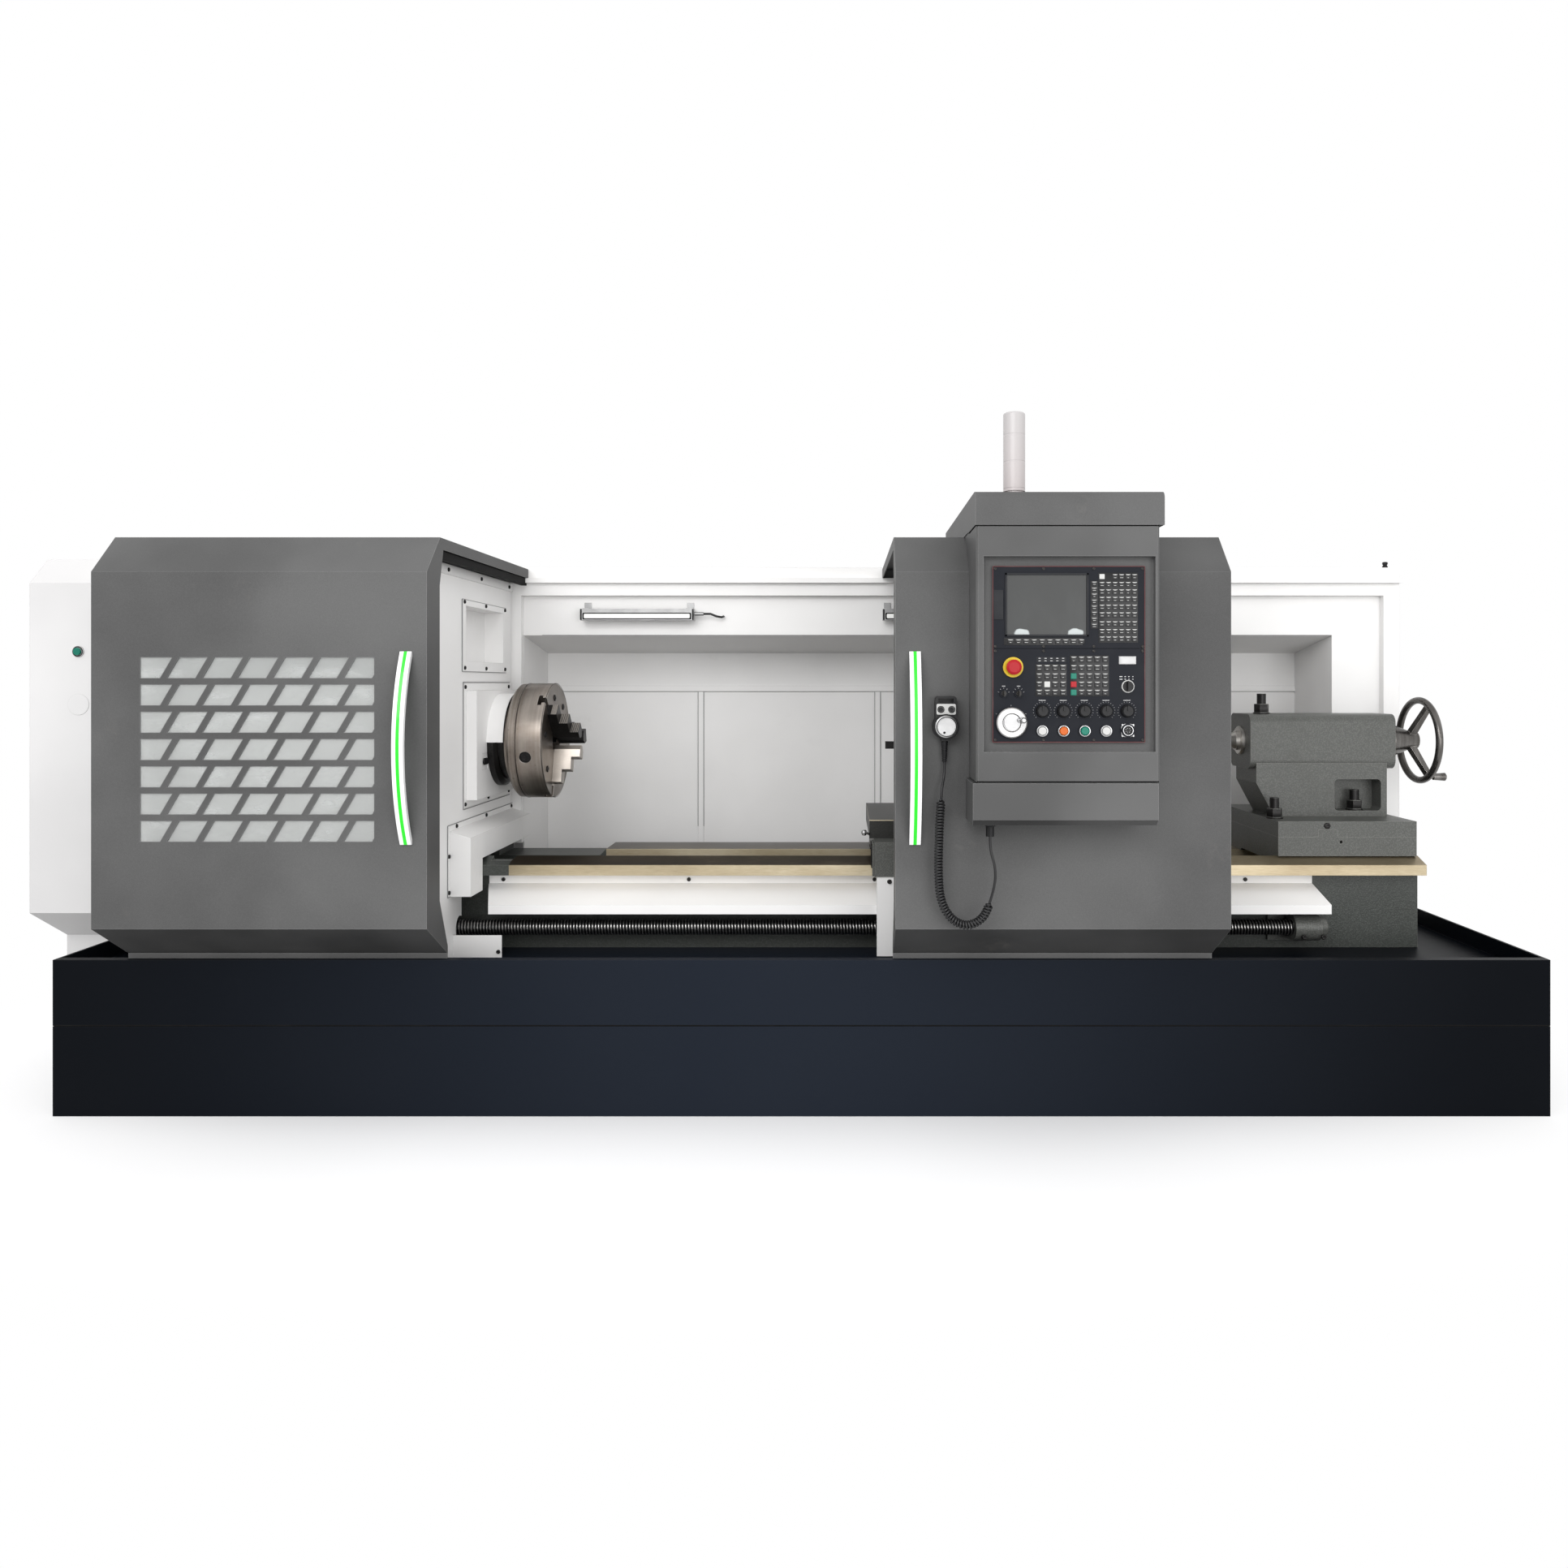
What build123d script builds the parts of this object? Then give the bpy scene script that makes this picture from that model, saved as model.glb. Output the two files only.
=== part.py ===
"""Flat-bed turning lathe with two sliding doors, a control box on the right door and a three-jaw chuck.

Millimetres, +Z up, +X from the headstock to the tailstock, the operator stands at -Y.
The origin lies on the floor under the middle of the machine.
"""

from build123d import *
import math
import os

# Fits and sheet metal
RUNNING_CLEARANCE = 0.06
SLIDING_CLEARANCE = 0.3
SHEET = 3.0
GUARD_SHEET = 4.0

# Base cabinet and chip tray
TRAY_LEFT = -2081.0
TRAY_LENGTH = 4434.0
TRAY_FRONT = -518.0
TRAY_DEPTH = 1400.0
PLINTH_HEIGHT = 269.0
TRAY_HEIGHT = 194.0
PAN_DEPTH = 54.0
RIM_WIDTH = 30.0
BASE_WALL = 8.0
BASE_RIB_SPACING = 620.0
SEAM_GROOVE = 3.0
TRAY_RIGHT = TRAY_LEFT + TRAY_LENGTH
TRAY_BACK = TRAY_FRONT + TRAY_DEPTH
TRAY_TOP = PLINTH_HEIGHT + TRAY_HEIGHT
PAN_FLOOR = TRAY_TOP - PAN_DEPTH

# Bed and its two ways
BED_HEIGHT = 273.0
BED_LEFT = -1795.0
BED_LENGTH = 3955.0
BED_FRONT = -182.0
BED_WIDTH = 595.0
BED_WALL = 55.0
BED_FLOOR = 20.0
BED_RIB = 30.0
BED_RIB_COUNT = 11
WAY_OVERHANG = 60.0
WAY_LIP = 34.0
VEE_RISE = 30.0
VEE_SHOULDER = 8.0
VEE_BACK_RUN = 18.0
VEE_BACK_DROP = 44.0
REAR_WAY_WIDTH = 178.0
REAR_WAY_RELIEF = 22.0
UNGROUND_LENGTH = 66.0
UNGROUND_DROP = 12.0
VEE_FRONT_DROP = 22.0
REAR_WAY_START = -598.0
GROUND_WAY_START = -829.0
BED_RIGHT = BED_LEFT + BED_LENGTH
BED_BACK = BED_FRONT + BED_WIDTH
WAY_TOP = PAN_FLOOR + BED_HEIGHT
VEE_PEAK = WAY_TOP + VEE_RISE
VEE_PEAK_Y = BED_FRONT + WAY_OVERHANG
BED_WALL_FRONT = BED_FRONT + WAY_OVERHANG

# Spindle line
CENTRE_HEIGHT = 400.0
SPINDLE_Y = 118.0
SPINDLE_Z = WAY_TOP + CENTRE_HEIGHT

# Headstock, spindle and chuck
INNER_WALL_X = -982.0
HEADSTOCK_LENGTH = 850.0
HEADSTOCK_HEIGHT = 650.0
HEADSTOCK_TO_COVER = 10.0
NOSE_CLEARANCE = 0.3
HEADSTOCK_TO_WALL = 20.0
SPINDLE_BORE = 104.0
SPINDLE_DIAMETER = 170.0
SPINDLE_TAIL = 420.0
PULLEY_DIAMETER = 220.0
PULLEY_WIDTH = 110.0
PULLEY_GROOVES = 5
FLANGE_DIAMETER = 316.0
FLANGE_WIDTH = 31.0
SPIGOT_DIAMETER = 270.0
CHUCK_DIAMETER = 400.0
CHUCK_BODY = 90.0
CHUCK_PLATE = 50.0
CHUCK_PLATE_HUB_WIDTH = 18.0
CHUCK_PLATE_HUB = 300.0
CHUCK_FACE_X = -750.0
CHUCK_BORE = 104.0
PINION_SOCKET = 40.0
FIRST_JAW_ANGLE = 46.0
JAW_COUNT = 3
JAW_WIDTH = 46.0
JAW_NOSE_FLAT = 12.0
JAW_KEY_WIDTH = 24.0
JAW_KEY_DEPTH = 26.0
JAW_INNER_RADIUS = 20.0
JAW_STEP_LENGTH = 44.3
JAW_STEP_HEIGHTS = (92.0, 62.0, 32.0)

# Headstock cover, its raised spindle frame, way guard and wall pocket
COVER_LENGTH = 891.0
COVER_FRONT = -482.0
COVER_BACK = 368.0
COVER_TOP = 1655.0
WALL_STRIP = 31.0
FRAME_RAISE = 37.0
FRAME_FRONT = -144.0
FRAME_DEPTH = 460.0
FRAME_BOTTOM = 897.0
FRAME_HEIGHT = 361.0
FRAME_FLANGE = 24.0
LATCH_Y = -59.0
LATCH_Z = 1020.0
LATCH_WIDTH = 60.0
LATCH_HEIGHT = 54.0
CHUCK_SHIELD_RADIUS = 164.0
CHUCK_SHIELD_LENGTH = 56.0
POCKET_FRONT = -182.0
POCKET_LENGTH = 478.0
POCKET_RISE = 639.0
POCKET_BOTTOM = WAY_TOP + POCKET_RISE
POCKET_HEIGHT = 236.0
POCKET_SIDE = 34.0
POCKET_SILL = 34.0
POCKET_HEAD = 20.0
POCKET_DEPTH = 70.0
WAY_GUARD_RAISE = 68.5
WAY_GUARD_FRONT = -301.0
WAY_GUARD_BACK = 377.0
WAY_GUARD_FLANGE = 18.0
FOOT_PLATE_Y = -266.0
FOOT_PLATE_LENGTH = 155.0
FOOT_PLATE_HEIGHT = 71.0
DRIVE_OPENING_BOTTOM = 583.0
WAY_GUARD_TOP = 816.0
WAY_GUARD_FALL = 21.0
WAY_GUARD_BOTTOM = 609.0

# White cover on the left end
END_COVER_LEFT = -2353.0
END_COVER_LENGTH = 473.0
END_COVER_FRONT = -233.0
END_COVER_DEPTH = 607.0
END_COVER_TOP = 1690.0
END_COVER_CHAMFER = 86.0
END_COVER_BOTTOM = 544.0
END_COVER_UNDERCUT = 108.0
END_COVER_FOOT_BACK = 177.0
END_COVER_FOOT = 200.0
COVER_DISC = 34.0
COVER_DISC_Z = 1214.0
COVER_BUTTON_X = -2196.0
COVER_BUTTON_Z = 1384.0
COVER_BUTTON_RADIUS = 12.0
COVER_BUTTON_BEZEL = 18.0

# Rear guard
ROOF_REAR = 378.0
BEAM_DEPTH = 60.0
BEAM_BOTTOM = 1611.0
BEAM_HEIGHT = 105.0
UPPER_PANEL_SET_BACK = 30.0
UPPER_PANEL_BOTTOM = 1463.0
REAR_EDGE_GAP = 3.0
ALCOVE_LEFT = -945.0
CORNER_POST_WIDTH = 45.0
LEFT_POST_WIDTH = 70.0
REAR_WALL_Y = 758.0
SOFFIT_BACK_Z = 1406.0
REAR_RECESS_RIGHT = 2105.0
REAR_COLUMN_WIDTH = 59.0
RIB_STRIP = 23.0
RIB_STRIP_X = (-331.0, 390.0)
RIB_STRIP_Z = 1249.0

# Work lights
LIGHT_LENGTH = 425.0
LIGHT_HEIGHT = 43.0
LIGHT_DEPTH = 40.0
LIGHT_TOP = 1560.0
LIGHT_LEFT = (-721.0, 408.0)
LIGHT_BRACKET = 26.0
LIGHT_STAND_OFF = 16.0
LIGHT_CABLE_RADIUS = 3.0

# Leadscrew
SCREW_Y = -202.0
SCREW_Z = 493.0
SCREW_DIAMETER = 50.0
SCREW_LEFT = -1150.0
BRACKET_LEFT = 1711.0
BRACKET_WIDTH = 84.0
BRACKET_DIAMETER = 86.0
BRACKET_CAP = 26.0

# Leadscrew cover
SCREW_COVER_LEFT = -910.0
SCREW_COVER_RIGHT = 1810.0
SCREW_COVER_STRIP_TOP = 649.0
SCREW_COVER_STRIP = 30.0
SCREW_COVER_LEAN = 45.0
SCREW_COVER_REACH = 151.0
SCREW_COVER_FALL = 43.0
SCREW_COVER_LIP = 27.0

# Carriage
SADDLE_LEFT = 359.0
SADDLE_LENGTH = 500.0
SADDLE_FRONT = -276.0
SADDLE_TOP = 777.0
SADDLE_BACK_OVERHANG = 30.0
APRON_TOP = 667.0
APRON_INSET = 7.0
APRON_RETURN = 12.0
NUT_LENGTH = 80.0
NUT_WALL = 13.0
APRON_FRONT = -290.0
APRON_BOTTOM = 419.0
APRON_LENGTH = 486.0
CROSS_SLIDE_LEFT = 345.0
CROSS_SLIDE_LENGTH = 400.0
CROSS_SLIDE_TOP = 838.0
CROSS_SLIDE_FRONT = -182.0
CROSS_SLIDE_DEPTH = 520.0
DOVETAIL_WIDTH = 200.0
DOVETAIL_HEIGHT = 22.0
DOVETAIL_FLARE = 12.0
TOOL_POST_X = 545.0
TOOL_POST_Y = -40.0
TOOL_POST_BASE = 170.0
TOOL_POST_HEAD = 180.0
TOOL_POST_HEAD_HEIGHT = 120.0
TOOL_SHANK = 25.0
TOOL_OVERHANG = 50.0

# Tailstock
TAIL_LEFT = 1694.0
TAIL_LENGTH = 456.0
TAIL_FRONT = -137.0
TAIL_BACK = 395.0
TAIL_LOWER_PLATE = 63.0
TAIL_UPPER_PLATE = 52.0
TAIL_KEY_X = 1826.0
TAIL_KEY_WIDTH = 63.0
TAIL_KEY_HEIGHT = 25.0
TAIL_COLUMN_FRONT = 18.0
TAIL_COLUMN_DEPTH = 200.0
TAIL_COLUMN_SHOULDER = 1000.0
BARREL_HEIGHT = 188.0
BARREL_FRONT_OVERHANG = 36.0
CENTRE_LENGTH = 65.0
WHEEL_SHAFT = 15.0
WHEEL_SPOKE_WIDTH = 24.0
WHEEL_FIRST_SPOKE = 30.0
CRANK_ANGLE = 28.0
STUD_STANDING = 36.0
BARREL_RADIUS = 30.0
BARREL_OVERHANG = 30.0
QUILL_DIAMETER = 100.0
QUILL_OUT = 10.0
CENTRE_CONE = 30.0
TAIL_POCKET_LEFT = 1946.0
TAIL_POCKET_LENGTH = 160.0
TAIL_POCKET_BOTTOM = 845.0
TAIL_POCKET_HEIGHT = 108.0
TAIL_POCKET_DEPTH = 70.0
STUD_DIAMETER = 30.0
NUT_FLATS = 44.0
NUT_HEIGHT = 34.0
WHEEL_DIAMETER = 304.0
WHEEL_RIM = 24.0
WHEEL_HUB = 60.0
WHEEL_X = 2286.0
WHEEL_SPOKES = 3
CRANK_LENGTH = 56.0

# Sliding doors
DOOR_WIDTH = 950.0
LEFT_DOOR_X = -1869.0
RIGHT_DOOR_X = 407.0
DOOR_FRONT = -667.0
DOOR_BOTTOM = 586.0
DOOR_SHOULDER = 1598.0
ROOF_Z = 1709.0
DOOR_CHAMFER = 107.0
DOOR_LIP_Y = -498.0
DOOR_LIP_TOP = 479.0
DOOR_RETURN = 104.0
ROOF_FLANGE = 34.0
REAR_FLANGE = 34.0
RAIL_DEPTH = 22.0
RAIL_HEIGHT = 18.0

# Door window with its slanted lattice
WINDOW_LEFT = 139.0
WINDOW_WIDTH = 662.0
WINDOW_BARS = 7
LATTICE_FIRST_BAR = 56.0
LATTICE_BAR = 20.0
WINDOW_ROWS = 7
WINDOW_TOP = 1355.5
LATTICE_PITCH_X = 100.0
LATTICE_PITCH_Z = 77.2
LATTICE_OPENING_Z = 58.5
LATTICE_LEAN = 34.4
GLASS_THICKNESS = 5.0

# Door handles
HANDLE_LENGTH = 546.0
HANDLE_WIDTH = 32.0
HANDLE_THICKNESS = 12.0
HANDLE_BOW = 70.0
HANDLE_CENTRE_Z = 1099.0
LEFT_HANDLE_X = 893.0
RIGHT_HANDLE_X = 55.0

# Control box, measured from its left front edge
BOX_X = 615.0
BOX_WIDTH = 491.0
BOX_FRONT = -842.0
BOX_BOTTOM = 1019.0
BOX_TOP = 1703.0
BOX_WALL = 4.0
LOWER_BOX_DROP = 103.0
LOWER_BOX_CHAMFER = 16.0
HOOD_LEFT = 3.0
HOOD_RIGHT = 13.0
HOOD_BOTTOM = 1706.0
LOWER_BOX_SHIFT = 9.0
LOWER_BOX_SEAM = 5.0
HOOD_TOP = 1797.0
HOOD_RADIUS = 20.0
HOOD_REAR = 18.0
PANEL_X = 661.0
PANEL_WIDTH = 408.0
PANEL_BOTTOM = 1124.0
PANEL_SEAM = 1375.0
PANEL_TOP = 1596.0
PANEL_THICKNESS = 10.0
RECESS_MARGIN = 26.0
RECESS_DEPTH = 22.0
LAMP_X = 730.0
LAMP_Y = -752.0
LAMP_DIAMETER = 60.0
LAMP_HEIGHT = 229.0

# Upper control unit
SCREEN_LEFT = 698.7
SCREEN_BOTTOM = 1413.0
SCREEN_WIDTH = 214.0
SCREEN_HEIGHT = 160.0
SCREEN_GLASS = 3.0
KEY_HEIGHT = 2.0
SOFT_KEY_LEFT = 700.0
SOFT_KEY_BOTTOM = 1387.0
SOFT_KEY_PITCH = 21.2
SOFT_KEY_SIZE = (16.3, 14.0)
SIDE_KEY_LEFT = 925.4
SIDE_KEY_TOP = 1556.0
SIDE_KEY_PITCH = 16.2
SIDE_KEY_SIZE = (16.0, 12.0)
BLOCK_KEY_LEFT = 946.5
BLOCK_KEY_PITCH = 17.45
BLOCK_KEY_TOPS = (1576.0, 1555.0, 1535.0, 1515.0, 1494.0, 1473.5, 1449.4, 1428.5, 1408.6)
BLOCK_KEY_SIZE = (15.0, 14.6)
BLOCK_KEY_COLUMNS = 6

# Machine panel
PANEL_KEY_SIZE = (16.4, 16.4)
PANEL_KEY_PITCH = 21.3
LEFT_KEYS_X = 777.2
LEFT_KEY_TOPS = (1331.9, 1309.6, 1287.4, 1265.7)
RIGHT_KEYS_X = 869.6
RIGHT_KEY_TOPS = (1354.7, 1331.9, 1309.6, 1287.4, 1265.7)
LEFT_KEY_COLUMNS = 4
RIGHT_KEY_COLUMNS = 5
ESTOP_X = 715.0
ESTOP_Z = 1325.2
ESTOP_RING = 28.4
ESTOP_HEAD = 20.2
ESTOP_STEM = 11.0
ESTOP_STANDING = 26.0
ESTOP_TRAVEL = 6.0
KEY_SWITCH_X = (690.0, 730.0)
KEY_SWITCH_Z = 1254.9
KEY_SWITCH_RADIUS = 11.5
SELECTOR_X = 1023.5
SELECTOR_Z = 1273.7
SELECTOR_RADIUS = 14.0
KNOB_X = (793.4, 849.9, 906.3, 964.5, 1020.9)
KNOB_Z = 1207.8
KNOB_RADIUS = 18.0
KNOB_STANDING = 17.0
BUTTON_X = (793.4, 850.7, 907.4, 964.9)
BUTTON_Z = 1154.1
BUTTON_BEZEL = 16.3
BUTTON_RADIUS = 11.0
BUTTON_STANDING = 7.0
STEM_RADIUS = 7.0
PORT_X = 1022.7
PORT_Z = 1155.6
PORT_RADIUS = 18.0
PANEL_WHEEL_X = 710.0
PANEL_WHEEL_Z = 1176.5
PANEL_WHEEL_RADIUS = 41.0
PANEL_WHEEL_THICKNESS = 14.0
PANEL_WHEEL_GRIP = 8.0

# Hand-held pendant on the right door
PENDANT_X = 547.0
PENDANT_Z = 1161.0
PENDANT_WIDTH = 74.0
PENDANT_HEIGHT = 125.0
PENDANT_THICKNESS = 40.0
PENDANT_CENTRE_OFFSET = 22.5
PENDANT_LOOP = 60.0
PENDANT_FOOT = 26.0
PENDANT_LOOP_HEIGHT = 20.0
PENDANT_DIAL_RADIUS = 27.0
PENDANT_DIAL_THICKNESS = 12.0
PENDANT_KNOB_RADIUS = 7.0
PENDANT_KNOB_SPREAD = 15.0
PENDANT_KNOB_Z = 58.0

# Pendant cord: a thin lead, a curly stretch that hangs in a loop, and a thin lead up to the gland
CORD_DIAMETER = 7.0
COIL_DIAMETER = 26.0
CORD_Y = -706.0
CORD_DOWN = [(544, -687, 1060), (544, -687, 1025), (535.4, -704.8, 992), (533, CORD_Y, 959)]
CORD_COIL = [(533, CORD_Y, 959), (529, -708, 904), (527, -709, 848), (525, -708, 788), (526, -709, 730),
             (530, -711, 684), (545, -714, 645), (571, -718, 617), (604, -724, 608), (636, -731, 622),
             (656, -738, 648), (664, -742, 676)]
CORD_UP = [(664, -742, 676), (672, -746, 704), (680, -747, 743), (677, -748, 784), (664, -748, 820),
           (664, -748, 860)]

# Hidden electrical cabinet and motors
CABINET_LEFT = -2050.0
CABINET_WIDTH = 1050.0
CABINET_FRONT = 446.0
CABINET_DEPTH = 420.0
CABINET_TOP = 1590.0
MAIN_MOTOR_DIAMETER = 260.0
MAIN_MOTOR_LENGTH = 330.0
MAIN_MOTOR_FLANGE = 20.0
MAIN_MOTOR_TO_SPINDLE = 15.0
FEED_MOTOR_SIZE = 130.0
FEED_MOTOR_LENGTH = 210.0

NODES = {}


def keep(name, *solids):
    """File one or more separate solids under a node's name."""
    NODES[name] = list(solids)


def block(x0, x1, y0, y1, z0, z1):
    """A rectangular solid between two corners."""
    centre = Pos((x0 + x1) / 2, (y0 + y1) / 2, (z0 + z1) / 2)
    return centre * Box(x1 - x0, y1 - y0, z1 - z0)


def prism_x(points, x0, x1):
    """An outline of (y, z) points carried along X."""
    face = make_face(Plane.YZ * Polyline(*points, close=True))
    return Pos(x0, 0, 0) * extrude(face, x1 - x0, dir=(1, 0, 0))


def prism_y(points, y0, y1):
    """An outline of (x, z) points carried along Y."""
    corners = [(x, y0, z) for x, z in points]
    face = make_face(Polyline(*corners, close=True))
    return extrude(face, y1 - y0, dir=(0, 1, 0))


def prism_z(points, z0, z1):
    """An outline of (x, y) points carried along Z."""
    corners = [(x, y, z0) for x, y in points]
    face = make_face(Polyline(*corners, close=True))
    return extrude(face, z1 - z0, dir=(0, 0, 1))


def rod_x(radius, x0, x1, y, z):
    """A round bar along X."""
    return Pos((x0 + x1) / 2, y, z) * Rot(0, 90, 0) * Cylinder(radius, x1 - x0)


def rod_y(radius, y0, y1, x, z):
    """A round bar along Y."""
    return Pos(x, (y0 + y1) / 2, z) * Rot(90, 0, 0) * Cylinder(radius, y1 - y0)


def rod_z(radius, z0, z1, x, y):
    """A round bar along Z."""
    return Pos(x, y, (z0 + z1) / 2) * Cylinder(radius, z1 - z0)


def turned_x(profile, y, z):
    """A solid of revolution about an X axis from (x, radius) points."""
    corners = [(x, 0, radius) for x, radius in profile]
    face = make_face(Polyline(*corners, close=True))
    return Pos(0, y, z) * revolve(face, Axis.X)


def turned_y(profile, x, z):
    """A solid of revolution about a Y axis from (y, radius) points."""
    corners = [(radius, y, 0) for y, radius in profile]
    face = make_face(Polyline(*corners, close=True))
    return Pos(x, 0, z) * revolve(face, Axis.Y)


def folded_sheet_x(points, thickness, x0, x1):
    """A sheet bent along a path of (y, z) points, thickened to the path's left, carried along X."""
    inner = offset_path(points, thickness)
    return prism_x(points + inner[::-1], x0, x1)


def offset_path(points, distance):
    """The mitred parallel of an open path, to its left as it is walked."""
    normals = []
    for (a0, b0), (a1, b1) in zip(points, points[1:]):
        length = math.hypot(a1 - a0, b1 - b0)
        normals.append((-(b1 - b0) / length, (a1 - a0) / length))
    moved = []
    for index, (a, b) in enumerate(points):
        before = normals[max(index - 1, 0)]
        after = normals[min(index, len(normals) - 1)]
        scale = distance / (1 + before[0] * after[0] + before[1] * after[1])
        moved.append((a + (before[0] + after[0]) * scale, b + (before[1] + after[1]) * scale))
    return moved


def fuse(first, *others):
    """One solid from several that touch."""
    whole = first
    for other in others:
        whole = whole + other
    return whole


# Base cabinet and chip tray

def base_plinth():
    """Closed skirt and top plate, open underneath, with a shadow groove under the tray."""
    body = block(TRAY_LEFT, TRAY_RIGHT, TRAY_FRONT, TRAY_BACK, 0, PLINTH_HEIGHT)
    hollow = block(TRAY_LEFT + BASE_WALL, TRAY_RIGHT - BASE_WALL, TRAY_FRONT + BASE_WALL,
                   TRAY_BACK - BASE_WALL, -1, PLINTH_HEIGHT - BASE_WALL)
    groove = block(TRAY_LEFT, TRAY_RIGHT, TRAY_FRONT, TRAY_BACK, PLINTH_HEIGHT - SEAM_GROOVE, PLINTH_HEIGHT)
    core = block(TRAY_LEFT + SEAM_GROOVE, TRAY_RIGHT - SEAM_GROOVE, TRAY_FRONT + SEAM_GROOVE,
                 TRAY_BACK - SEAM_GROOVE, PLINTH_HEIGHT - SEAM_GROOVE, PLINTH_HEIGHT)
    ribs = []
    x = TRAY_LEFT + BASE_RIB_SPACING
    while x < TRAY_RIGHT - BASE_RIB_SPACING / 2:
        ribs.append(block(x, x + BASE_WALL, TRAY_FRONT + BASE_WALL, TRAY_BACK - BASE_WALL,
                          0, PLINTH_HEIGHT - BASE_WALL))
        x += BASE_RIB_SPACING
    return fuse(body - hollow - (groove - core), *ribs)


def chip_tray():
    """Shallow pan with an inward rim, on a ribbed skirt."""
    body = block(TRAY_LEFT, TRAY_RIGHT, TRAY_FRONT, TRAY_BACK, PLINTH_HEIGHT, TRAY_TOP)
    pan = block(TRAY_LEFT + BASE_WALL, TRAY_RIGHT - BASE_WALL, TRAY_FRONT + RIM_WIDTH,
                TRAY_BACK - BASE_WALL, PAN_FLOOR, TRAY_TOP + 1)
    body = body - pan
    x = TRAY_LEFT + BASE_WALL
    while x < TRAY_RIGHT - BASE_WALL:
        end = min(x + BASE_RIB_SPACING - BASE_WALL, TRAY_RIGHT - BASE_WALL)
        body = body - block(x, end, TRAY_FRONT + BASE_WALL, TRAY_BACK - BASE_WALL,
                            PLINTH_HEIGHT - 1, PAN_FLOOR - BASE_WALL)
        x += BASE_RIB_SPACING
    return body


# Bed

def front_way_outline(gap=0.0):
    """Front rail section from its foot, over the overhanging lip and the vee."""
    return [(BED_WALL_FRONT + BED_WALL, PAN_FLOOR), (BED_WALL_FRONT, PAN_FLOOR),
            (BED_WALL_FRONT, VEE_PEAK - VEE_SHOULDER - WAY_LIP - 20),
            (BED_FRONT, VEE_PEAK - VEE_FRONT_DROP - WAY_LIP), (BED_FRONT, VEE_PEAK - VEE_FRONT_DROP + gap),
            (VEE_PEAK_Y, VEE_PEAK + gap), (VEE_PEAK_Y + VEE_BACK_RUN, VEE_PEAK - VEE_BACK_DROP),
            (BED_WALL_FRONT + BED_WALL, VEE_PEAK - VEE_BACK_DROP)]


def rear_way_outline():
    """Rear rail section with its flat way."""
    way_front = BED_BACK - REAR_WAY_WIDTH
    web_front = BED_BACK - BED_WALL - 30
    return [(BED_BACK - 30, PAN_FLOOR), (web_front, PAN_FLOOR), (web_front, WAY_TOP - 80),
            (way_front, WAY_TOP - 46), (way_front, WAY_TOP), (BED_BACK, WAY_TOP),
            (BED_BACK, WAY_TOP - 46), (BED_BACK - 30, WAY_TOP - 66)]


def rear_relief_outline():
    """Chip chute left of the rear way, with a slanted end where the way starts."""
    deep = WAY_TOP - REAR_WAY_RELIEF
    return [(ALCOVE_LEFT - 40, deep), (REAR_WAY_START - REAR_WAY_RELIEF, deep), (REAR_WAY_START, WAY_TOP + 1),
            (ALCOVE_LEFT - 40, WAY_TOP + 1)]


def bed():
    """Two rails joined by cross ribs and end walls, cast in one piece."""
    front = prism_x(front_way_outline(), BED_LEFT, BED_RIGHT)
    rear = prism_x(rear_way_outline(), BED_LEFT, BED_RIGHT)
    inner_front = BED_WALL_FRONT + BED_WALL
    inner_back = BED_BACK - BED_WALL - 30
    rib_top = WAY_TOP - 80
    pitch = (BED_LENGTH - BED_RIB) / (BED_RIB_COUNT - 1)
    ribs = []
    for index in range(BED_RIB_COUNT):
        x = BED_LEFT + index * pitch
        ribs.append(block(x, x + BED_RIB, inner_front, inner_back, PAN_FLOOR, rib_top))
    chute = block(BED_LEFT, BED_RIGHT, inner_front, inner_back, rib_top - BED_FLOOR, rib_top)
    body = fuse(front, rear, chute, *ribs)
    relief = prism_y(rear_relief_outline(), BED_BACK - REAR_WAY_WIDTH - 1, BED_BACK + 1)
    facet = [(GROUND_WAY_START - UNGROUND_LENGTH, VEE_PEAK - UNGROUND_DROP),
             (GROUND_WAY_START, VEE_PEAK - UNGROUND_DROP),
             (GROUND_WAY_START + UNGROUND_DROP, VEE_PEAK + 1), (GROUND_WAY_START - UNGROUND_LENGTH, VEE_PEAK + 1)]
    unground = prism_y(facet, BED_FRONT - 1, VEE_PEAK_Y + VEE_BACK_RUN)
    return body - relief - unground


# Headstock and spindle

def headstock():
    """Headstock casting, bored for the spindle and fitted over both ways."""
    right = INNER_WALL_X - HEADSTOCK_TO_WALL
    left = right - HEADSTOCK_LENGTH
    front = BED_FRONT
    back = COVER_BACK - HEADSTOCK_TO_COVER
    top = WAY_TOP + HEADSTOCK_HEIGHT
    shoulder = 60.0
    outline = [(front, WAY_TOP), (back, WAY_TOP), (back, top - shoulder), (back - shoulder, top),
               (front + shoulder, top), (front, top - shoulder)]
    body = prism_x(outline, left, right)
    body = body - prism_x(front_way_outline(), left - 1, right + 1)
    bearing = 120.0
    bore = rod_x(SPINDLE_DIAMETER / 2 + RUNNING_CLEARANCE, left - 1, right + 1, SPINDLE_Y, SPINDLE_Z)
    wall = 40.0
    cavity = block(left + bearing, right - bearing, VEE_PEAK_Y + VEE_BACK_RUN + 20, back - wall, WAY_TOP - 1, top - wall)
    return body - bore - cavity


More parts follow.
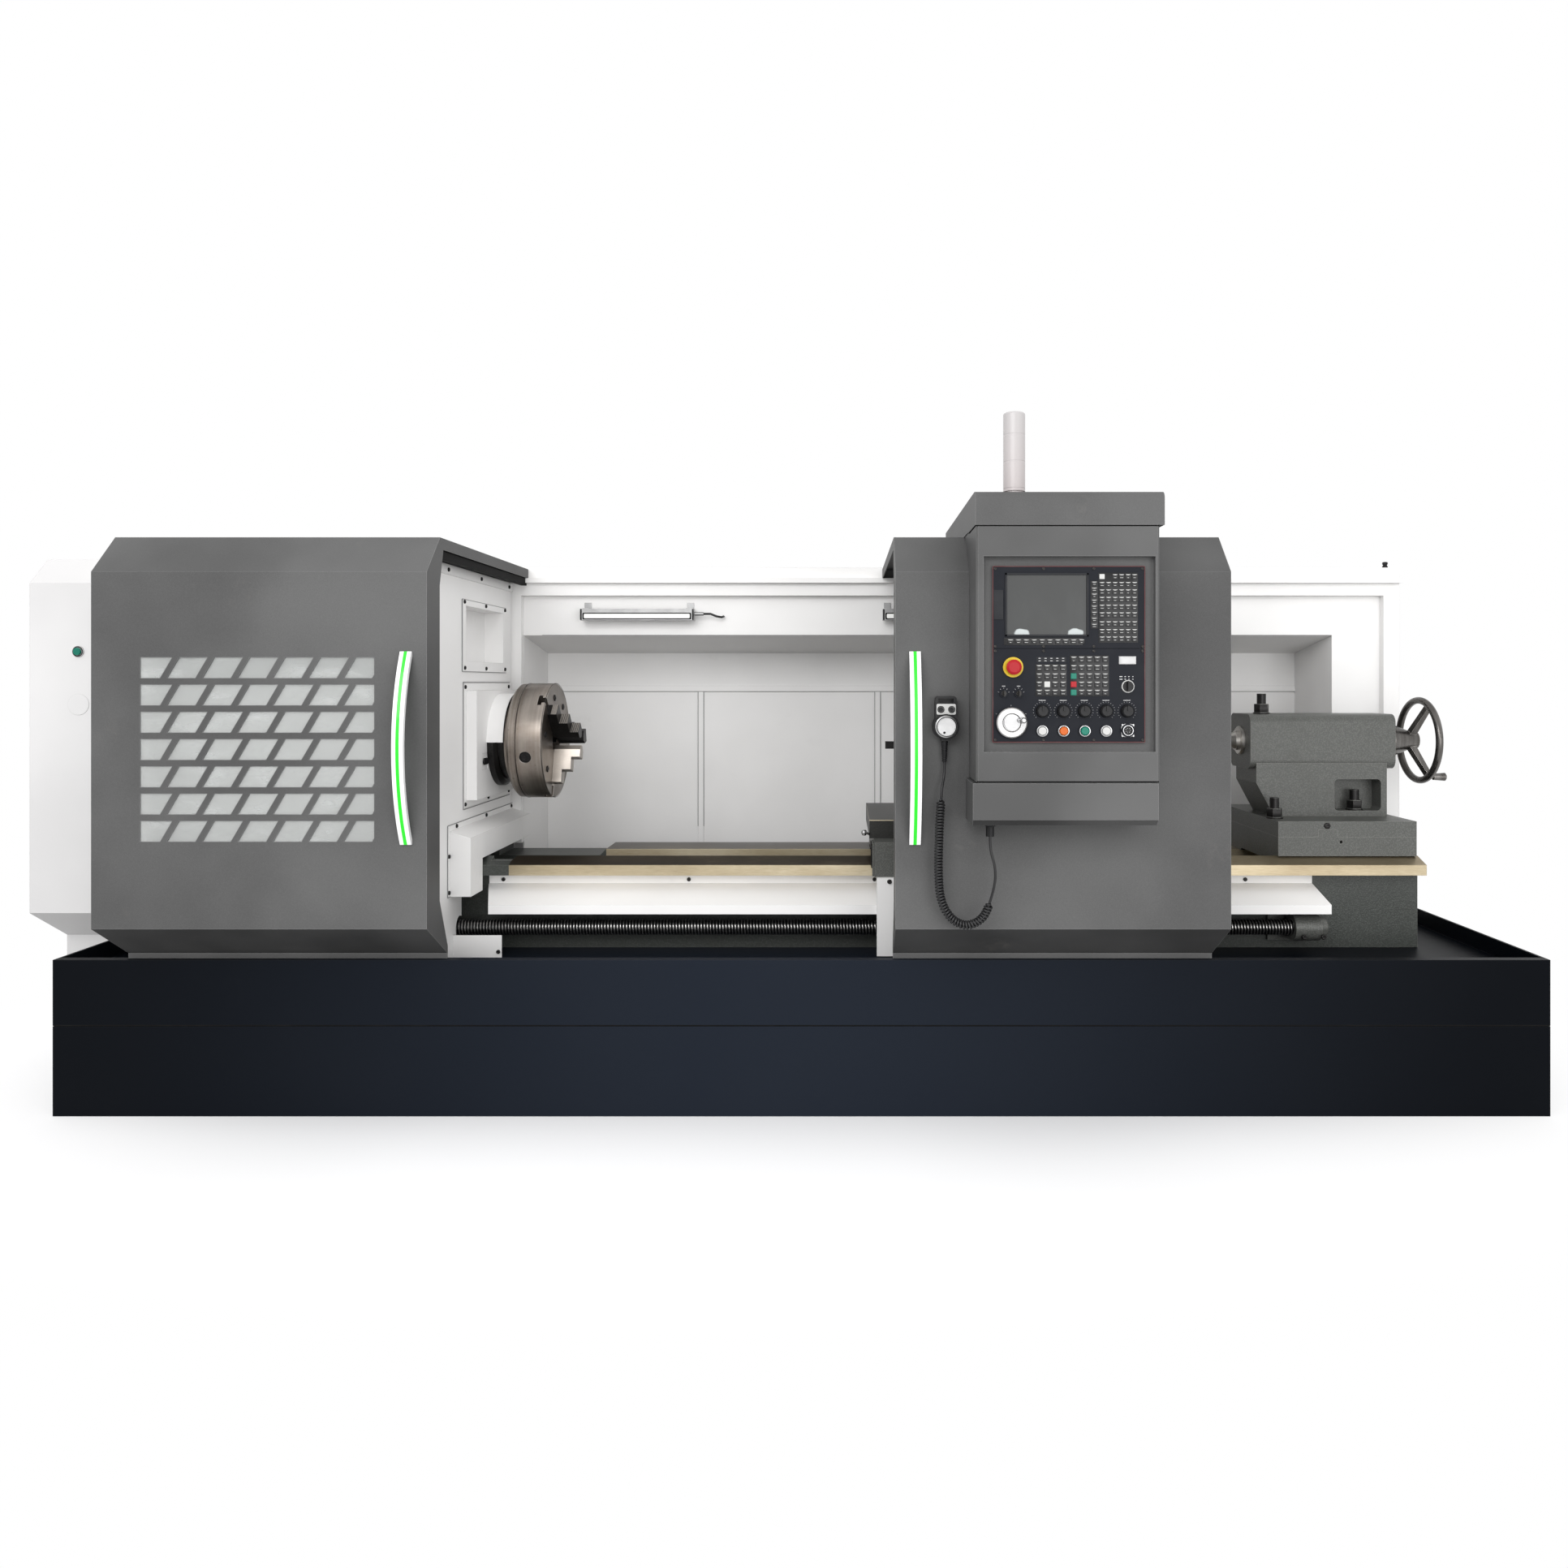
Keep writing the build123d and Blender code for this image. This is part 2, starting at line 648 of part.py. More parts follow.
def spindle_shaft():
    """Hollow spindle: belt pulley at the tail, plain journals, and a nose flange for the chuck."""
    bore = SPINDLE_BORE / 2
    shaft = SPINDLE_DIAMETER / 2
    pulley = PULLEY_DIAMETER / 2
    flange = FLANGE_DIAMETER / 2
    spigot = SPIGOT_DIAMETER / 2
    plate_back = CHUCK_FACE_X - CHUCK_BODY - CHUCK_PLATE
    flange_back = INNER_WALL_X + FRAME_RAISE + NOSE_CLEARANCE
    tail = INNER_WALL_X - HEADSTOCK_TO_WALL - HEADSTOCK_LENGTH - SPINDLE_TAIL
    start = tail + 20
    end = start + PULLEY_WIDTH
    bevel = 12.0
    groove = 10.0
    profile = [(tail, bore), (tail, shaft - 10), (start, shaft - 10)]
    step = PULLEY_WIDTH / PULLEY_GROOVES
    for index in range(PULLEY_GROOVES):
        x = start + index * step
        profile += [(x, pulley), (x + step * 0.3, pulley), (x + step * 0.5, pulley - groove),
                    (x + step * 0.7, pulley)]
    profile += [(end, pulley), (end, shaft), (flange_back, shaft), (flange_back, flange),
                (flange_back + FLANGE_WIDTH - bevel, flange), (flange_back + FLANGE_WIDTH, flange - bevel),
                (flange_back + FLANGE_WIDTH, spigot), (plate_back, spigot), (plate_back, bore)]
    return turned_x(profile, SPINDLE_Y, SPINDLE_Z)


def chuck_plate():
    """Back plate with its smaller hub and a bevelled rear edge."""
    back = CHUCK_FACE_X - CHUCK_BODY - CHUCK_PLATE
    front = CHUCK_FACE_X - CHUCK_BODY
    hub = CHUCK_PLATE_HUB / 2
    rim = CHUCK_DIAMETER / 2
    bevel = 10.0
    shoulder = back + CHUCK_PLATE_HUB_WIDTH
    profile = [(back, CHUCK_BORE / 2), (back, hub), (shoulder, hub), (shoulder, rim - bevel - 2),
               (shoulder + bevel, rim - 2), (front - 2, rim - 2), (front, rim - 4), (front, CHUCK_BORE / 2)]
    return turned_x(profile, SPINDLE_Y, SPINDLE_Z)


def on_chuck_face(solid, angle):
    """Turn a solid that is built with its radius along -Y to a jaw's angle, on the spindle line."""
    return Pos(0, SPINDLE_Y, SPINDLE_Z) * Rot(-angle, 0, 0) * solid


def chuck_body():
    """Chuck body with three T slots for the jaws and three pinion sockets between them."""
    back = CHUCK_FACE_X - CHUCK_BODY
    rim = CHUCK_DIAMETER / 2
    edge = 4.0
    profile = [(back, CHUCK_BORE / 2), (back, rim - edge), (back + edge, rim), (CHUCK_FACE_X - edge, rim),
               (CHUCK_FACE_X, rim - edge), (CHUCK_FACE_X, CHUCK_BORE / 2)]
    body = turned_x(profile, SPINDLE_Y, SPINDLE_Z)
    gap = SLIDING_CLEARANCE
    for index in range(JAW_COUNT):
        angle = FIRST_JAW_ANGLE - index * 360 / JAW_COUNT
        mouth = block(CHUCK_FACE_X - JAW_KEY_DEPTH / 2 - gap, CHUCK_FACE_X + 1, -rim - 5, -CHUCK_BORE / 2 + 8,
                      -JAW_KEY_WIDTH / 2 - gap, JAW_KEY_WIDTH / 2 + gap)
        tee = block(CHUCK_FACE_X - JAW_KEY_DEPTH - gap, CHUCK_FACE_X - JAW_KEY_DEPTH / 2 + gap, -rim - 5,
                    -CHUCK_BORE / 2 + 8, -JAW_WIDTH / 2 - gap, JAW_WIDTH / 2 + gap)
        socket = Pos(CHUCK_FACE_X - CHUCK_BODY * 0.62, -rim + 20, 0) * Rot(90, 0, 0) * Cylinder(
            PINION_SOCKET / 2, 50)
        body = body - on_chuck_face(mouth, angle) - on_chuck_face(tee, angle)
        body = body - on_chuck_face(socket, angle + 180 / JAW_COUNT)
    return body


def chuck_jaw(index):
    """Stepped hard jaw with its T key, tallest next to the centre."""
    inner = JAW_INNER_RADIUS
    foot = CHUCK_FACE_X + SLIDING_CLEARANCE
    half = JAW_WIDTH / 2
    outline = [(foot, -inner)]
    radius = inner
    for height in JAW_STEP_HEIGHTS:
        outline.append((CHUCK_FACE_X + height, -radius))
        radius += JAW_STEP_LENGTH
        outline.append((CHUCK_FACE_X + height, -radius))
    outline.append((foot, -radius))
    top = prism_z(outline, -half, half)
    nose = JAW_NOSE_FLAT / 2
    lean = half - nose
    for side in (-1, 1):
        corner = [(-inner + 1, side * nose), (-inner, side * nose), (-inner - lean, side * half),
                  (-inner - lean, side * (half + 1)), (-inner + 1, side * (half + 1))]
        top = top - prism_x(corner, foot - 1, CHUCK_FACE_X + JAW_STEP_HEIGHTS[0] + 1)
    outer = radius + 10
    neck = block(CHUCK_FACE_X - JAW_KEY_DEPTH / 2, foot, -outer, -CHUCK_BORE / 2, -JAW_KEY_WIDTH / 2,
                 JAW_KEY_WIDTH / 2)
    key = block(CHUCK_FACE_X - JAW_KEY_DEPTH, CHUCK_FACE_X - JAW_KEY_DEPTH / 2, -outer, -CHUCK_BORE / 2,
                -half, half)
    return on_chuck_face(fuse(top, neck, key), FIRST_JAW_ANGLE - index * 360 / JAW_COUNT)


# Headstock cover

def headstock_cover():
    """White sheet cover: inner wall with its window recess, top angle, way guard and foot plate."""
    right = INNER_WALL_X
    left = right - COVER_LENGTH
    sheet = GUARD_SHEET
    outer = block(left, right, COVER_FRONT, COVER_BACK, PAN_FLOOR, COVER_TOP)
    hollow = block(left + sheet, right - sheet, COVER_FRONT + sheet, COVER_BACK - sheet, PAN_FLOOR - 1,
                   COVER_TOP - sheet)
    strip = block(right, right + 6, COVER_FRONT + 10, COVER_BACK, COVER_TOP - WALL_STRIP, COVER_TOP)
    guard_outer = right + WAY_GUARD_RAISE
    low = WAY_GUARD_BOTTOM
    top = WAY_GUARD_TOP
    guard = prism_y([(right, low), (right, top), (guard_outer, top - WAY_GUARD_FALL), (guard_outer, low)],
                    WAY_GUARD_FRONT, WAY_GUARD_BACK)
    hollow_guard = prism_y([(right - sheet - 1, low - 1), (right - sheet - 1, top - sheet),
                            (right, top - sheet), (guard_outer - sheet, top - WAY_GUARD_FALL - sheet),
                            (guard_outer - sheet, low - 1)],
                           WAY_GUARD_FRONT + sheet, WAY_GUARD_BACK - sheet)
    flange = block(right, right + 2, WAY_GUARD_FRONT - WAY_GUARD_FLANGE, WAY_GUARD_BACK, low,
                   top + WAY_GUARD_FLANGE)
    pocket_back = POCKET_FRONT + POCKET_LENGTH
    pocket_top = POCKET_BOTTOM + POCKET_HEIGHT
    opening_front = POCKET_FRONT + POCKET_SIDE
    opening_back = pocket_back - POCKET_SIDE
    opening_low = POCKET_BOTTOM + POCKET_SILL
    opening_high = pocket_top - POCKET_HEAD
    plate = block(right, right + 3, POCKET_FRONT, pocket_back, POCKET_BOTTOM, pocket_top)
    box = block(right - POCKET_DEPTH, right, opening_front - 3, opening_back + 3, opening_low - 3,
                opening_high + 3)
    hole = block(right - POCKET_DEPTH + 3, right + 4, opening_front, opening_back, opening_low, opening_high)
    body = fuse(outer - hollow, strip, guard, flange, plate, box) - hollow_guard - hole
    nose_hole = rod_x(SPINDLE_DIAMETER / 2 + 30, right - 10, right + 1, SPINDLE_Y, SPINDLE_Z)
    reach = 2.0
    bed_space = block(right - 10, guard_outer + 1, BED_FRONT - reach, BED_BACK + reach, PAN_FLOOR - 1,
                      VEE_PEAK + reach)
    bed_behind = block(left - 1, right + 1, COVER_BACK - sheet - 1, COVER_BACK + 1, PAN_FLOOR - 1,
                       WAY_TOP + reach)
    screw_space = rod_x(SCREW_DIAMETER / 2 + 12, right - 10, right + 10, SCREW_Y, SCREW_Z)
    drive_side = block(left - 1, left + sheet + 1, COVER_FRONT + 60, COVER_BACK - 60, DRIVE_OPENING_BOTTOM,
                       COVER_TOP - 60)
    foot = block(right, right + FOOT_PLATE_LENGTH, FOOT_PLATE_Y, FOOT_PLATE_Y + sheet, PAN_FLOOR,
                 PAN_FLOOR + FOOT_PLATE_HEIGHT)
    body = body - nose_hole - bed_space - bed_behind - screw_space - drive_side
    return body + foot


def spindle_guard():
    """Raised box round the spindle nose with its bolting flange and the half-round shield over the flange."""
    right = INNER_WALL_X
    sheet = GUARD_SHEET
    back = FRAME_FRONT + FRAME_DEPTH
    top = FRAME_BOTTOM + FRAME_HEIGHT
    face_x = right + FRAME_RAISE
    box = block(right, face_x, FRAME_FRONT, back, FRAME_BOTTOM, top)
    hollow = block(right - 1, face_x - sheet, FRAME_FRONT + sheet, back - sheet, FRAME_BOTTOM + sheet,
                   top - sheet)
    flange = block(right, right + 2, FRAME_FRONT - FRAME_FLANGE, back + FRAME_FLANGE, FRAME_BOTTOM - FRAME_FLANGE,
                   top + FRAME_FLANGE)
    nose_hole = rod_x(SPINDLE_DIAMETER / 2 + 12, right - 10, face_x + 1, SPINDLE_Y, SPINDLE_Z)
    latch = block(face_x - 2, face_x + 1, LATCH_Y - LATCH_WIDTH / 2, LATCH_Y + LATCH_WIDTH / 2,
                  LATCH_Z - LATCH_HEIGHT / 2, LATCH_Z + LATCH_HEIGHT / 2)
    body = (box + flange) - hollow - nose_hole - latch
    outside = CHUCK_SHIELD_RADIUS
    shield = rod_x(outside, face_x, face_x + CHUCK_SHIELD_LENGTH, SPINDLE_Y, SPINDLE_Z)
    shield = shield - rod_x(outside - 2, face_x - 1, face_x + CHUCK_SHIELD_LENGTH + 1, SPINDLE_Y, SPINDLE_Z)
    lower_half = block(face_x - 2, face_x + CHUCK_SHIELD_LENGTH + 2, SPINDLE_Y - outside - 5,
                       SPINDLE_Y + outside + 5, SPINDLE_Z - outside - 5, SPINDLE_Z)
    return body + (shield - lower_half)


def end_cover():
    """White cover over the belt drive, chamfered like the doors, with a hollow foot outside the tray."""
    x0 = END_COVER_LEFT
    x1 = x0 + END_COVER_LENGTH
    front = END_COVER_FRONT
    back = front + END_COVER_DEPTH
    low = END_COVER_BOTTOM
    top = END_COVER_TOP
    cut = END_COVER_CHAMFER
    sheet = GUARD_SHEET
    upper = [(front, low), (front, top - cut), (front + cut, top), (back, top), (back, low)]
    inner = [(front + sheet, low + sheet), (front + sheet, top - cut - sheet * 0.4),
             (front + cut + sheet * 0.4, top - sheet), (back - sheet, top - sheet), (back - sheet, low + sheet)]
    body = prism_x(upper, x0, x1) - prism_x(inner, x0 + sheet, x1 + 1)
    foot_right = TRAY_LEFT
    foot_front = front + END_COVER_FOOT_BACK
    slope = low - END_COVER_UNDERCUT
    foot = [(front, low), (back, low), (back, END_COVER_FOOT), (foot_front, END_COVER_FOOT), (foot_front, slope)]
    foot_inner = [(front + 3 * sheet, low - sheet), (back - sheet, low - sheet), (back - sheet, END_COVER_FOOT - 1),
                  (foot_front + sheet, END_COVER_FOOT - 1), (foot_front + sheet, slope)]
    lower = prism_x(foot, x0, foot_right) - prism_x(foot_inner, x0 + sheet, foot_right - sheet)
    button = COVER_BUTTON_RADIUS + SLIDING_CLEARANCE
    hole = rod_y(button, front - 10, front + 30, COVER_BUTTON_X, COVER_BUTTON_Z)
    bezel = rod_y(COVER_BUTTON_BEZEL, front - 4, front, COVER_BUTTON_X, COVER_BUTTON_Z)
    disc = rod_y(COVER_DISC, front - 1, front, COVER_BUTTON_X, COVER_DISC_Z)
    return fuse(body, lower, bezel, disc) - hole


# Rear guard

def rear_guard():
    """Rear beam with the door rail, recessed upper panel, sloping soffit, alcove walls, and both end columns."""
    sheet = GUARD_SHEET
    beam_top = BEAM_BOTTOM + BEAM_HEIGHT
    panel_y = ROOF_REAR + UPPER_PANEL_SET_BACK
    path = [(panel_y, BEAM_BOTTOM), (panel_y, UPPER_PANEL_BOTTOM), (REAR_WALL_Y, SOFFIT_BACK_Z),
            (REAR_WALL_Y, PAN_FLOOR)]
    back_sheet = folded_sheet_x(path, sheet, ALCOVE_LEFT - sheet, REAR_RECESS_RIGHT + sheet)
    beam_left = TRAY_LEFT + BASE_WALL
    beam_right = TRAY_RIGHT - BASE_WALL
    beam = block(beam_left, beam_right, ROOF_REAR, ROOF_REAR + BEAM_DEPTH, BEAM_BOTTOM, beam_top)
    beam_hollow = block(beam_left + sheet, beam_right - sheet, ROOF_REAR + sheet, ROOF_REAR + BEAM_DEPTH - sheet,
                        BEAM_BOTTOM + sheet, beam_top - sheet)
    wall = [(panel_y, PAN_FLOOR), (panel_y, UPPER_PANEL_BOTTOM), (REAR_WALL_Y, SOFFIT_BACK_Z), (REAR_WALL_Y, PAN_FLOOR)]
    left_wall = prism_x(wall, ALCOVE_LEFT - sheet, ALCOVE_LEFT)
    right_wall = prism_x(wall, REAR_RECESS_RIGHT, REAR_RECESS_RIGHT + sheet)
    post = block(ALCOVE_LEFT - CORNER_POST_WIDTH, ALCOVE_LEFT - 1, ROOF_REAR, panel_y + sheet, PAN_FLOOR, BEAM_BOTTOM)
    front_panel = block(REAR_RECESS_RIGHT, beam_right - REAR_COLUMN_WIDTH, panel_y, panel_y + sheet, PAN_FLOOR,
                        BEAM_BOTTOM)
    column = block(beam_right - REAR_COLUMN_WIDTH, beam_right, ROOF_REAR, ROOF_REAR + BEAM_DEPTH, PAN_FLOOR,
                   BEAM_BOTTOM)
    left_post = block(beam_left, beam_left + LEFT_POST_WIDTH, ROOF_REAR, ROOF_REAR + BEAM_DEPTH, PAN_FLOOR,
                      BEAM_BOTTOM)
    rail_left = END_COVER_LEFT + END_COVER_LENGTH + 5
    rail_top = ROOF_Z - REAR_FLANGE - SLIDING_CLEARANCE
    rail = block(rail_left, beam_right, ROOF_REAR - RAIL_DEPTH, ROOF_REAR, ROOF_Z - REAR_FLANGE - RAIL_HEIGHT, rail_top)
    strips = [block(ALCOVE_LEFT, REAR_RECESS_RIGHT, REAR_WALL_Y - 3, REAR_WALL_Y, RIB_STRIP_Z, RIB_STRIP_Z + RIB_STRIP)]
    for x in RIB_STRIP_X:
        strips.append(block(x, x + RIB_STRIP, REAR_WALL_Y - 3, REAR_WALL_Y, PAN_FLOOR, RIB_STRIP_Z))
    body = fuse(beam - beam_hollow, back_sheet, left_wall, right_wall, post, front_panel, column, left_post, rail,
                *strips)
    bed_space = block(BED_LEFT - 2, BED_RIGHT + 2, BED_FRONT, BED_BACK + 2, PAN_FLOOR - 1, WAY_TOP + 2)
    return body - bed_space


def work_light(x0):
    """Long lamp body with a lens pocket and two brackets to the upper panel."""
    panel_y = ROOF_REAR + UPPER_PANEL_SET_BACK
    back = panel_y - LIGHT_STAND_OFF
    front = back - LIGHT_DEPTH
    bottom = LIGHT_TOP - LIGHT_HEIGHT
    body = block(x0, x0 + LIGHT_LENGTH, front, back, bottom, LIGHT_TOP)
    body = fillet(body.edges().filter_by(Axis.Z), 8)
    lens = block(x0 + 24, x0 + LIGHT_LENGTH - 24, front - 1, front + 3, bottom + 11, LIGHT_TOP - 15)
    solid = body - lens
    for x in (x0 + 6, x0 + LIGHT_LENGTH - 6 - LIGHT_BRACKET):
        angle = [(back - 24, LIGHT_TOP), (back - 24, LIGHT_TOP + 3), (panel_y - 3, LIGHT_TOP + 3),
                 (panel_y - 3, LIGHT_TOP + 26), (panel_y, LIGHT_TOP + 26), (panel_y, LIGHT_TOP)]
        solid = solid + prism_x(angle, x, x + LIGHT_BRACKET)
    gland = rod_x(7, x0 + LIGHT_LENGTH, x0 + LIGHT_LENGTH + 34, back - LIGHT_DEPTH / 2, LIGHT_TOP - 18)
    return solid + gland


def work_light_cable(x0):
    """Short lead from the lamp's gland to a grommet in the upper panel."""
    panel_y = ROOF_REAR + UPPER_PANEL_SET_BACK
    back = panel_y - LIGHT_STAND_OFF
    y = back - LIGHT_DEPTH / 2
    z = LIGHT_TOP - 18
    start = x0 + LIGHT_LENGTH + 34
    route = [(start, y, z), (start + 26, y, z), (start + 48, y + 2, z - 9), (start + 66, y + 12, z - 12),
             (start + 73, panel_y - 12, z - 8), (start + 73, panel_y, z - 8)]
    return cord_tube(route, LIGHT_CABLE_RADIUS)


def cord_tube(route, radius):
    """A round tube along straight runs joined by tangent arcs, each as large as its runs allow."""
    points = [Vector(*point) for point in route]
    radii = []
    for before, corner, after in zip(points, points[1:], points[2:]):
        arriving = corner - before
        leaving = after - corner
        turn = math.radians(arriving.get_angle(leaving))
        radii.append(0.45 * min(arriving.length, leaving.length) / math.tan(turn / 2))
    print("cord radii", [round(value) for value in radii])
    path = FilletPolyline(*points, radius=radii)
    section = Plane(origin=points[0], z_dir=points[1] - points[0]) * Circle(radius)
    return sweep(section, path=path)


# Leadscrew

def leadscrew():
    """Ball screw bar with plain ends."""
    radius = SCREW_DIAMETER / 2
    end = BRACKET_LEFT + BRACKET_WIDTH
    journal = radius - 7
    profile = [(SCREW_LEFT, 0), (SCREW_LEFT, journal), (INNER_WALL_X - 40, journal), (INNER_WALL_X - 40, radius),
               (BRACKET_LEFT - 12, radius), (BRACKET_LEFT - 12, journal), (end, journal), (end, 0)]
    return turned_x(profile, SCREW_Y, SCREW_Z)


def leadscrew_bracket():
    """Right-hand bearing bracket: housing, foot on the bed wall and end cap."""
    bore = SCREW_DIAMETER / 2 - 7 + RUNNING_CLEARANCE
    radius = BRACKET_DIAMETER / 2
    x1 = BRACKET_LEFT + BRACKET_WIDTH
    profile = [(BRACKET_LEFT, bore), (BRACKET_LEFT, radius), (x1, radius), (x1, radius - 8),
               (x1 + BRACKET_CAP - 6, radius - 10), (x1 + BRACKET_CAP, radius - 16), (x1 + BRACKET_CAP, 0),
               (x1 + 2, 0), (x1 + 2, bore)]
    housing = turned_x(profile, SCREW_Y, SCREW_Z)
    web = block(BRACKET_LEFT + 8, x1 - 8, SCREW_Y + radius - 14, BED_WALL_FRONT, SCREW_Z - 28, SCREW_Z + 28)
    foot = block(BRACKET_LEFT - 52, x1 - 8, BED_WALL_FRONT - 14, BED_WALL_FRONT, SCREW_Z - 56, SCREW_Z + 28)
    return fuse(housing, web, foot)


def leadscrew_cover():
    """Folded white sheet over the leadscrew, bolted under the front way, closed at its right end."""
    back = BED_WALL_FRONT
    top = SCREW_COVER_STRIP_TOP
    fold = top - SCREW_COVER_STRIP
    lip_y = back - SCREW_COVER_REACH
    low = fold - SCREW_COVER_FALL - SCREW_COVER_LIP
    path = [(back, top), (back, fold), (lip_y, fold - SCREW_COVER_FALL), (lip_y, low)]
    sheet = folded_sheet_x(path, -SHEET, SCREW_COVER_LEFT, SCREW_COVER_RIGHT)
    end = [(back, fold), (lip_y, fold - SCREW_COVER_FALL), (lip_y, low), (back, low)]
    right_end = prism_x(end, SCREW_COVER_RIGHT - SHEET, SCREW_COVER_RIGHT)
    x = SCREW_COVER_LEFT
    corner = [(x - 1, back - 12), (x, back - 12), (x + SCREW_COVER_LEAN, lip_y - 10), (x - 1, lip_y - 10)]
    lean = prism_z(corner, low - 5, top + 5)
    return sheet - lean + right_end


# Carriage

def saddle():
    """Saddle casting that rides on the vee and the flat way, with the cross slide's dovetail on top."""
    gap = SLIDING_CLEARANCE
    back = BED_BACK + SADDLE_BACK_OVERHANG
    way_front = BED_BACK - REAR_WAY_WIDTH
    flank_y = VEE_PEAK_Y + VEE_BACK_RUN / 2 + gap
    flank_z = VEE_PEAK - VEE_BACK_DROP / 2 + gap
    outline = [(SADDLE_FRONT, SADDLE_TOP), (SADDLE_FRONT, APRON_TOP), (BED_FRONT - gap, APRON_TOP),
               (BED_FRONT - gap, VEE_PEAK - VEE_FRONT_DROP + gap), (VEE_PEAK_Y, VEE_PEAK + gap), (flank_y, flank_z),
               (way_front - 20, flank_z), (way_front - 20, WAY_TOP + gap), (BED_BACK + gap, WAY_TOP + gap),
               (BED_BACK + gap, WAY_TOP - 40), (back, WAY_TOP - 40), (back, SADDLE_TOP)]
    body = prism_x(outline, SADDLE_LEFT, SADDLE_LEFT + SADDLE_LENGTH)
    x = CROSS_SLIDE_LEFT + CROSS_SLIDE_LENGTH / 2
    half = DOVETAIL_WIDTH / 2 - gap
    tail = [(x - half + DOVETAIL_FLARE, SADDLE_TOP), (x - half, SADDLE_TOP + DOVETAIL_HEIGHT - gap),
            (x + half, SADDLE_TOP + DOVETAIL_HEIGHT - gap), (x + half - DOVETAIL_FLARE, SADDLE_TOP)]
    return body + prism_y(tail, SADDLE_FRONT + 40, back)


def apron():
    """White apron sheet hung in front of the saddle, with the leadscrew nut on its back."""
    x0 = SADDLE_LEFT + APRON_INSET
    x1 = x0 + APRON_LENGTH
    taper = 60.0
    outline = [(x0, APRON_BOTTOM), (x1 - taper, APRON_BOTTOM), (x1, APRON_BOTTOM + taper * 1.6), (x1, APRON_TOP),
               (x0, APRON_TOP)]
    front = prism_y(outline, APRON_FRONT, APRON_FRONT + SHEET)
    shelf = block(x0, x1, APRON_FRONT, BED_FRONT - 8, APRON_TOP - SHEET, APRON_TOP)
    ends = [block(x0, x0 + SHEET, APRON_FRONT, APRON_FRONT + APRON_RETURN, APRON_BOTTOM, APRON_TOP),
            block(x1 - SHEET, x1, APRON_FRONT, APRON_FRONT + APRON_RETURN, APRON_BOTTOM + taper * 1.6, APRON_TOP)]
    lip = block(x0, x1 - taper, APRON_FRONT, APRON_FRONT + APRON_RETURN, APRON_BOTTOM, APRON_BOTTOM + SHEET)
    nut_x0 = (x0 + x1 - NUT_LENGTH) / 2
    nut_x1 = nut_x0 + NUT_LENGTH
    screw = SCREW_DIAMETER / 2
    nut = rod_x(screw + NUT_WALL, nut_x0, nut_x1, SCREW_Y, SCREW_Z)
    arm = block(nut_x0, nut_x1, APRON_FRONT + SHEET, SCREW_Y, SCREW_Z - screw, SCREW_Z + screw)
    bore = rod_x(screw + RUNNING_CLEARANCE, nut_x0 - 1, nut_x1 + 1, SCREW_Y, SCREW_Z)
    return fuse(front, shelf, lip, *ends, nut, arm) - bore


def cross_slide():
    """Cross slide with its dovetail groove and end guards."""
    gap = SLIDING_CLEARANCE
    x0 = CROSS_SLIDE_LEFT
    x1 = x0 + CROSS_SLIDE_LENGTH
    y0 = CROSS_SLIDE_FRONT
    body = block(x0, x1, y0, y0 + CROSS_SLIDE_DEPTH, SADDLE_TOP + gap, CROSS_SLIDE_TOP)
    x = (x0 + x1) / 2
    half = DOVETAIL_WIDTH / 2
    groove = [(x - half + DOVETAIL_FLARE, SADDLE_TOP - 1), (x - half, SADDLE_TOP + DOVETAIL_HEIGHT),
              (x + half, SADDLE_TOP + DOVETAIL_HEIGHT), (x + half - DOVETAIL_FLARE, SADDLE_TOP - 1)]
    return body - prism_y(groove, y0 - 1, y0 + CROSS_SLIDE_DEPTH + 1)


def tool_post_base():
    """Round base of the tool post, one piece with the indexing drive."""
    return rod_z(TOOL_POST_BASE / 2, CROSS_SLIDE_TOP, SPINDLE_Z - TOOL_SHANK - 40 - SLIDING_CLEARANCE,
                 TOOL_POST_X, TOOL_POST_Y)


def tool_post():
    """Square four-way tool head with one turning tool on each side."""
    half = TOOL_POST_HEAD / 2
    z0 = SPINDLE_Z - TOOL_SHANK - 40
    z1 = z0 + TOOL_POST_HEAD_HEIGHT
    slot_low = SPINDLE_Z - TOOL_SHANK
    slot_depth = 30.0
    head = block(-half, half, -half, half, z0, z1)
    for turn in range(4):
        slot = block(-half - 1, half + 1, -half - 1, -half + slot_depth, slot_low, slot_low + TOOL_SHANK + 12)
        head = head - Rot(0, 0, 90 * turn) * slot
    for turn in range(4):
        tool = block(-half + 35, half + TOOL_OVERHANG, -half + 2, -half + 2 + TOOL_SHANK, slot_low, SPINDLE_Z)
        head = head + Rot(0, 0, 90 * turn) * tool
        for offset in (-40, 5, 50):
            bolt = rod_z(8, SPINDLE_Z, z1 + 18, offset, -half + 14)
            head = head + Rot(0, 0, 90 * turn) * bolt
    cap = rod_z(40, z1, z1 + 22, 0, 0)
    return Pos(TOOL_POST_X, TOOL_POST_Y, 0) * (head + cap)


# Tailstock

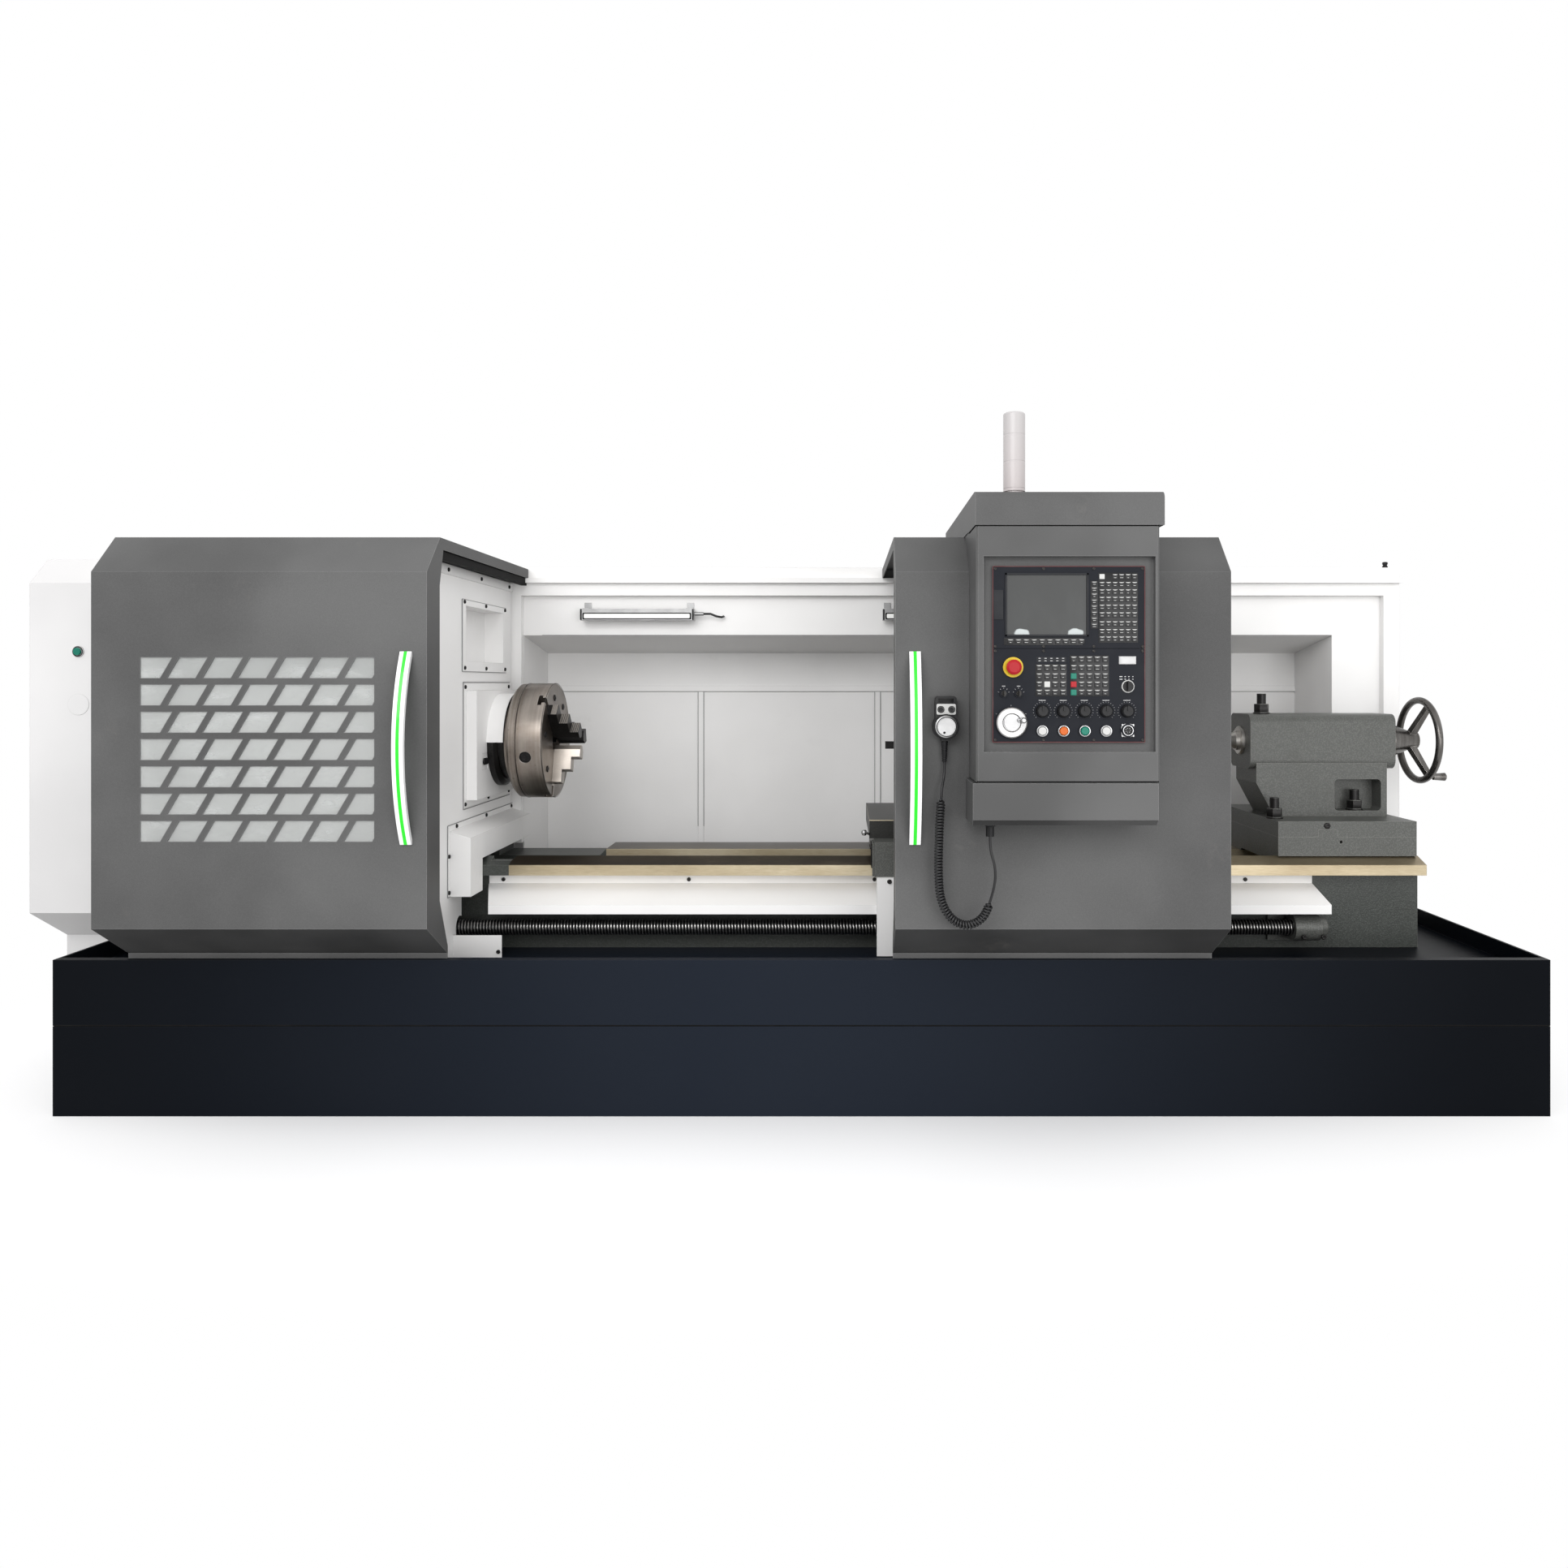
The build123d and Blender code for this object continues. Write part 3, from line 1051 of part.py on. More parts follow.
def tailstock_base():
    """Lower plate that sits on both ways, with the raised cross key."""
    gap = SLIDING_CLEARANCE
    top = VEE_PEAK + TAIL_LOWER_PLATE
    way_front = BED_BACK - REAR_WAY_WIDTH
    outline = [(TAIL_FRONT, top), (TAIL_FRONT, VEE_PEAK + gap), (VEE_PEAK_Y, VEE_PEAK + gap),
               (VEE_PEAK_Y + VEE_BACK_RUN / 2 + gap, VEE_PEAK - VEE_BACK_DROP / 2 + gap),
               (way_front - 20, VEE_PEAK - VEE_BACK_DROP / 2 + gap), (way_front - 20, WAY_TOP + gap),
               (TAIL_BACK, WAY_TOP + gap), (TAIL_BACK, top)]
    body = prism_x(outline, TAIL_LEFT, TAIL_LEFT + TAIL_LENGTH)
    key = block(TAIL_KEY_X, TAIL_KEY_X + TAIL_KEY_WIDTH, TAIL_FRONT, TAIL_BACK, top, top + TAIL_KEY_HEIGHT)
    pin_hole = rod_y(5, TAIL_FRONT - 1, TAIL_FRONT + 20, TAIL_KEY_X + TAIL_KEY_WIDTH + 12, top - 16)
    return body + key - pin_hole


def tailstock_body():
    """Upper casting: plate with the key groove, waisted column, square barrel housing, studs and nuts."""
    low = VEE_PEAK + TAIL_LOWER_PLATE
    plate_top = low + TAIL_UPPER_PLATE
    plate = block(TAIL_LEFT, TAIL_LEFT + TAIL_LENGTH, TAIL_FRONT, TAIL_BACK, low, plate_top)
    groove = block(TAIL_KEY_X, TAIL_KEY_X + TAIL_KEY_WIDTH, TAIL_FRONT - 1, TAIL_BACK + 1, low - 1,
                   low + TAIL_KEY_HEIGHT)
    y0 = TAIL_COLUMN_FRONT
    y1 = y0 + TAIL_COLUMN_DEPTH
    half_height = BARREL_HEIGHT / 2
    half_width = TAIL_COLUMN_DEPTH / 2
    barrel_bottom = SPINDLE_Z - half_height
    x0 = TAIL_LEFT - 16
    x1 = TAIL_LEFT + TAIL_LENGTH - 24
    column = [(x0 + 60, plate_top), (x0, TAIL_COLUMN_SHOULDER - 60), (x0, barrel_bottom + 20),
              (x1, barrel_bottom + 20), (x1, plate_top)]
    column_solid = prism_y(column, y0, y1)
    pocket = block(TAIL_POCKET_LEFT, TAIL_POCKET_LEFT + TAIL_POCKET_LENGTH, y0 - 1, y0 + TAIL_POCKET_DEPTH,
                   TAIL_POCKET_BOTTOM, TAIL_POCKET_BOTTOM + TAIL_POCKET_HEIGHT)
    pocket = fillet(pocket.edges().filter_by(Axis.Y), 14)
    barrel_x0 = TAIL_LEFT - BARREL_FRONT_OVERHANG
    barrel_x1 = x1 + BARREL_OVERHANG
    barrel = block(barrel_x0, barrel_x1, SPINDLE_Y - half_width, SPINDLE_Y + half_width, SPINDLE_Z - half_height,
                   SPINDLE_Z + half_height)
    barrel = fillet(barrel.edges().filter_by(Axis.X), BARREL_RADIUS)
    bore = rod_x(QUILL_DIAMETER / 2 + RUNNING_CLEARANCE, barrel_x0 - 1, barrel_x1 - 40, SPINDLE_Y, SPINDLE_Z)
    shaft_hole = rod_x(WHEEL_SHAFT + RUNNING_CLEARANCE, barrel_x1 - 50, barrel_x1 + 1, SPINDLE_Y, SPINDLE_Z)
    body = fuse(plate - groove, column_solid - pocket, barrel) - bore - shaft_hole
    for x, y, z in ((TAIL_LEFT + 21, TAIL_FRONT + 90, plate_top), (TAIL_LEFT + 335, y0 + 34, TAIL_POCKET_BOTTOM),
                    (TAIL_LEFT + 27, SPINDLE_Y - 30, SPINDLE_Z + half_height)):
        hexagon = Pos(x, y, z) * extrude(RegularPolygon(NUT_FLATS / 2, 6, major_radius=False), NUT_HEIGHT)
        washer = rod_z(NUT_FLATS * 0.62, z, z + 4, x, y)
        stud = rod_z(STUD_DIAMETER / 2, z, z + NUT_HEIGHT + STUD_STANDING, x, y)
        body = fuse(body, hexagon, washer, stud)
    return body


def quill():
    """Tailstock quill with its taper socket and the centre's cone."""
    x0 = TAIL_LEFT - BARREL_FRONT_OVERHANG - QUILL_OUT
    x1 = TAIL_LEFT + TAIL_LENGTH - 24 + BARREL_OVERHANG - 60
    radius = QUILL_DIAMETER / 2
    cone = CENTRE_CONE
    tip = x0 - CENTRE_LENGTH
    profile = [(tip, 0), (tip + cone * 1.732, cone), (x0 - 10, cone), (x0 - 10, cone + 4), (x0, cone + 4),
               (x0, radius - 4), (x0 + 4, radius), (x1, radius), (x1, 0)]
    return turned_x(profile, SPINDLE_Y, SPINDLE_Z)


def tail_handwheel():
    """Dished three-spoke handwheel with a conical hub, a shaft and a turned crank handle."""
    back = TAIL_LEFT + TAIL_LENGTH - 24 + BARREL_OVERHANG
    rim_radius = (WHEEL_DIAMETER - WHEEL_RIM) / 2
    rim = Pos(WHEEL_X, SPINDLE_Y, SPINDLE_Z) * Rot(0, 90, 0) * Torus(rim_radius, WHEEL_RIM / 2)
    hub = turned_x([(back + 1, 0), (back + 1, WHEEL_HUB), (back + 24, WHEEL_HUB), (WHEEL_X - 40, WHEEL_HUB / 2 + 4),
                    (WHEEL_X - 10, WHEEL_HUB / 2), (WHEEL_X - 10, 0)], SPINDLE_Y, SPINDLE_Z)
    shaft = rod_x(WHEEL_SHAFT, back - 36, back + 2, SPINDLE_Y, SPINDLE_Z)
    body = fuse(hub, shaft, rim)
    spoke = [(WHEEL_X - 46, WHEEL_HUB / 2 - 6), (WHEEL_X - 7, rim_radius + 2), (WHEEL_X + 7, rim_radius + 2),
             (WHEEL_X - 22, WHEEL_HUB / 2 - 6)]
    half = WHEEL_SPOKE_WIDTH / 2
    corners = [(x, -half, r) for x, r in spoke]
    arm = extrude(make_face(Polyline(*corners, close=True)), WHEEL_SPOKE_WIDTH, dir=(0, 1, 0))
    for index in range(WHEEL_SPOKES):
        angle = WHEEL_FIRST_SPOKE + index * 360 / WHEEL_SPOKES
        body = body + Pos(0, SPINDLE_Y, SPINDLE_Z) * Rot(angle, 0, 0) * arm
    at = math.radians(CRANK_ANGLE)
    tip = WHEEL_X + CRANK_LENGTH
    handle = turned_x([(WHEEL_X, 0), (WHEEL_X, 7), (WHEEL_X + 16, 7), (WHEEL_X + 16, 11), (tip, 14), (tip + 4, 9),
                       (tip + 4, 0)], SPINDLE_Y - rim_radius * math.sin(at), SPINDLE_Z - rim_radius * math.cos(at))
    return body + handle


# Doors

def door_profile():
    """The doors' shared section in (y, z): lip, undercut, front, shoulder chamfer and roof."""
    roof_end = ROOF_REAR - REAR_EDGE_GAP
    return [(DOOR_LIP_Y, TRAY_TOP + SLIDING_CLEARANCE), (DOOR_LIP_Y, DOOR_LIP_TOP), (DOOR_FRONT, DOOR_BOTTOM),
            (DOOR_FRONT, DOOR_SHOULDER), (DOOR_FRONT + DOOR_CHAMFER, ROOF_Z), (roof_end, ROOF_Z),
            (roof_end, ROOF_Z - REAR_FLANGE)]


def door_shell(x0):
    """Bent door sheet with returns along both side edges."""
    x1 = x0 + DOOR_WIDTH
    outer = door_profile()
    sheet = folded_sheet_x(outer, -SHEET, x0, x1)
    inner_front = DOOR_FRONT + DOOR_RETURN
    roof_end = ROOF_REAR - REAR_EDGE_GAP - SHEET
    inner = [(DOOR_LIP_Y + 3, TRAY_TOP + SLIDING_CLEARANCE), (DOOR_LIP_Y + 3, DOOR_LIP_TOP + 20),
             (inner_front, DOOR_BOTTOM + 60), (inner_front, DOOR_SHOULDER - 30),
             (inner_front + 30, ROOF_Z - ROOF_FLANGE), (roof_end, ROOF_Z - ROOF_FLANGE)]
    rim = outer[:5] + [(roof_end, ROOF_Z)] + inner[::-1]
    left = prism_x(rim, x0, x0 + SHEET)
    right = prism_x(rim, x1 - SHEET, x1)
    return fuse(sheet, left, right)


def lattice_cut(x0):
    """The slanted openings of the door window: each row is a long slot crossed by leaning bars."""
    left = x0 + WINDOW_LEFT
    right = left + WINDOW_WIDTH
    y0 = DOOR_FRONT - 1
    y1 = DOOR_FRONT + SHEET + 1
    cuts = []
    for row in range(WINDOW_ROWS):
        top = WINDOW_TOP - row * LATTICE_PITCH_Z
        low = top - LATTICE_OPENING_Z
        slot = block(left, right, y0, y1, low, top)
        for column in range(WINDOW_BARS):
            x = left + LATTICE_FIRST_BAR + column * LATTICE_PITCH_X
            outline = [(x, low), (x + LATTICE_BAR, low), (x + LATTICE_BAR + LATTICE_LEAN, top), (x + LATTICE_LEAN, top)]
            slot = slot - prism_y(outline, y0 - 1, y1 + 1)
        cuts += slot.solids()
    return cuts


def left_door():
    """Left door with the lattice window cut into its sheet."""
    return door_shell(LEFT_DOOR_X) - lattice_cut(LEFT_DOOR_X)


def left_door_glass():
    """Clear pane behind the lattice."""
    x0 = LEFT_DOOR_X + WINDOW_LEFT - 20
    low = WINDOW_TOP - WINDOW_ROWS * LATTICE_PITCH_Z - 6
    return block(x0, x0 + WINDOW_WIDTH + 40, DOOR_FRONT + SHEET, DOOR_FRONT + SHEET + GLASS_THICKNESS, low,
                 WINDOW_TOP + 20)


def bow_handle(x):
    """Flat bar bent to a shallow bow, with a foot at each end on the door."""
    half = HANDLE_LENGTH / 2
    low = HANDLE_CENTRE_Z - half
    high = HANDLE_CENTRE_Z + half
    outer = ThreePointArc((x, DOOR_FRONT - 8, low), (x, DOOR_FRONT - HANDLE_BOW, HANDLE_CENTRE_Z),
                          (x, DOOR_FRONT - 8, high))
    inner = ThreePointArc((x, DOOR_FRONT, high - 14), (x, DOOR_FRONT - HANDLE_BOW + HANDLE_THICKNESS, HANDLE_CENTRE_Z),
                          (x, DOOR_FRONT, low + 14))
    top = Polyline((x, DOOR_FRONT - 8, high), (x, DOOR_FRONT, high), (x, DOOR_FRONT, high - 14))
    bottom = Polyline((x, DOOR_FRONT, low + 14), (x, DOOR_FRONT, low), (x, DOOR_FRONT - 8, low))
    face = make_face([*outer.edges(), *top.edges(), *inner.edges(), *bottom.edges()])
    bar = Pos(-HANDLE_WIDTH / 2, 0, 0) * extrude(face, HANDLE_WIDTH, dir=(1, 0, 0))
    return bar


# Control box

def control_box():
    """Box on the right door: framed recess for the panels, lower box, and the duct over the roof."""
    x0 = BOX_X
    x1 = x0 + BOX_WIDTH
    y0 = BOX_FRONT
    wall = BOX_WALL
    bottom = BOX_BOTTOM - LOWER_BOX_DROP
    lower_x0 = x0 - LOWER_BOX_SHIFT
    lower_x1 = x1 - 3
    main = block(x0, x1, y0, DOOR_FRONT, BOX_BOTTOM, BOX_TOP)
    main = chamfer(main.edges().filter_by(Axis.Z).group_by(Axis.Y)[0], 5)
    lower_outline = [(y0, BOX_BOTTOM - LOWER_BOX_SEAM), (y0, bottom), (y0 + LOWER_BOX_CHAMFER, bottom - LOWER_BOX_CHAMFER),
                     (DOOR_FRONT, bottom - LOWER_BOX_CHAMFER), (DOOR_FRONT, BOX_BOTTOM - LOWER_BOX_SEAM)]
    lower = prism_x(lower_outline, lower_x0, lower_x1)
    neck = block(x0 + 6, lower_x1 - 6, y0 + 6, DOOR_FRONT, BOX_BOTTOM - LOWER_BOX_SEAM, BOX_BOTTOM)
    hood_x0 = x0 - HOOD_LEFT
    hood_x1 = x1 + HOOD_RIGHT
    hood = block(hood_x0, hood_x1, y0 - 2, HOOD_REAR, ROOF_Z, HOOD_TOP)
    hood = fillet(hood.edges().filter_by(Axis.X).group_by(Axis.Z)[-1].group_by(Axis.Y)[0], HOOD_RADIUS)
    skirt = block(hood_x0, hood_x1, y0 - 2, DOOR_FRONT, HOOD_BOTTOM, ROOF_Z)
    collar = block(x0 + 6, x1 - 6, y0 + 6, DOOR_FRONT, BOX_TOP, HOOD_BOTTOM)
    gusset = prism_x([(DOOR_FRONT, DOOR_SHOULDER), (DOOR_FRONT, ROOF_Z), (DOOR_FRONT + DOOR_CHAMFER, ROOF_Z)],
                     x0, x1)
    body = fuse(main, neck, lower, collar, skirt, hood, gusset)
    recess = block(PANEL_X - RECESS_MARGIN, PANEL_X + PANEL_WIDTH + RECESS_MARGIN, y0 - 1, y0 + RECESS_DEPTH,
                   PANEL_BOTTOM - RECESS_MARGIN, PANEL_TOP + RECESS_MARGIN)
    floor = y0 + RECESS_DEPTH
    cut_out = block(PANEL_X + 10, PANEL_X + PANEL_WIDTH - 10, y0, floor + wall + 1, PANEL_BOTTOM + 10, PANEL_TOP - 10)
    inside = block(x0 + wall, x1 - wall, floor + wall, DOOR_FRONT - wall, BOX_BOTTOM + wall, BOX_TOP - wall)
    duct_hollow = block(hood_x0 + wall, hood_x1 - wall, y0 + 40, HOOD_REAR - wall, ROOF_Z + wall, HOOD_TOP - wall)
    lower_hollow = block(lower_x0 + wall, lower_x1 - wall, y0 + LOWER_BOX_CHAMFER + wall, DOOR_FRONT - wall, bottom,
                         BOX_BOTTOM - LOWER_BOX_SEAM - wall)
    return body - recess - cut_out - inside - duct_hollow - lower_hollow


def nc_unit():
    """Upper control unit: front plate with a screen opening and a card door outline."""
    back = BOX_FRONT + RECESS_DEPTH
    front = back - PANEL_THICKNESS
    plate = block(PANEL_X, PANEL_X + PANEL_WIDTH, front, back, PANEL_SEAM + 1, PANEL_TOP)
    plate = fillet(plate.edges().filter_by(Axis.Y), 4)
    glass = block(SCREEN_LEFT, SCREEN_LEFT + SCREEN_WIDTH, front - 1, front + SCREEN_GLASS, SCREEN_BOTTOM,
                  SCREEN_BOTTOM + SCREEN_HEIGHT)
    card_x = PANEL_X + 3
    card = block(card_x, card_x + 26, front - 1, front + 1.5, PANEL_TOP - 144, PANEL_TOP - 63)
    card_door = block(card_x + 1.5, card_x + 24.5, front, front + 1.5, PANEL_TOP - 142.5, PANEL_TOP - 64.5)
    rear_case = block(PANEL_X + 20, PANEL_X + PANEL_WIDTH - 20, back, back + 60, PANEL_SEAM + 16, PANEL_TOP - 16)
    return plate - glass - (card - card_door) + rear_case


def screen():
    """Display glass in the control unit."""
    front = BOX_FRONT + RECESS_DEPTH - PANEL_THICKNESS
    return block(SCREEN_LEFT, SCREEN_LEFT + SCREEN_WIDTH, front + 1, front + SCREEN_GLASS, SCREEN_BOTTOM,
                 SCREEN_BOTTOM + SCREEN_HEIGHT)


def operator_panel():
    """Machine panel plate: bored for the controls, with their bezels and scale rings."""
    back = BOX_FRONT + RECESS_DEPTH
    front = back - PANEL_THICKNESS
    plate = block(PANEL_X, PANEL_X + PANEL_WIDTH, front, back, PANEL_BOTTOM, PANEL_SEAM)
    plate = fillet(plate.edges().filter_by(Axis.Y), 4)
    gap = SLIDING_CLEARANCE
    rings = []
    holes = []
    rings.append((ESTOP_X, ESTOP_Z, ESTOP_RING, 4.0))
    holes.append((ESTOP_X, ESTOP_Z, ESTOP_STEM + gap))
    for x in KEY_SWITCH_X:
        rings.append((x, KEY_SWITCH_Z, KEY_SWITCH_RADIUS, 5.0))
        holes.append((x, KEY_SWITCH_Z, STEM_RADIUS + gap))
    rings.append((SELECTOR_X, SELECTOR_Z, SELECTOR_RADIUS + 2.3, 2.0))
    holes.append((SELECTOR_X, SELECTOR_Z, STEM_RADIUS + gap))
    for x in KNOB_X:
        rings.append((x, KNOB_Z, KNOB_RADIUS + 5, 0.8))
        holes.append((x, KNOB_Z, STEM_RADIUS + gap))
    for x in BUTTON_X:
        rings.append((x, BUTTON_Z, BUTTON_BEZEL, 5.0))
        holes.append((x, BUTTON_Z, BUTTON_RADIUS + gap))
    rings.append((PANEL_WHEEL_X, PANEL_WHEEL_Z, PANEL_WHEEL_RADIUS + 3, 2.0))
    holes.append((PANEL_WHEEL_X, PANEL_WHEEL_Z, STEM_RADIUS + gap))
    rings.append((PORT_X, PORT_Z, PORT_RADIUS, 9.0))
    body = plate
    for x, z, radius, height in rings:
        body = body + rod_y(radius, front - height, front, x, z)
    for x, z, radius in holes:
        body = body - rod_y(radius, front - 20, back + 1, x, z)
    port = rod_y(PORT_RADIUS - 5, front - 10, front - 4, PORT_X, PORT_Z)
    return body - port


def panel_front():
    """The front plane of the control unit and the machine panel."""
    return BOX_FRONT + RECESS_DEPTH - PANEL_THICKNESS


def key_grid(lefts, tops, size, pad):
    """Key caps standing on a thin pad that lies on the panel."""
    front = panel_front()
    width, height = size
    caps = []
    for top in tops:
        for left in lefts:
            caps.append(block(left, left + width, front - KEY_HEIGHT, front - pad, top - height, top))
    backing = block(min(lefts) - 1.5, max(lefts) + width + 1.5, front - pad, front,
                    min(tops) - height - 1.5, max(tops) + 1.5)
    return fuse(backing, *caps)


def panel_keys():
    """All key blocks of both panels: soft keys, side keys, letter and number keys, and machine keys."""
    pad = 0.8
    soft = key_grid([SOFT_KEY_LEFT + i * SOFT_KEY_PITCH for i in range(10)],
                    [SOFT_KEY_BOTTOM + SOFT_KEY_SIZE[1]], SOFT_KEY_SIZE, pad)
    side = key_grid([SIDE_KEY_LEFT], [SIDE_KEY_TOP - i * SIDE_KEY_PITCH for i in range(8)], SIDE_KEY_SIZE, pad)
    letters = key_grid([BLOCK_KEY_LEFT + i * BLOCK_KEY_PITCH for i in range(BLOCK_KEY_COLUMNS)],
                       BLOCK_KEY_TOPS, BLOCK_KEY_SIZE, pad)
    left = key_grid([LEFT_KEYS_X + i * PANEL_KEY_PITCH for i in range(LEFT_KEY_COLUMNS)], LEFT_KEY_TOPS,
                    PANEL_KEY_SIZE, pad)
    right = key_grid([RIGHT_KEYS_X + i * PANEL_KEY_PITCH for i in range(RIGHT_KEY_COLUMNS)], RIGHT_KEY_TOPS,
                     PANEL_KEY_SIZE, pad)
    return [soft, side, letters, left, right]


def estop_button():
    """Mushroom head on its stem."""
    front = panel_front()
    standing = ESTOP_STANDING
    head = ESTOP_HEAD
    profile = [(front + 8, 0), (front + 8, ESTOP_STEM), (front - 4 - ESTOP_TRAVEL - 2, ESTOP_STEM),
               (front - 4 - ESTOP_TRAVEL - 4, head), (front - standing + 4, head), (front - standing, head - 6),
               (front - standing, 0)]
    return turned_y(profile, ESTOP_X, ESTOP_Z)


def push_button(x):
    """Lit push-button: lens and plunger in one."""
    front = panel_front()
    profile = [(front + 8, 0), (front + 8, BUTTON_RADIUS), (front - BUTTON_STANDING - 1, BUTTON_RADIUS),
               (front - BUTTON_STANDING - 2.5, BUTTON_RADIUS - 1.5), (front - BUTTON_STANDING - 2.5, 0)]
    return turned_y(profile, x, BUTTON_Z)


def override_knob(x):
    """Round override knob with a pointer rib, on its shaft."""
    front = panel_front()
    seat = front - 0.8 - SLIDING_CLEARANCE
    body = turned_y([(front + 8, 0), (front + 8, STEM_RADIUS), (seat, STEM_RADIUS), (seat, KNOB_RADIUS),
                     (seat - KNOB_STANDING + 4, KNOB_RADIUS - 2), (seat - KNOB_STANDING, KNOB_RADIUS - 5),
                     (seat - KNOB_STANDING, 0)], x, KNOB_Z)
    rib = block(x - 2.5, x + 2.5, seat - KNOB_STANDING - 3, seat - KNOB_STANDING, KNOB_Z, KNOB_Z + KNOB_RADIUS - 4)
    return body + rib


def key_switch(x):
    """Small lock barrel with its key bow."""
    front = panel_front()
    seat = front - 5 - SLIDING_CLEARANCE
    body = turned_y([(front + 8, 0), (front + 8, STEM_RADIUS), (seat - 3, STEM_RADIUS), (seat - 3, 0)],
                    x, KEY_SWITCH_Z)
    bow = block(x - 1.5, x + 1.5, seat - 18, seat - 3, KEY_SWITCH_Z - 8, KEY_SWITCH_Z + 8)
    return body + bow


def mode_selector():
    """Mode selector with a bar grip."""
    front = panel_front()
    seat = front - 2 - SLIDING_CLEARANCE
    body = turned_y([(front + 8, 0), (front + 8, STEM_RADIUS), (seat, STEM_RADIUS), (seat, SELECTOR_RADIUS),
                     (seat - 5, SELECTOR_RADIUS), (seat - 5, 0)], SELECTOR_X, SELECTOR_Z)
    grip = block(SELECTOR_X - 3.5, SELECTOR_X + 3.5, seat - 16, seat - 5, SELECTOR_Z - SELECTOR_RADIUS + 1,
                 SELECTOR_Z + SELECTOR_RADIUS - 1)
    return body + grip


def panel_handwheel():
    """Pulse handwheel with a raised hub disc and a finger grip."""
    front = panel_front()
    seat = front - 2 - SLIDING_CLEARANCE
    radius = PANEL_WHEEL_RADIUS
    outer = seat - PANEL_WHEEL_THICKNESS
    body = turned_y([(front + 8, 0), (front + 8, STEM_RADIUS), (seat, STEM_RADIUS), (seat, radius - 3),
                     (seat - 3, radius), (outer + 3, radius), (outer, radius - 3), (outer, radius * 0.62),
                     (outer + 4, radius * 0.56), (outer + 4, radius * 0.5), (outer, radius * 0.5), (outer, 0)],
                    PANEL_WHEEL_X, PANEL_WHEEL_Z)
    grip_x = PANEL_WHEEL_X + 29
    grip_z = PANEL_WHEEL_Z + 7
    grip = turned_y([(outer + 4, 0), (outer + 4, PANEL_WHEEL_GRIP - 2), (outer - 4, PANEL_WHEEL_GRIP - 2),
                     (outer - 16, PANEL_WHEEL_GRIP), (outer - 20, PANEL_WHEEL_GRIP - 3), (outer - 20, 0)],
                    grip_x, grip_z)
    return body + grip


# Pendant

def pendant():
    """Hand-held wheel unit: rounded case with a hanging loop and a strain relief below."""
    z1 = PENDANT_Z + PENDANT_HEIGHT / 2 + PENDANT_CENTRE_OFFSET
    z0 = z1 - PENDANT_HEIGHT
    back = DOOR_FRONT
    front = back - PENDANT_THICKNESS
    half = PENDANT_WIDTH / 2
    loop_half = PENDANT_LOOP / 2
    disc = rod_y(half, front, back, PENDANT_X, PENDANT_Z)
    neck = block(PENDANT_X - loop_half, PENDANT_X + loop_half, front, back, PENDANT_Z, z1 - PENDANT_LOOP_HEIGHT)
    foot = block(PENDANT_X - PENDANT_FOOT / 2, PENDANT_X + PENDANT_FOOT / 2, front + 4, back - 4, z0, PENDANT_Z)
    body = fuse(disc, neck, foot)
    loop = block(PENDANT_X - loop_half, PENDANT_X + loop_half, front + 8, back - 8, z1 - PENDANT_LOOP_HEIGHT - 2, z1)
    loop = fillet(loop.edges().filter_by(Axis.Y).group_by(Axis.Z)[-1], 9)
    hole = block(PENDANT_X - loop_half + 9, PENDANT_X + loop_half - 9, front, back, z1 - PENDANT_LOOP_HEIGHT + 2, z1 - 7)
    body = body + (loop - hole)
    gap = SLIDING_CLEARANCE
    body = body - rod_y(STEM_RADIUS - 3 + gap, front - 1, front + 20, PENDANT_X, PENDANT_Z)
    for side in (-1, 1):
        body = body - rod_y(3 + gap, front - 1, front + 14, PENDANT_X + side * PENDANT_KNOB_SPREAD,
                            PENDANT_Z + PENDANT_KNOB_Z - 10)
    relief_z = CORD_DOWN[0][2]
    relief = Pos(CORD_DOWN[0][0], CORD_DOWN[0][1], (z0 + relief_z) / 2) * Rot(180, 0, 0) * Cone(
        9, CORD_DIAMETER / 2 + 1.5, z0 - relief_z)
    return body + relief


def pendant_dial():
    """Round dial of the pendant with a finger dimple rim."""
    front = DOOR_FRONT - PENDANT_THICKNESS
    seat = front - SLIDING_CLEARANCE
    radius = PENDANT_DIAL_RADIUS
    stem = STEM_RADIUS - 3
    outer = seat - PENDANT_DIAL_THICKNESS
    return turned_y([(front + 14, 0), (front + 14, stem), (seat, stem), (seat, radius + 4), (seat - 4, radius + 4),
                     (seat - 6, radius), (outer, radius - 1), (outer, 0)], PENDANT_X, PENDANT_Z)


def pendant_knob(side):
    """Small axis or step selector on the pendant."""
    front = DOOR_FRONT - PENDANT_THICKNESS
    seat = front - SLIDING_CLEARANCE
    x = PENDANT_X + side * PENDANT_KNOB_SPREAD
    z = PENDANT_Z + PENDANT_KNOB_Z - 10
    radius = PENDANT_KNOB_RADIUS
    body = turned_y([(front + 10, 0), (front + 10, 3), (seat, 3), (seat, radius), (seat - 9, radius - 1),
                     (seat - 9, 0)], x, z)
    return body + block(x - 1, x + 1, seat - 11, seat - 9, z, z + radius - 2)


def cord_gland():
    """Threaded gland under the lower box that the cord comes out of."""
    x, y, z = CORD_UP[-1]
    top = BOX_BOTTOM - LOWER_BOX_DROP - LOWER_BOX_CHAMFER
    nut = Pos(x, y, top - 10) * extrude(RegularPolygon(14, 6, major_radius=False), 10)
    body = fuse(nut, rod_z(11, z, top - 10, x, y))
    return body


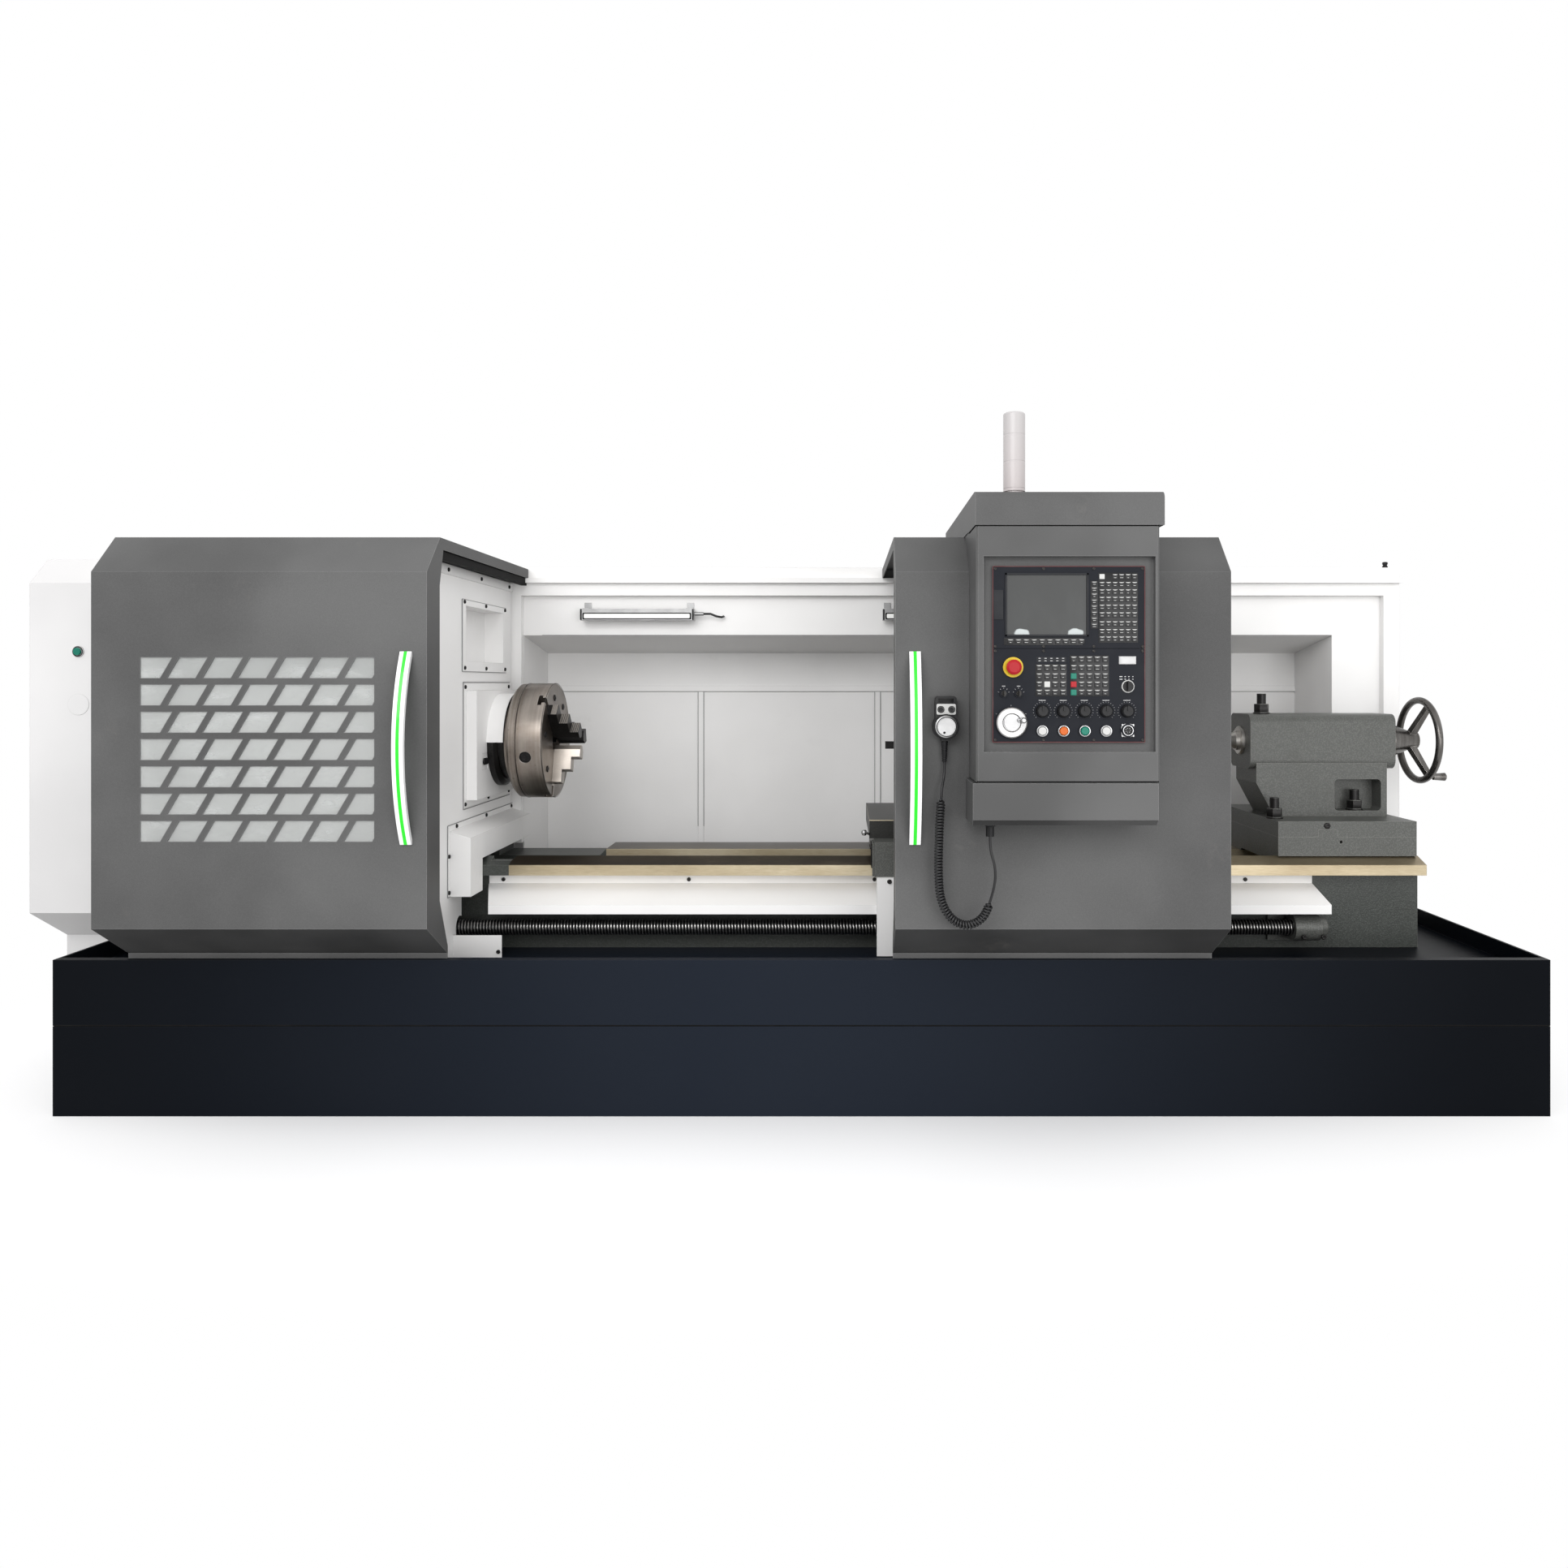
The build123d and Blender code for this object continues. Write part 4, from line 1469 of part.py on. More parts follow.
def status_lamp():
    """Round signal column on the hood."""
    z0 = HOOD_TOP
    radius = LAMP_DIAMETER / 2
    foot = rod_z(radius - 4, z0, z0 + 12, LAMP_X, LAMP_Y)
    tube = rod_z(radius, z0 + 12, z0 + LAMP_HEIGHT, LAMP_X, LAMP_Y)
    tube = fillet(tube.edges().group_by(Axis.Z)[-1], 6)
    return foot + tube


def cover_button():
    """Green push-button on the end cover."""
    front = END_COVER_FRONT
    radius = COVER_BUTTON_RADIUS
    return turned_y([(front + 20, 0), (front + 20, radius), (front - 9, radius), (front - 10, radius - 1),
                     (front - 10, 0)], COVER_BUTTON_X, COVER_BUTTON_Z)


# Hidden drives and cabinet

def main_motor():
    """Ribbed main motor, flanged to the headstock's left face."""
    right = INNER_WALL_X - HEADSTOCK_TO_WALL - HEADSTOCK_LENGTH
    left = right - MAIN_MOTOR_LENGTH
    radius = MAIN_MOTOR_DIAMETER / 2
    rim = radius + MAIN_MOTOR_FLANGE
    z = SPINDLE_Z - SPINDLE_DIAMETER / 2 - MAIN_MOTOR_TO_SPINDLE - rim
    profile = [(left, 0), (left, radius - 20), (left + 40, radius - 20), (left + 40, radius), (right - 20, radius),
               (right - 20, rim), (right, rim), (right, 0)]
    return turned_x(profile, SPINDLE_Y, z)


def feed_motor():
    """Servo motor and bearing block at the leadscrew's left end, on the bed wall."""
    half = FEED_MOTOR_SIZE / 2
    right = SCREW_LEFT + 100
    bore = SCREW_DIAMETER / 2 - 7 + RUNNING_CLEARANCE
    body = block(right - FEED_MOTOR_LENGTH - 100, right, SCREW_Y - half, BED_WALL_FRONT, SCREW_Z - half, SCREW_Z + half)
    return body - rod_x(bore, SCREW_LEFT - SLIDING_CLEARANCE, right + 1, SCREW_Y, SCREW_Z)


def electrical_cabinet():
    """Closed cabinet behind the headstock with a louvred cooler plate."""
    x1 = CABINET_LEFT + CABINET_WIDTH
    back = CABINET_FRONT + CABINET_DEPTH
    wall = GUARD_SHEET
    body = block(CABINET_LEFT, x1, CABINET_FRONT, back, PAN_FLOOR, CABINET_TOP)
    body = body - block(CABINET_LEFT + wall, x1 - wall, CABINET_FRONT + wall, back - 3 * wall, PAN_FLOOR - 1,
                        CABINET_TOP - wall)
    for index in range(8):
        z = CABINET_TOP - 160 - index * 24
        body = body - block(CABINET_LEFT + 120, CABINET_LEFT + 400, back - 6, back + 1, z, z + 10)
    return body


def build():
    """Fill NODES with every named piece."""
    keep("base_plinth", base_plinth())
    keep("chip_tray", chip_tray())
    keep("bed", bed())
    keep("headstock", headstock())
    keep("headstock_cover", headstock_cover())
    keep("spindle_guard", spindle_guard())
    keep("end_cover", end_cover())
    keep("rear_guard", rear_guard())
    lights = [work_light(x) for x in LIGHT_LEFT]
    cables = [work_light_cable(x) for x in LIGHT_LEFT]
    keep("work_lights", *lights, *cables)
    keep("leadscrew_cover", leadscrew_cover())
    keep("leadscrew_bracket", leadscrew_bracket())
    keep("drive_motors", main_motor(), feed_motor())
    keep("electrical_cabinet", electrical_cabinet())
    keep("left_door", left_door())
    keep("left_door_glass", left_door_glass())
    keep("left_door_handle", bow_handle(LEFT_DOOR_X + LEFT_HANDLE_X))
    keep("right_door", door_shell(RIGHT_DOOR_X))
    keep("right_door_handle", bow_handle(RIGHT_DOOR_X + RIGHT_HANDLE_X))
    keep("control_box", control_box(), cord_gland())
    keep("nc_unit", nc_unit())
    keep("screen", screen())
    keep("operator_panel", operator_panel())
    keep("panel_keys", *panel_keys())
    keep("status_lamp", status_lamp())
    keep("pendant", pendant())
    keep("pendant_cord", cord_tube(CORD_DOWN, CORD_DIAMETER / 2), cord_tube(CORD_UP, CORD_DIAMETER / 2))
    keep("pendant_coil", cord_tube(CORD_COIL, COIL_DIAMETER / 2))
    keep("estop_button", estop_button())
    keep("panel_handwheel", panel_handwheel())
    keep("pendant_dial", pendant_dial())
    for index, x in enumerate(BUTTON_X, 1):
        keep(f"push_button_{index}", push_button(x))
    for index, x in enumerate(KNOB_X, 1):
        keep(f"override_knob_{index}", override_knob(x))
    for index, x in enumerate(KEY_SWITCH_X, 1):
        keep(f"key_switch_{index}", key_switch(x))
    keep("mode_selector", mode_selector())
    keep("pendant_knob_1", pendant_knob(-1))
    keep("pendant_knob_2", pendant_knob(1))
    keep("cover_button", cover_button())
    keep("spindle", spindle_shaft())
    keep("chuck_plate", chuck_plate())
    keep("chuck_body", chuck_body())
    for index in range(JAW_COUNT):
        keep(f"chuck_jaw_{index + 1}", chuck_jaw(index))
    keep("leadscrew", leadscrew())
    keep("saddle", saddle())
    keep("apron", apron())
    keep("cross_slide", fuse(cross_slide(), tool_post_base()))
    keep("tool_post", tool_post())
    keep("tailstock_base", tailstock_base())
    keep("tailstock_body", tailstock_body())
    keep("quill", quill())
    keep("tail_handwheel", tail_handwheel())


def write():
    """Write one STEP file for each node."""
    os.makedirs("parts", exist_ok=True)
    for name, solids in NODES.items():
        pieces = [piece for shape in solids for piece in shape.solids()]
        shape = pieces[0] if len(pieces) == 1 else Compound(children=pieces)
        export_step(shape, f"parts/{name}.step")
        print(name, len(pieces))


build()
write()
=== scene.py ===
"""Looks of a flat-bed turning lathe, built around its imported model.

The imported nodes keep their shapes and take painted, cast, ground and moulded finishes.
Curly cord, screw thread, key caps, scales, screws and lamp parts are new pieces.
Finishes, camera and lights are in metres, shapes in millimetres.
"""
import logging
import math
from dataclasses import dataclass, field
from enum import Enum
from typing import Any, Callable, Iterable, Optional, Sequence, Union

import bpy
import numpy as np
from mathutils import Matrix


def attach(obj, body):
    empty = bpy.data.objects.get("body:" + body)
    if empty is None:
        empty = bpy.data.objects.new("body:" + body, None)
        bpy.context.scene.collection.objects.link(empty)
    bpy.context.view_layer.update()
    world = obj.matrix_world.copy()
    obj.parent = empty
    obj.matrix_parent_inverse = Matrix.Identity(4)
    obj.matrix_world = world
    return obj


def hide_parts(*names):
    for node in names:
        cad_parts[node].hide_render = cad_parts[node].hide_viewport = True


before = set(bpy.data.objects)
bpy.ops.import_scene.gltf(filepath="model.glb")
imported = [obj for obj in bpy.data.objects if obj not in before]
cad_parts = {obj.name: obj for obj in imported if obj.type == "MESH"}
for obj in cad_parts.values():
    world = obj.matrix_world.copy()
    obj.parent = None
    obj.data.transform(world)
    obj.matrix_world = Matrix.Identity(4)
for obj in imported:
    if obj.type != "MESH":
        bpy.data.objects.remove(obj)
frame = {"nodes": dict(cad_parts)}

Colour = tuple[float, float, float]
Point = tuple[float, float, float]
LOG = logging.getLogger("lathe")
MM = 0.001
SPINDLE_Y, SPINDLE_Z = 118.0, 1082.0
NO_RADIUS = 0.01
BLACK: Colour = (0.0, 0.0, 0.0)
WHITE: Colour = (1.0, 1.0, 1.0)
# Painted shade for the edges and creases of white paint.
EDGE_SHADE: Colour = (0.36, 0.36, 0.36)
VIEW_RAYS = ("Is Camera Ray", "Is Glossy Ray", "Is Transmission Ray")


def rgb(red: float, green: float, blue: float) -> Colour:
    """Linear colour of three screen values from 0 to 255.

    Args:
        red: red part.
        green: green part.
        blue: blue part.

    Returns:
        Three linear parts from 0 to 1.
    """
    parts = np.array([red, green, blue]) / 255.0
    linear = np.where(parts <= 0.04045, parts / 12.92, ((parts + 0.055) / 1.055) ** 2.4)
    return tuple(float(v) for v in linear)


def times(colour: Colour, factor: float) -> Colour:
    """The colour with each part times the factor."""
    return tuple(v * factor for v in colour)


# Shader expressions

def operator(operation: str, swapped: bool = False) -> Callable[["Wire", Any], "Wire"]:
    """An operator of Wire: one Math node of the operation, with its two values swapped if asked."""
    def method(self: "Wire", other: Any) -> "Wire":
        """The node's result."""
        return self.math(operation, *((other, self) if swapped else (self, other)))
    return method


class Wire:
    """A link in a finish's node tree; arithmetic on it adds Math nodes, and < and > give one or zero."""

    def __init__(self, paint: "Paint", socket: bpy.types.NodeSocket) -> None:
        """Keeps the tree and the socket that this value comes from."""
        self.paint = paint
        self.socket = socket

    def math(self, operation: str, *values: Any, clamp: bool = False) -> "Wire":
        """Adds one Math node with these values, which may be wires or numbers."""
        return self.paint.node("ShaderNodeMath", {"operation": operation, "use_clamp": clamp}, dict(enumerate(values)))

    __add__, __radd__ = operator("ADD"), operator("ADD", True)
    __sub__, __rsub__ = operator("SUBTRACT"), operator("SUBTRACT", True)
    __mul__, __rmul__ = operator("MULTIPLY"), operator("MULTIPLY", True)
    __truediv__, __pow__ = operator("DIVIDE"), operator("POWER")
    __gt__, __lt__ = operator("GREATER_THAN"), operator("LESS_THAN")

    def __abs__(self) -> "Wire":
        """Size without sign."""
        return self.math("ABSOLUTE", self)

    def sine(self) -> "Wire":
        """Sine."""
        return self.math("SINE", self)

    def root(self) -> "Wire":
        """Square root."""
        return self.math("SQRT", self)

    def smooth(self, low: float, high: float) -> "Wire":
        """A soft step from 0 at low to 1 at high."""
        return self.paint.node("ShaderNodeMapRange", {"interpolation_type": "SMOOTHSTEP", "clamp": True},
                               {"Value": self, "From Min": low, "From Max": high})

    def clamped(self) -> "Wire":
        """The value kept from 0 to 1."""
        return self.math("ADD", self, 0.0, clamp=True)


class Paint:
    """One material whose node tree is written through expressions."""

    def __init__(self, name: str) -> None:
        """Starts a material with a Principled shader and its output."""
        self.material = bpy.data.materials.new(name)
        self.material.use_nodes = True
        self.tree = self.material.node_tree
        self.tree.nodes.clear()
        self.shader = self.tree.nodes.new("ShaderNodeBsdfPrincipled")
        self.output = self.tree.nodes.new("ShaderNodeOutputMaterial")
        self.tree.links.new(self.shader.outputs[0], self.output.inputs[0])
        self.place = self.node("ShaderNodeTexCoord", out="Object")

    def node(self, kind: str, settings: Optional[dict[str, Any]] = None,
             values: Optional[dict[Union[int, str], Any]] = None, out: Union[int, str] = 0) -> Wire:
        """Adds a node, sets its settings first and then its sockets.

        Args:
            kind: Blender's node type.
            settings: the node's own settings; "stops" are a ramp's places and colours.
            values: numbers, colours or wires for sockets, by name or index.
            out: the output that the returned wire comes from.

        Returns:
            A wire from that output.
        """
        made = self.tree.nodes.new(kind)
        for name, value in (settings or {}).items():
            if name == "stops":
                ramp = made.color_ramp
                while len(ramp.elements) < len(value):
                    ramp.elements.new(0.5)
                for element, (at, colour) in zip(ramp.elements, value):
                    element.position = at
                    element.color = (*colour, 1.0)
            else:
                setattr(made, name, value)
        for key, value in (values or {}).items():
            self.put(made.inputs[key], value)
        return Wire(self, made.outputs[out])

    def put(self, socket: bpy.types.NodeSocket, value: Any) -> None:
        """Links a wire to the socket, or writes a number or colour on it."""
        if isinstance(value, Wire):
            self.tree.links.new(value.socket, socket)
        elif socket.type == "RGBA" and len(value) == 3:
            socket.default_value = (*value, 1.0)
        else:
            socket.default_value = value

    def look(self, **sockets: Any) -> None:
        """Sets the shader's sockets; an underscore in a name stands for a space."""
        for name, value in sockets.items():
            self.put(self.shader.inputs[name.replace("_", " ")], value)

    def parts(self, vector: Wire) -> tuple[Wire, ...]:
        """The three parts of a vector as wires."""
        split = self.node("ShaderNodeSeparateXYZ", values={0: vector})
        return tuple(Wire(self, out) for out in split.socket.node.outputs)

    def axes(self) -> tuple[Wire, ...]:
        """The three Object coordinates."""
        return self.parts(self.place)

    def normal(self) -> tuple[Wire, ...]:
        """The three parts of the surface's direction."""
        return self.parts(self.node("ShaderNodeNewGeometry", out="Normal"))

    def noise(self, scale: float, detail: float = 2.0, stretch: Optional[Point] = None) -> Wire:
        """Smooth noise of the given scale in features per metre, on coordinates times three factors if given."""
        place = self.place
        if stretch:
            place = self.node("ShaderNodeVectorMath", {"operation": "MULTIPLY"}, {0: place, 1: stretch})
        return self.node("ShaderNodeTexNoise", values={"Vector": place, "Scale": scale, "Detail": detail})

    def cells(self, scale: float, smoothness: float) -> Wire:
        """Distance to the nearest cell centre, with rounded borders."""
        return self.node("ShaderNodeTexVoronoi", {"feature": "SMOOTH_F1"},
                         {"Vector": self.place, "Scale": scale, "Smoothness": smoothness})

    def mix(self, factor: Any, first: Any, second: Any) -> Wire:
        """Colour mix from first to second."""
        return self.node("ShaderNodeMix", {"data_type": "RGBA"}, {0: factor, 6: first, 7: second}, out=2)

    def ramp(self, value: Wire, *stops: tuple[float, Colour]) -> Wire:
        """Colour of a value between stops."""
        return self.node("ShaderNodeValToRGB", {"stops": stops}, {0: value})

    def softened(self, radius: float) -> Wire:
        """The surface's direction with edges rounded by the radius."""
        return self.node("ShaderNodeBevel", {"samples": 4}, {"Radius": radius})

    def bumped(self, height: Wire, depth: float, round_edge: float = 0.0012) -> None:
        """Raises the surface by height times depth metres, with edges softened by a bevelled normal."""
        self.look(Normal=self.node("ShaderNodeBump", values={"Strength": 1.0, "Distance": depth, "Height": height,
                                                             "Normal": self.softened(round_edge)}))

    def edges(self, radius: float = 0.003) -> Wire:
        """A mask that is high on convex and concave edges: one minus the dot of bevelled and true normals."""
        true = self.node("ShaderNodeNewGeometry", out="True Normal")
        dot = self.node("ShaderNodeVectorMath", {"operation": "DOT_PRODUCT"}, {0: self.softened(radius), 1: true},
                        out="Value")
        return (1.0 - dot).smooth(0.02, 0.22)

    def on_view(self) -> Wire:
        """One on camera, mirror and glass rays, zero on the rays that light the machine."""
        outs = self.node("ShaderNodeLightPath").socket.node.outputs
        camera, mirror, glass = (Wire(self, outs[kind]) for kind in VIEW_RAYS)
        return (camera + mirror + glass).clamped()


# Finishes

@dataclass(frozen=True)
class Finish:
    """A look that is made into the material of its name."""

    name: str

    def make(self) -> bpy.types.Material:
        """Builds the material.

        Returns:
            The finished material.
        """
        paint = Paint(self.name)
        self.write(paint)
        return paint.material

    def write(self, paint: Paint) -> None:
        """Writes the look on the paint's shader."""
        raise NotImplementedError


@dataclass(frozen=True)
class SprayedPaint(Finish):
    """Sheet metal sprayed with textured paint: fine peel, slow drift of tone, and painted light on its edges: a
    highlight by default, shade along edges and creases where the edge colour is dark.
    """

    colour: Colour
    roughness: float = 0.48
    peel_scale: float = 620.0
    peel_depth: float = 0.00016
    drift: float = 0.07
    # Strength of the painted edge light.
    painted_edge_amount: float = 0.22
    smudge: Colour = (0.30, 0.27, 0.24)
    smudges: float = 0.10
    shine: float = 0.22
    grain: float = 0.02
    # Colour of the painted edge light: a light colour paints a highlight, a dark one paints shade.
    painted_edge_colour: Colour = (0.75, 0.75, 0.75)
    # Painted shade on faces turned to the right and on faces turned down.
    side_shade: float = 0.0
    under_shade: float = 0.0

    def tone(self, paint: Paint) -> Any:
        """The paint's colour before drift and marks, with painted shade where the sheet faces right and where it faces
        down.
        """
        if not self.side_shade:
            return self.colour
        # Painted shade: darker on faces turned right and on faces turned down.
        across, _, upward = paint.normal()
        shade = across.smooth(0.5, 0.95) * self.side_shade + (0.0 - upward).smooth(0.2, 0.7) * self.under_shade
        return paint.mix(shade.clamped(), self.colour, times(self.colour, 0.12))

    def write(self, paint: Paint) -> None:
        """Writes drift, smudges, grain and the painted edge highlight and shade over the tone."""
        slow = paint.noise(1.7, 3.0)
        fine = paint.noise(self.peel_scale, 3.0)
        base = self.tone(paint)
        dark, light = (paint.mix(self.drift, base, end) for end in (BLACK, WHITE))
        drifted = paint.mix(slow.smooth(0.3, 0.7), dark, light)
        marks = (paint.noise(5.0, 8.0).smooth(0.60, 0.78) * paint.noise(38.0, 4.0).smooth(0.45, 0.7)) * self.smudges
        marked = paint.mix(marks, drifted, self.smudge)
        grainy = paint.mix(fine.smooth(0.35, 0.75) * self.grain, marked, WHITE)
        # Painted light: edges and creases take the edge colour, a highlight when light, shade when dark.
        paint.look(Base_Color=paint.mix(paint.edges() * self.painted_edge_amount, grainy, self.painted_edge_colour),
                   Roughness=(self.roughness + (slow - 0.5) * 0.12 + (fine - 0.5) * 0.10).clamped(),
                   Specular_IOR_Level=self.shine)
        paint.bumped(fine, self.peel_depth)


@dataclass(frozen=True)
class SkirtPaintWithReflection(SprayedPaint):
    """Deep navy gloss of the base, with a painted reflection that makes it lighter towards the middle of its length as
    in the photograph.
    """

    # Colour of the painted reflection at the middle of the base's length.
    middle: Colour = (0.0118, 0.0155, 0.0235)
    centre: float = 0.05
    reach: float = 2.3

    def tone(self, paint: Paint) -> Wire:
        """Painted reflection: colour that rises from the ends to the middle along X."""
        rise = 1.0 - abs(paint.axes()[0] - self.centre) / self.reach
        return paint.mix(rise.smooth(0.0, 1.0), self.colour, self.middle)


@dataclass(frozen=True)
class HammerPaint(Finish):
    """Grey-green hammer finish on castings, ground between two heights and from one X in front, another behind."""

    colour: Colour
    ground_above: Optional[float] = None
    ground_from: float = -9.0
    rear_from: float = -9.0
    ground_below: float = 9.0
    rear_side: float = 0.2

    def write(self, paint: Paint) -> None:
        """Writes the hammer paint, and ground metal with a painted reflection over it where asked."""
        x, y, z = paint.axes()
        cell = paint.cells(230.0, 0.8)
        fine = paint.noise(900.0)
        slow = paint.noise(2.3, 4.0)
        painted = paint.mix(cell.smooth(0.05, 0.6), times(self.colour, 1.22), times(self.colour, 0.72))
        painted = paint.mix(slow.smooth(0.3, 0.75) * 0.3, painted, times(self.colour, 0.6))
        painted = paint.mix(paint.noise(9.0, 6.0).smooth(0.55, 0.8) * 0.35, painted, (0.05, 0.05, 0.042))
        painted = paint.mix(paint.edges(0.002) * 0.35, painted, (0.5, 0.5, 0.46))
        height = cell * 0.8 + fine * 0.2
        rough = 0.42 + (fine - 0.5) * 0.2
        if self.ground_above is None:
            paint.look(Base_Color=painted, Roughness=rough, Metallic=0.15)
            paint.bumped(height, 0.0005)
            return
        rear = y > self.rear_side
        start = rear * self.rear_from + (1.0 - rear) * self.ground_from
        ground = ((z > self.ground_above) * (x > start) * (z < self.ground_below)).clamped()
        streak = paint.noise(60.0, 5.0, (0.6, 9.0, 9.0))
        lines = paint.noise(1500.0, 2.0, (0.02, 1.0, 1.0))
        stain = paint.noise(3.2, 6.0, (0.7, 2.0, 2.0))
        blend = streak * 0.25 + stain * 0.75
        # Painted reflection on ground faces: faces turned up are shaded brown, the others lit gold; the brown weakens
        # past X 1.0 m.
        lit_gold = paint.ramp(blend, (0.25, rgb(150, 134, 108)), (0.5, rgb(188, 174, 146)), (0.75, rgb(224, 214, 190)))
        brown = paint.ramp(blend, (0.25, rgb(46, 40, 33)), (0.5, rgb(68, 60, 50)), (0.8, rgb(124, 112, 94)))
        steel = paint.mix(paint.normal()[2].smooth(0.25, 0.8) * (1.0 - x.smooth(1.0, 1.45) * 0.75), lit_gold, brown)
        paint.look(Base_Color=paint.mix(ground, painted, steel), Metallic=0.15 + ground * 0.7,
                   Roughness=rough * (1.0 - ground) + ground * (0.26 + stain * 0.22))
        paint.bumped(height * (1.0 - ground) + lines * ground * 0.06, 0.0005)


@dataclass(frozen=True)
class TurnedSteel(Finish):
    """Steel turned or ground about an axis along X: fine rings, brown oxide clouds, bright edges, painted reflection
    bands and painted shade on the sides turned away from the operator.
    """

    pale: Colour
    dark: Colour
    centre: tuple[float, float] = (SPINDLE_Y * MM, SPINDLE_Z * MM)
    roughness: float = 0.30
    ring_depth: float = 0.00006
    cloud: float = 0.6

    def write(self, paint: Paint) -> None:
        """Writes rings about the axis, clouds, painted reflection bands and painted shade on the sides turned away from
        the operator.
        """
        x, y, z = paint.axes()
        radius = ((y - self.centre[0]) ** 2.0 + (z - self.centre[1]) ** 2.0).root()
        rings = paint.node("ShaderNodeTexNoise", {"noise_dimensions": "2D"},
                           {"Vector": paint.node("ShaderNodeCombineXYZ", values={0: x * 900.0, 1: radius * 900.0}),
                            "Scale": 1.0, "Detail": 3.0})
        cloud = paint.noise(7.0, 6.0).smooth(0.35, 0.72)
        # Painted reflection: dark bands along X.
        band = paint.node("ShaderNodeTexNoise", {"noise_dimensions": "1D"}, {"W": x, "Scale": 34.0, "Detail": 4.0})
        tone = paint.mix((cloud * self.cloud + rings * (1.0 - self.cloud)).clamped(), self.pale, self.dark)
        tone = paint.mix(band.smooth(0.38, 0.66) * 0.45, tone, self.dark)
        # Painted shade: faces turned away from the operator, up, down and to the right are darkened; the second mask
        # adds dark spots.
        across, facing, upward = paint.normal()
        away = ((1.0 - (0.0 - facing).smooth(-0.1, 0.85)) * 0.5 + abs(upward).smooth(0.55, 1.0) * 0.25
                + across.smooth(0.6, 0.95) * 0.25)
        for mask in (away.clamped(), paint.noise(85.0, 5.0).smooth(0.62, 0.76) * 0.4):
            tone = paint.mix(mask, tone, times(self.dark, 0.35))
        paint.look(Base_Color=paint.mix(paint.edges(0.0025) * 0.7, tone, (0.86, 0.83, 0.78)), Metallic=0.92,
                   Roughness=(self.roughness + rings * 0.16 + cloud * 0.1 - 0.08).clamped())
        paint.bumped(rings, self.ring_depth, 0.0015)


@dataclass(frozen=True)
class MachinedMetal(Finish):
    """Plain machined or blacked steel: cross-hatched fine scratches, prints and worn edges."""

    colour: Colour
    worn: Colour
    metallic: float = 0.95
    roughness: float = 0.30
    wear: float = 0.55
    along: Point = (0.05, 1.0, 1.0)

    def write(self, paint: Paint) -> None:
        """Writes prints, scratches and worn edges."""
        scratch = paint.noise(1300.0, 2.0, self.along)
        prints = paint.noise(14.0, 5.0)
        tone = paint.mix(prints.smooth(0.35, 0.75) * 0.45, self.colour, times(self.colour, 0.55))
        tone = paint.mix(scratch.smooth(0.55, 0.8) * 0.25, tone, self.worn)
        paint.look(Base_Color=paint.mix(paint.edges(0.0018) * self.wear, tone, self.worn), Metallic=self.metallic,
                   Roughness=(self.roughness + prints * 0.16 + scratch * 0.10 - 0.08).clamped())
        paint.bumped(scratch, 0.00004, 0.0009)


@dataclass(frozen=True)
class Moulding(Finish):
    """Moulded plastic or enamel with a fine spark texture and small gloss changes."""

    colour: Colour
    roughness: float = 0.35
    dust: float = 0.12
    shine: float = 0.5
    glow: float = 0.0

    def write(self, paint: Paint) -> None:
        """Writes dust, lighter edges and the spark texture, and a glow where asked."""
        spark = paint.noise(1700.0)
        cloud = paint.noise(11.0, 5.0)
        tone = paint.mix(cloud.smooth(0.45, 0.8) * self.dust, self.colour, (0.45, 0.44, 0.42))
        tone = paint.mix(paint.edges(0.0008) * 0.2, tone, tuple(min(1.0, v * 1.5 + 0.06) for v in self.colour))
        paint.look(Base_Color=tone, Roughness=(self.roughness + (spark - 0.5) * 0.12 + (cloud - 0.5) * 0.1).clamped(),
                   Specular_IOR_Level=self.shine)
        if self.glow:
            paint.look(Emission_Color=self.colour, Emission_Strength=self.glow)
        paint.bumped(spark, 0.00004, 0.0006)


@dataclass(frozen=True)
class StripedGrip(Finish):
    """White lacquered bow handle with a bright green line down its middle."""

    middle: float
    half_line: float = 0.0048
    green: Colour = (0.004, 0.72, 0.006)
    white: Colour = (0.86, 0.86, 0.86)

    def write(self, paint: Paint) -> None:
        """Writes the flutes and the line."""
        off = abs(paint.axes()[0] - self.middle)
        line = off < self.half_line
        cloud = paint.noise(16.0, 4.0)
        tone = paint.mix(cloud.smooth(0.5, 0.85) * 0.12, self.white, (0.5, 0.5, 0.5))
        paint.look(Base_Color=paint.mix(line, tone, self.green), Roughness=0.26 + cloud * 0.14, Coat_Weight=0.4,
                   Coat_Roughness=0.1)
        paint.bumped(((off * 900.0).sine() * 0.5 + 0.5) * (1.0 - line), 0.00025, 0.001)


@dataclass(frozen=True)
class PaneGlass(Finish):
    """Thin guard pane: mostly see-through, with faint smears and a cool tint."""

    tint: Colour = (0.58, 0.60, 0.59)
    alpha: float = 0.30

    def write(self, paint: Paint) -> None:
        """Writes the smears."""
        smear = paint.noise(6.0, 6.0, (1.0, 1.0, 2.5)).smooth(0.45, 0.75)
        paint.look(Base_Color=self.tint, Roughness=0.12 + smear * 0.18, Alpha=self.alpha + smear * 0.16,
                   Specular_IOR_Level=0.6, Coat_Weight=0.5, Coat_Roughness=0.04)


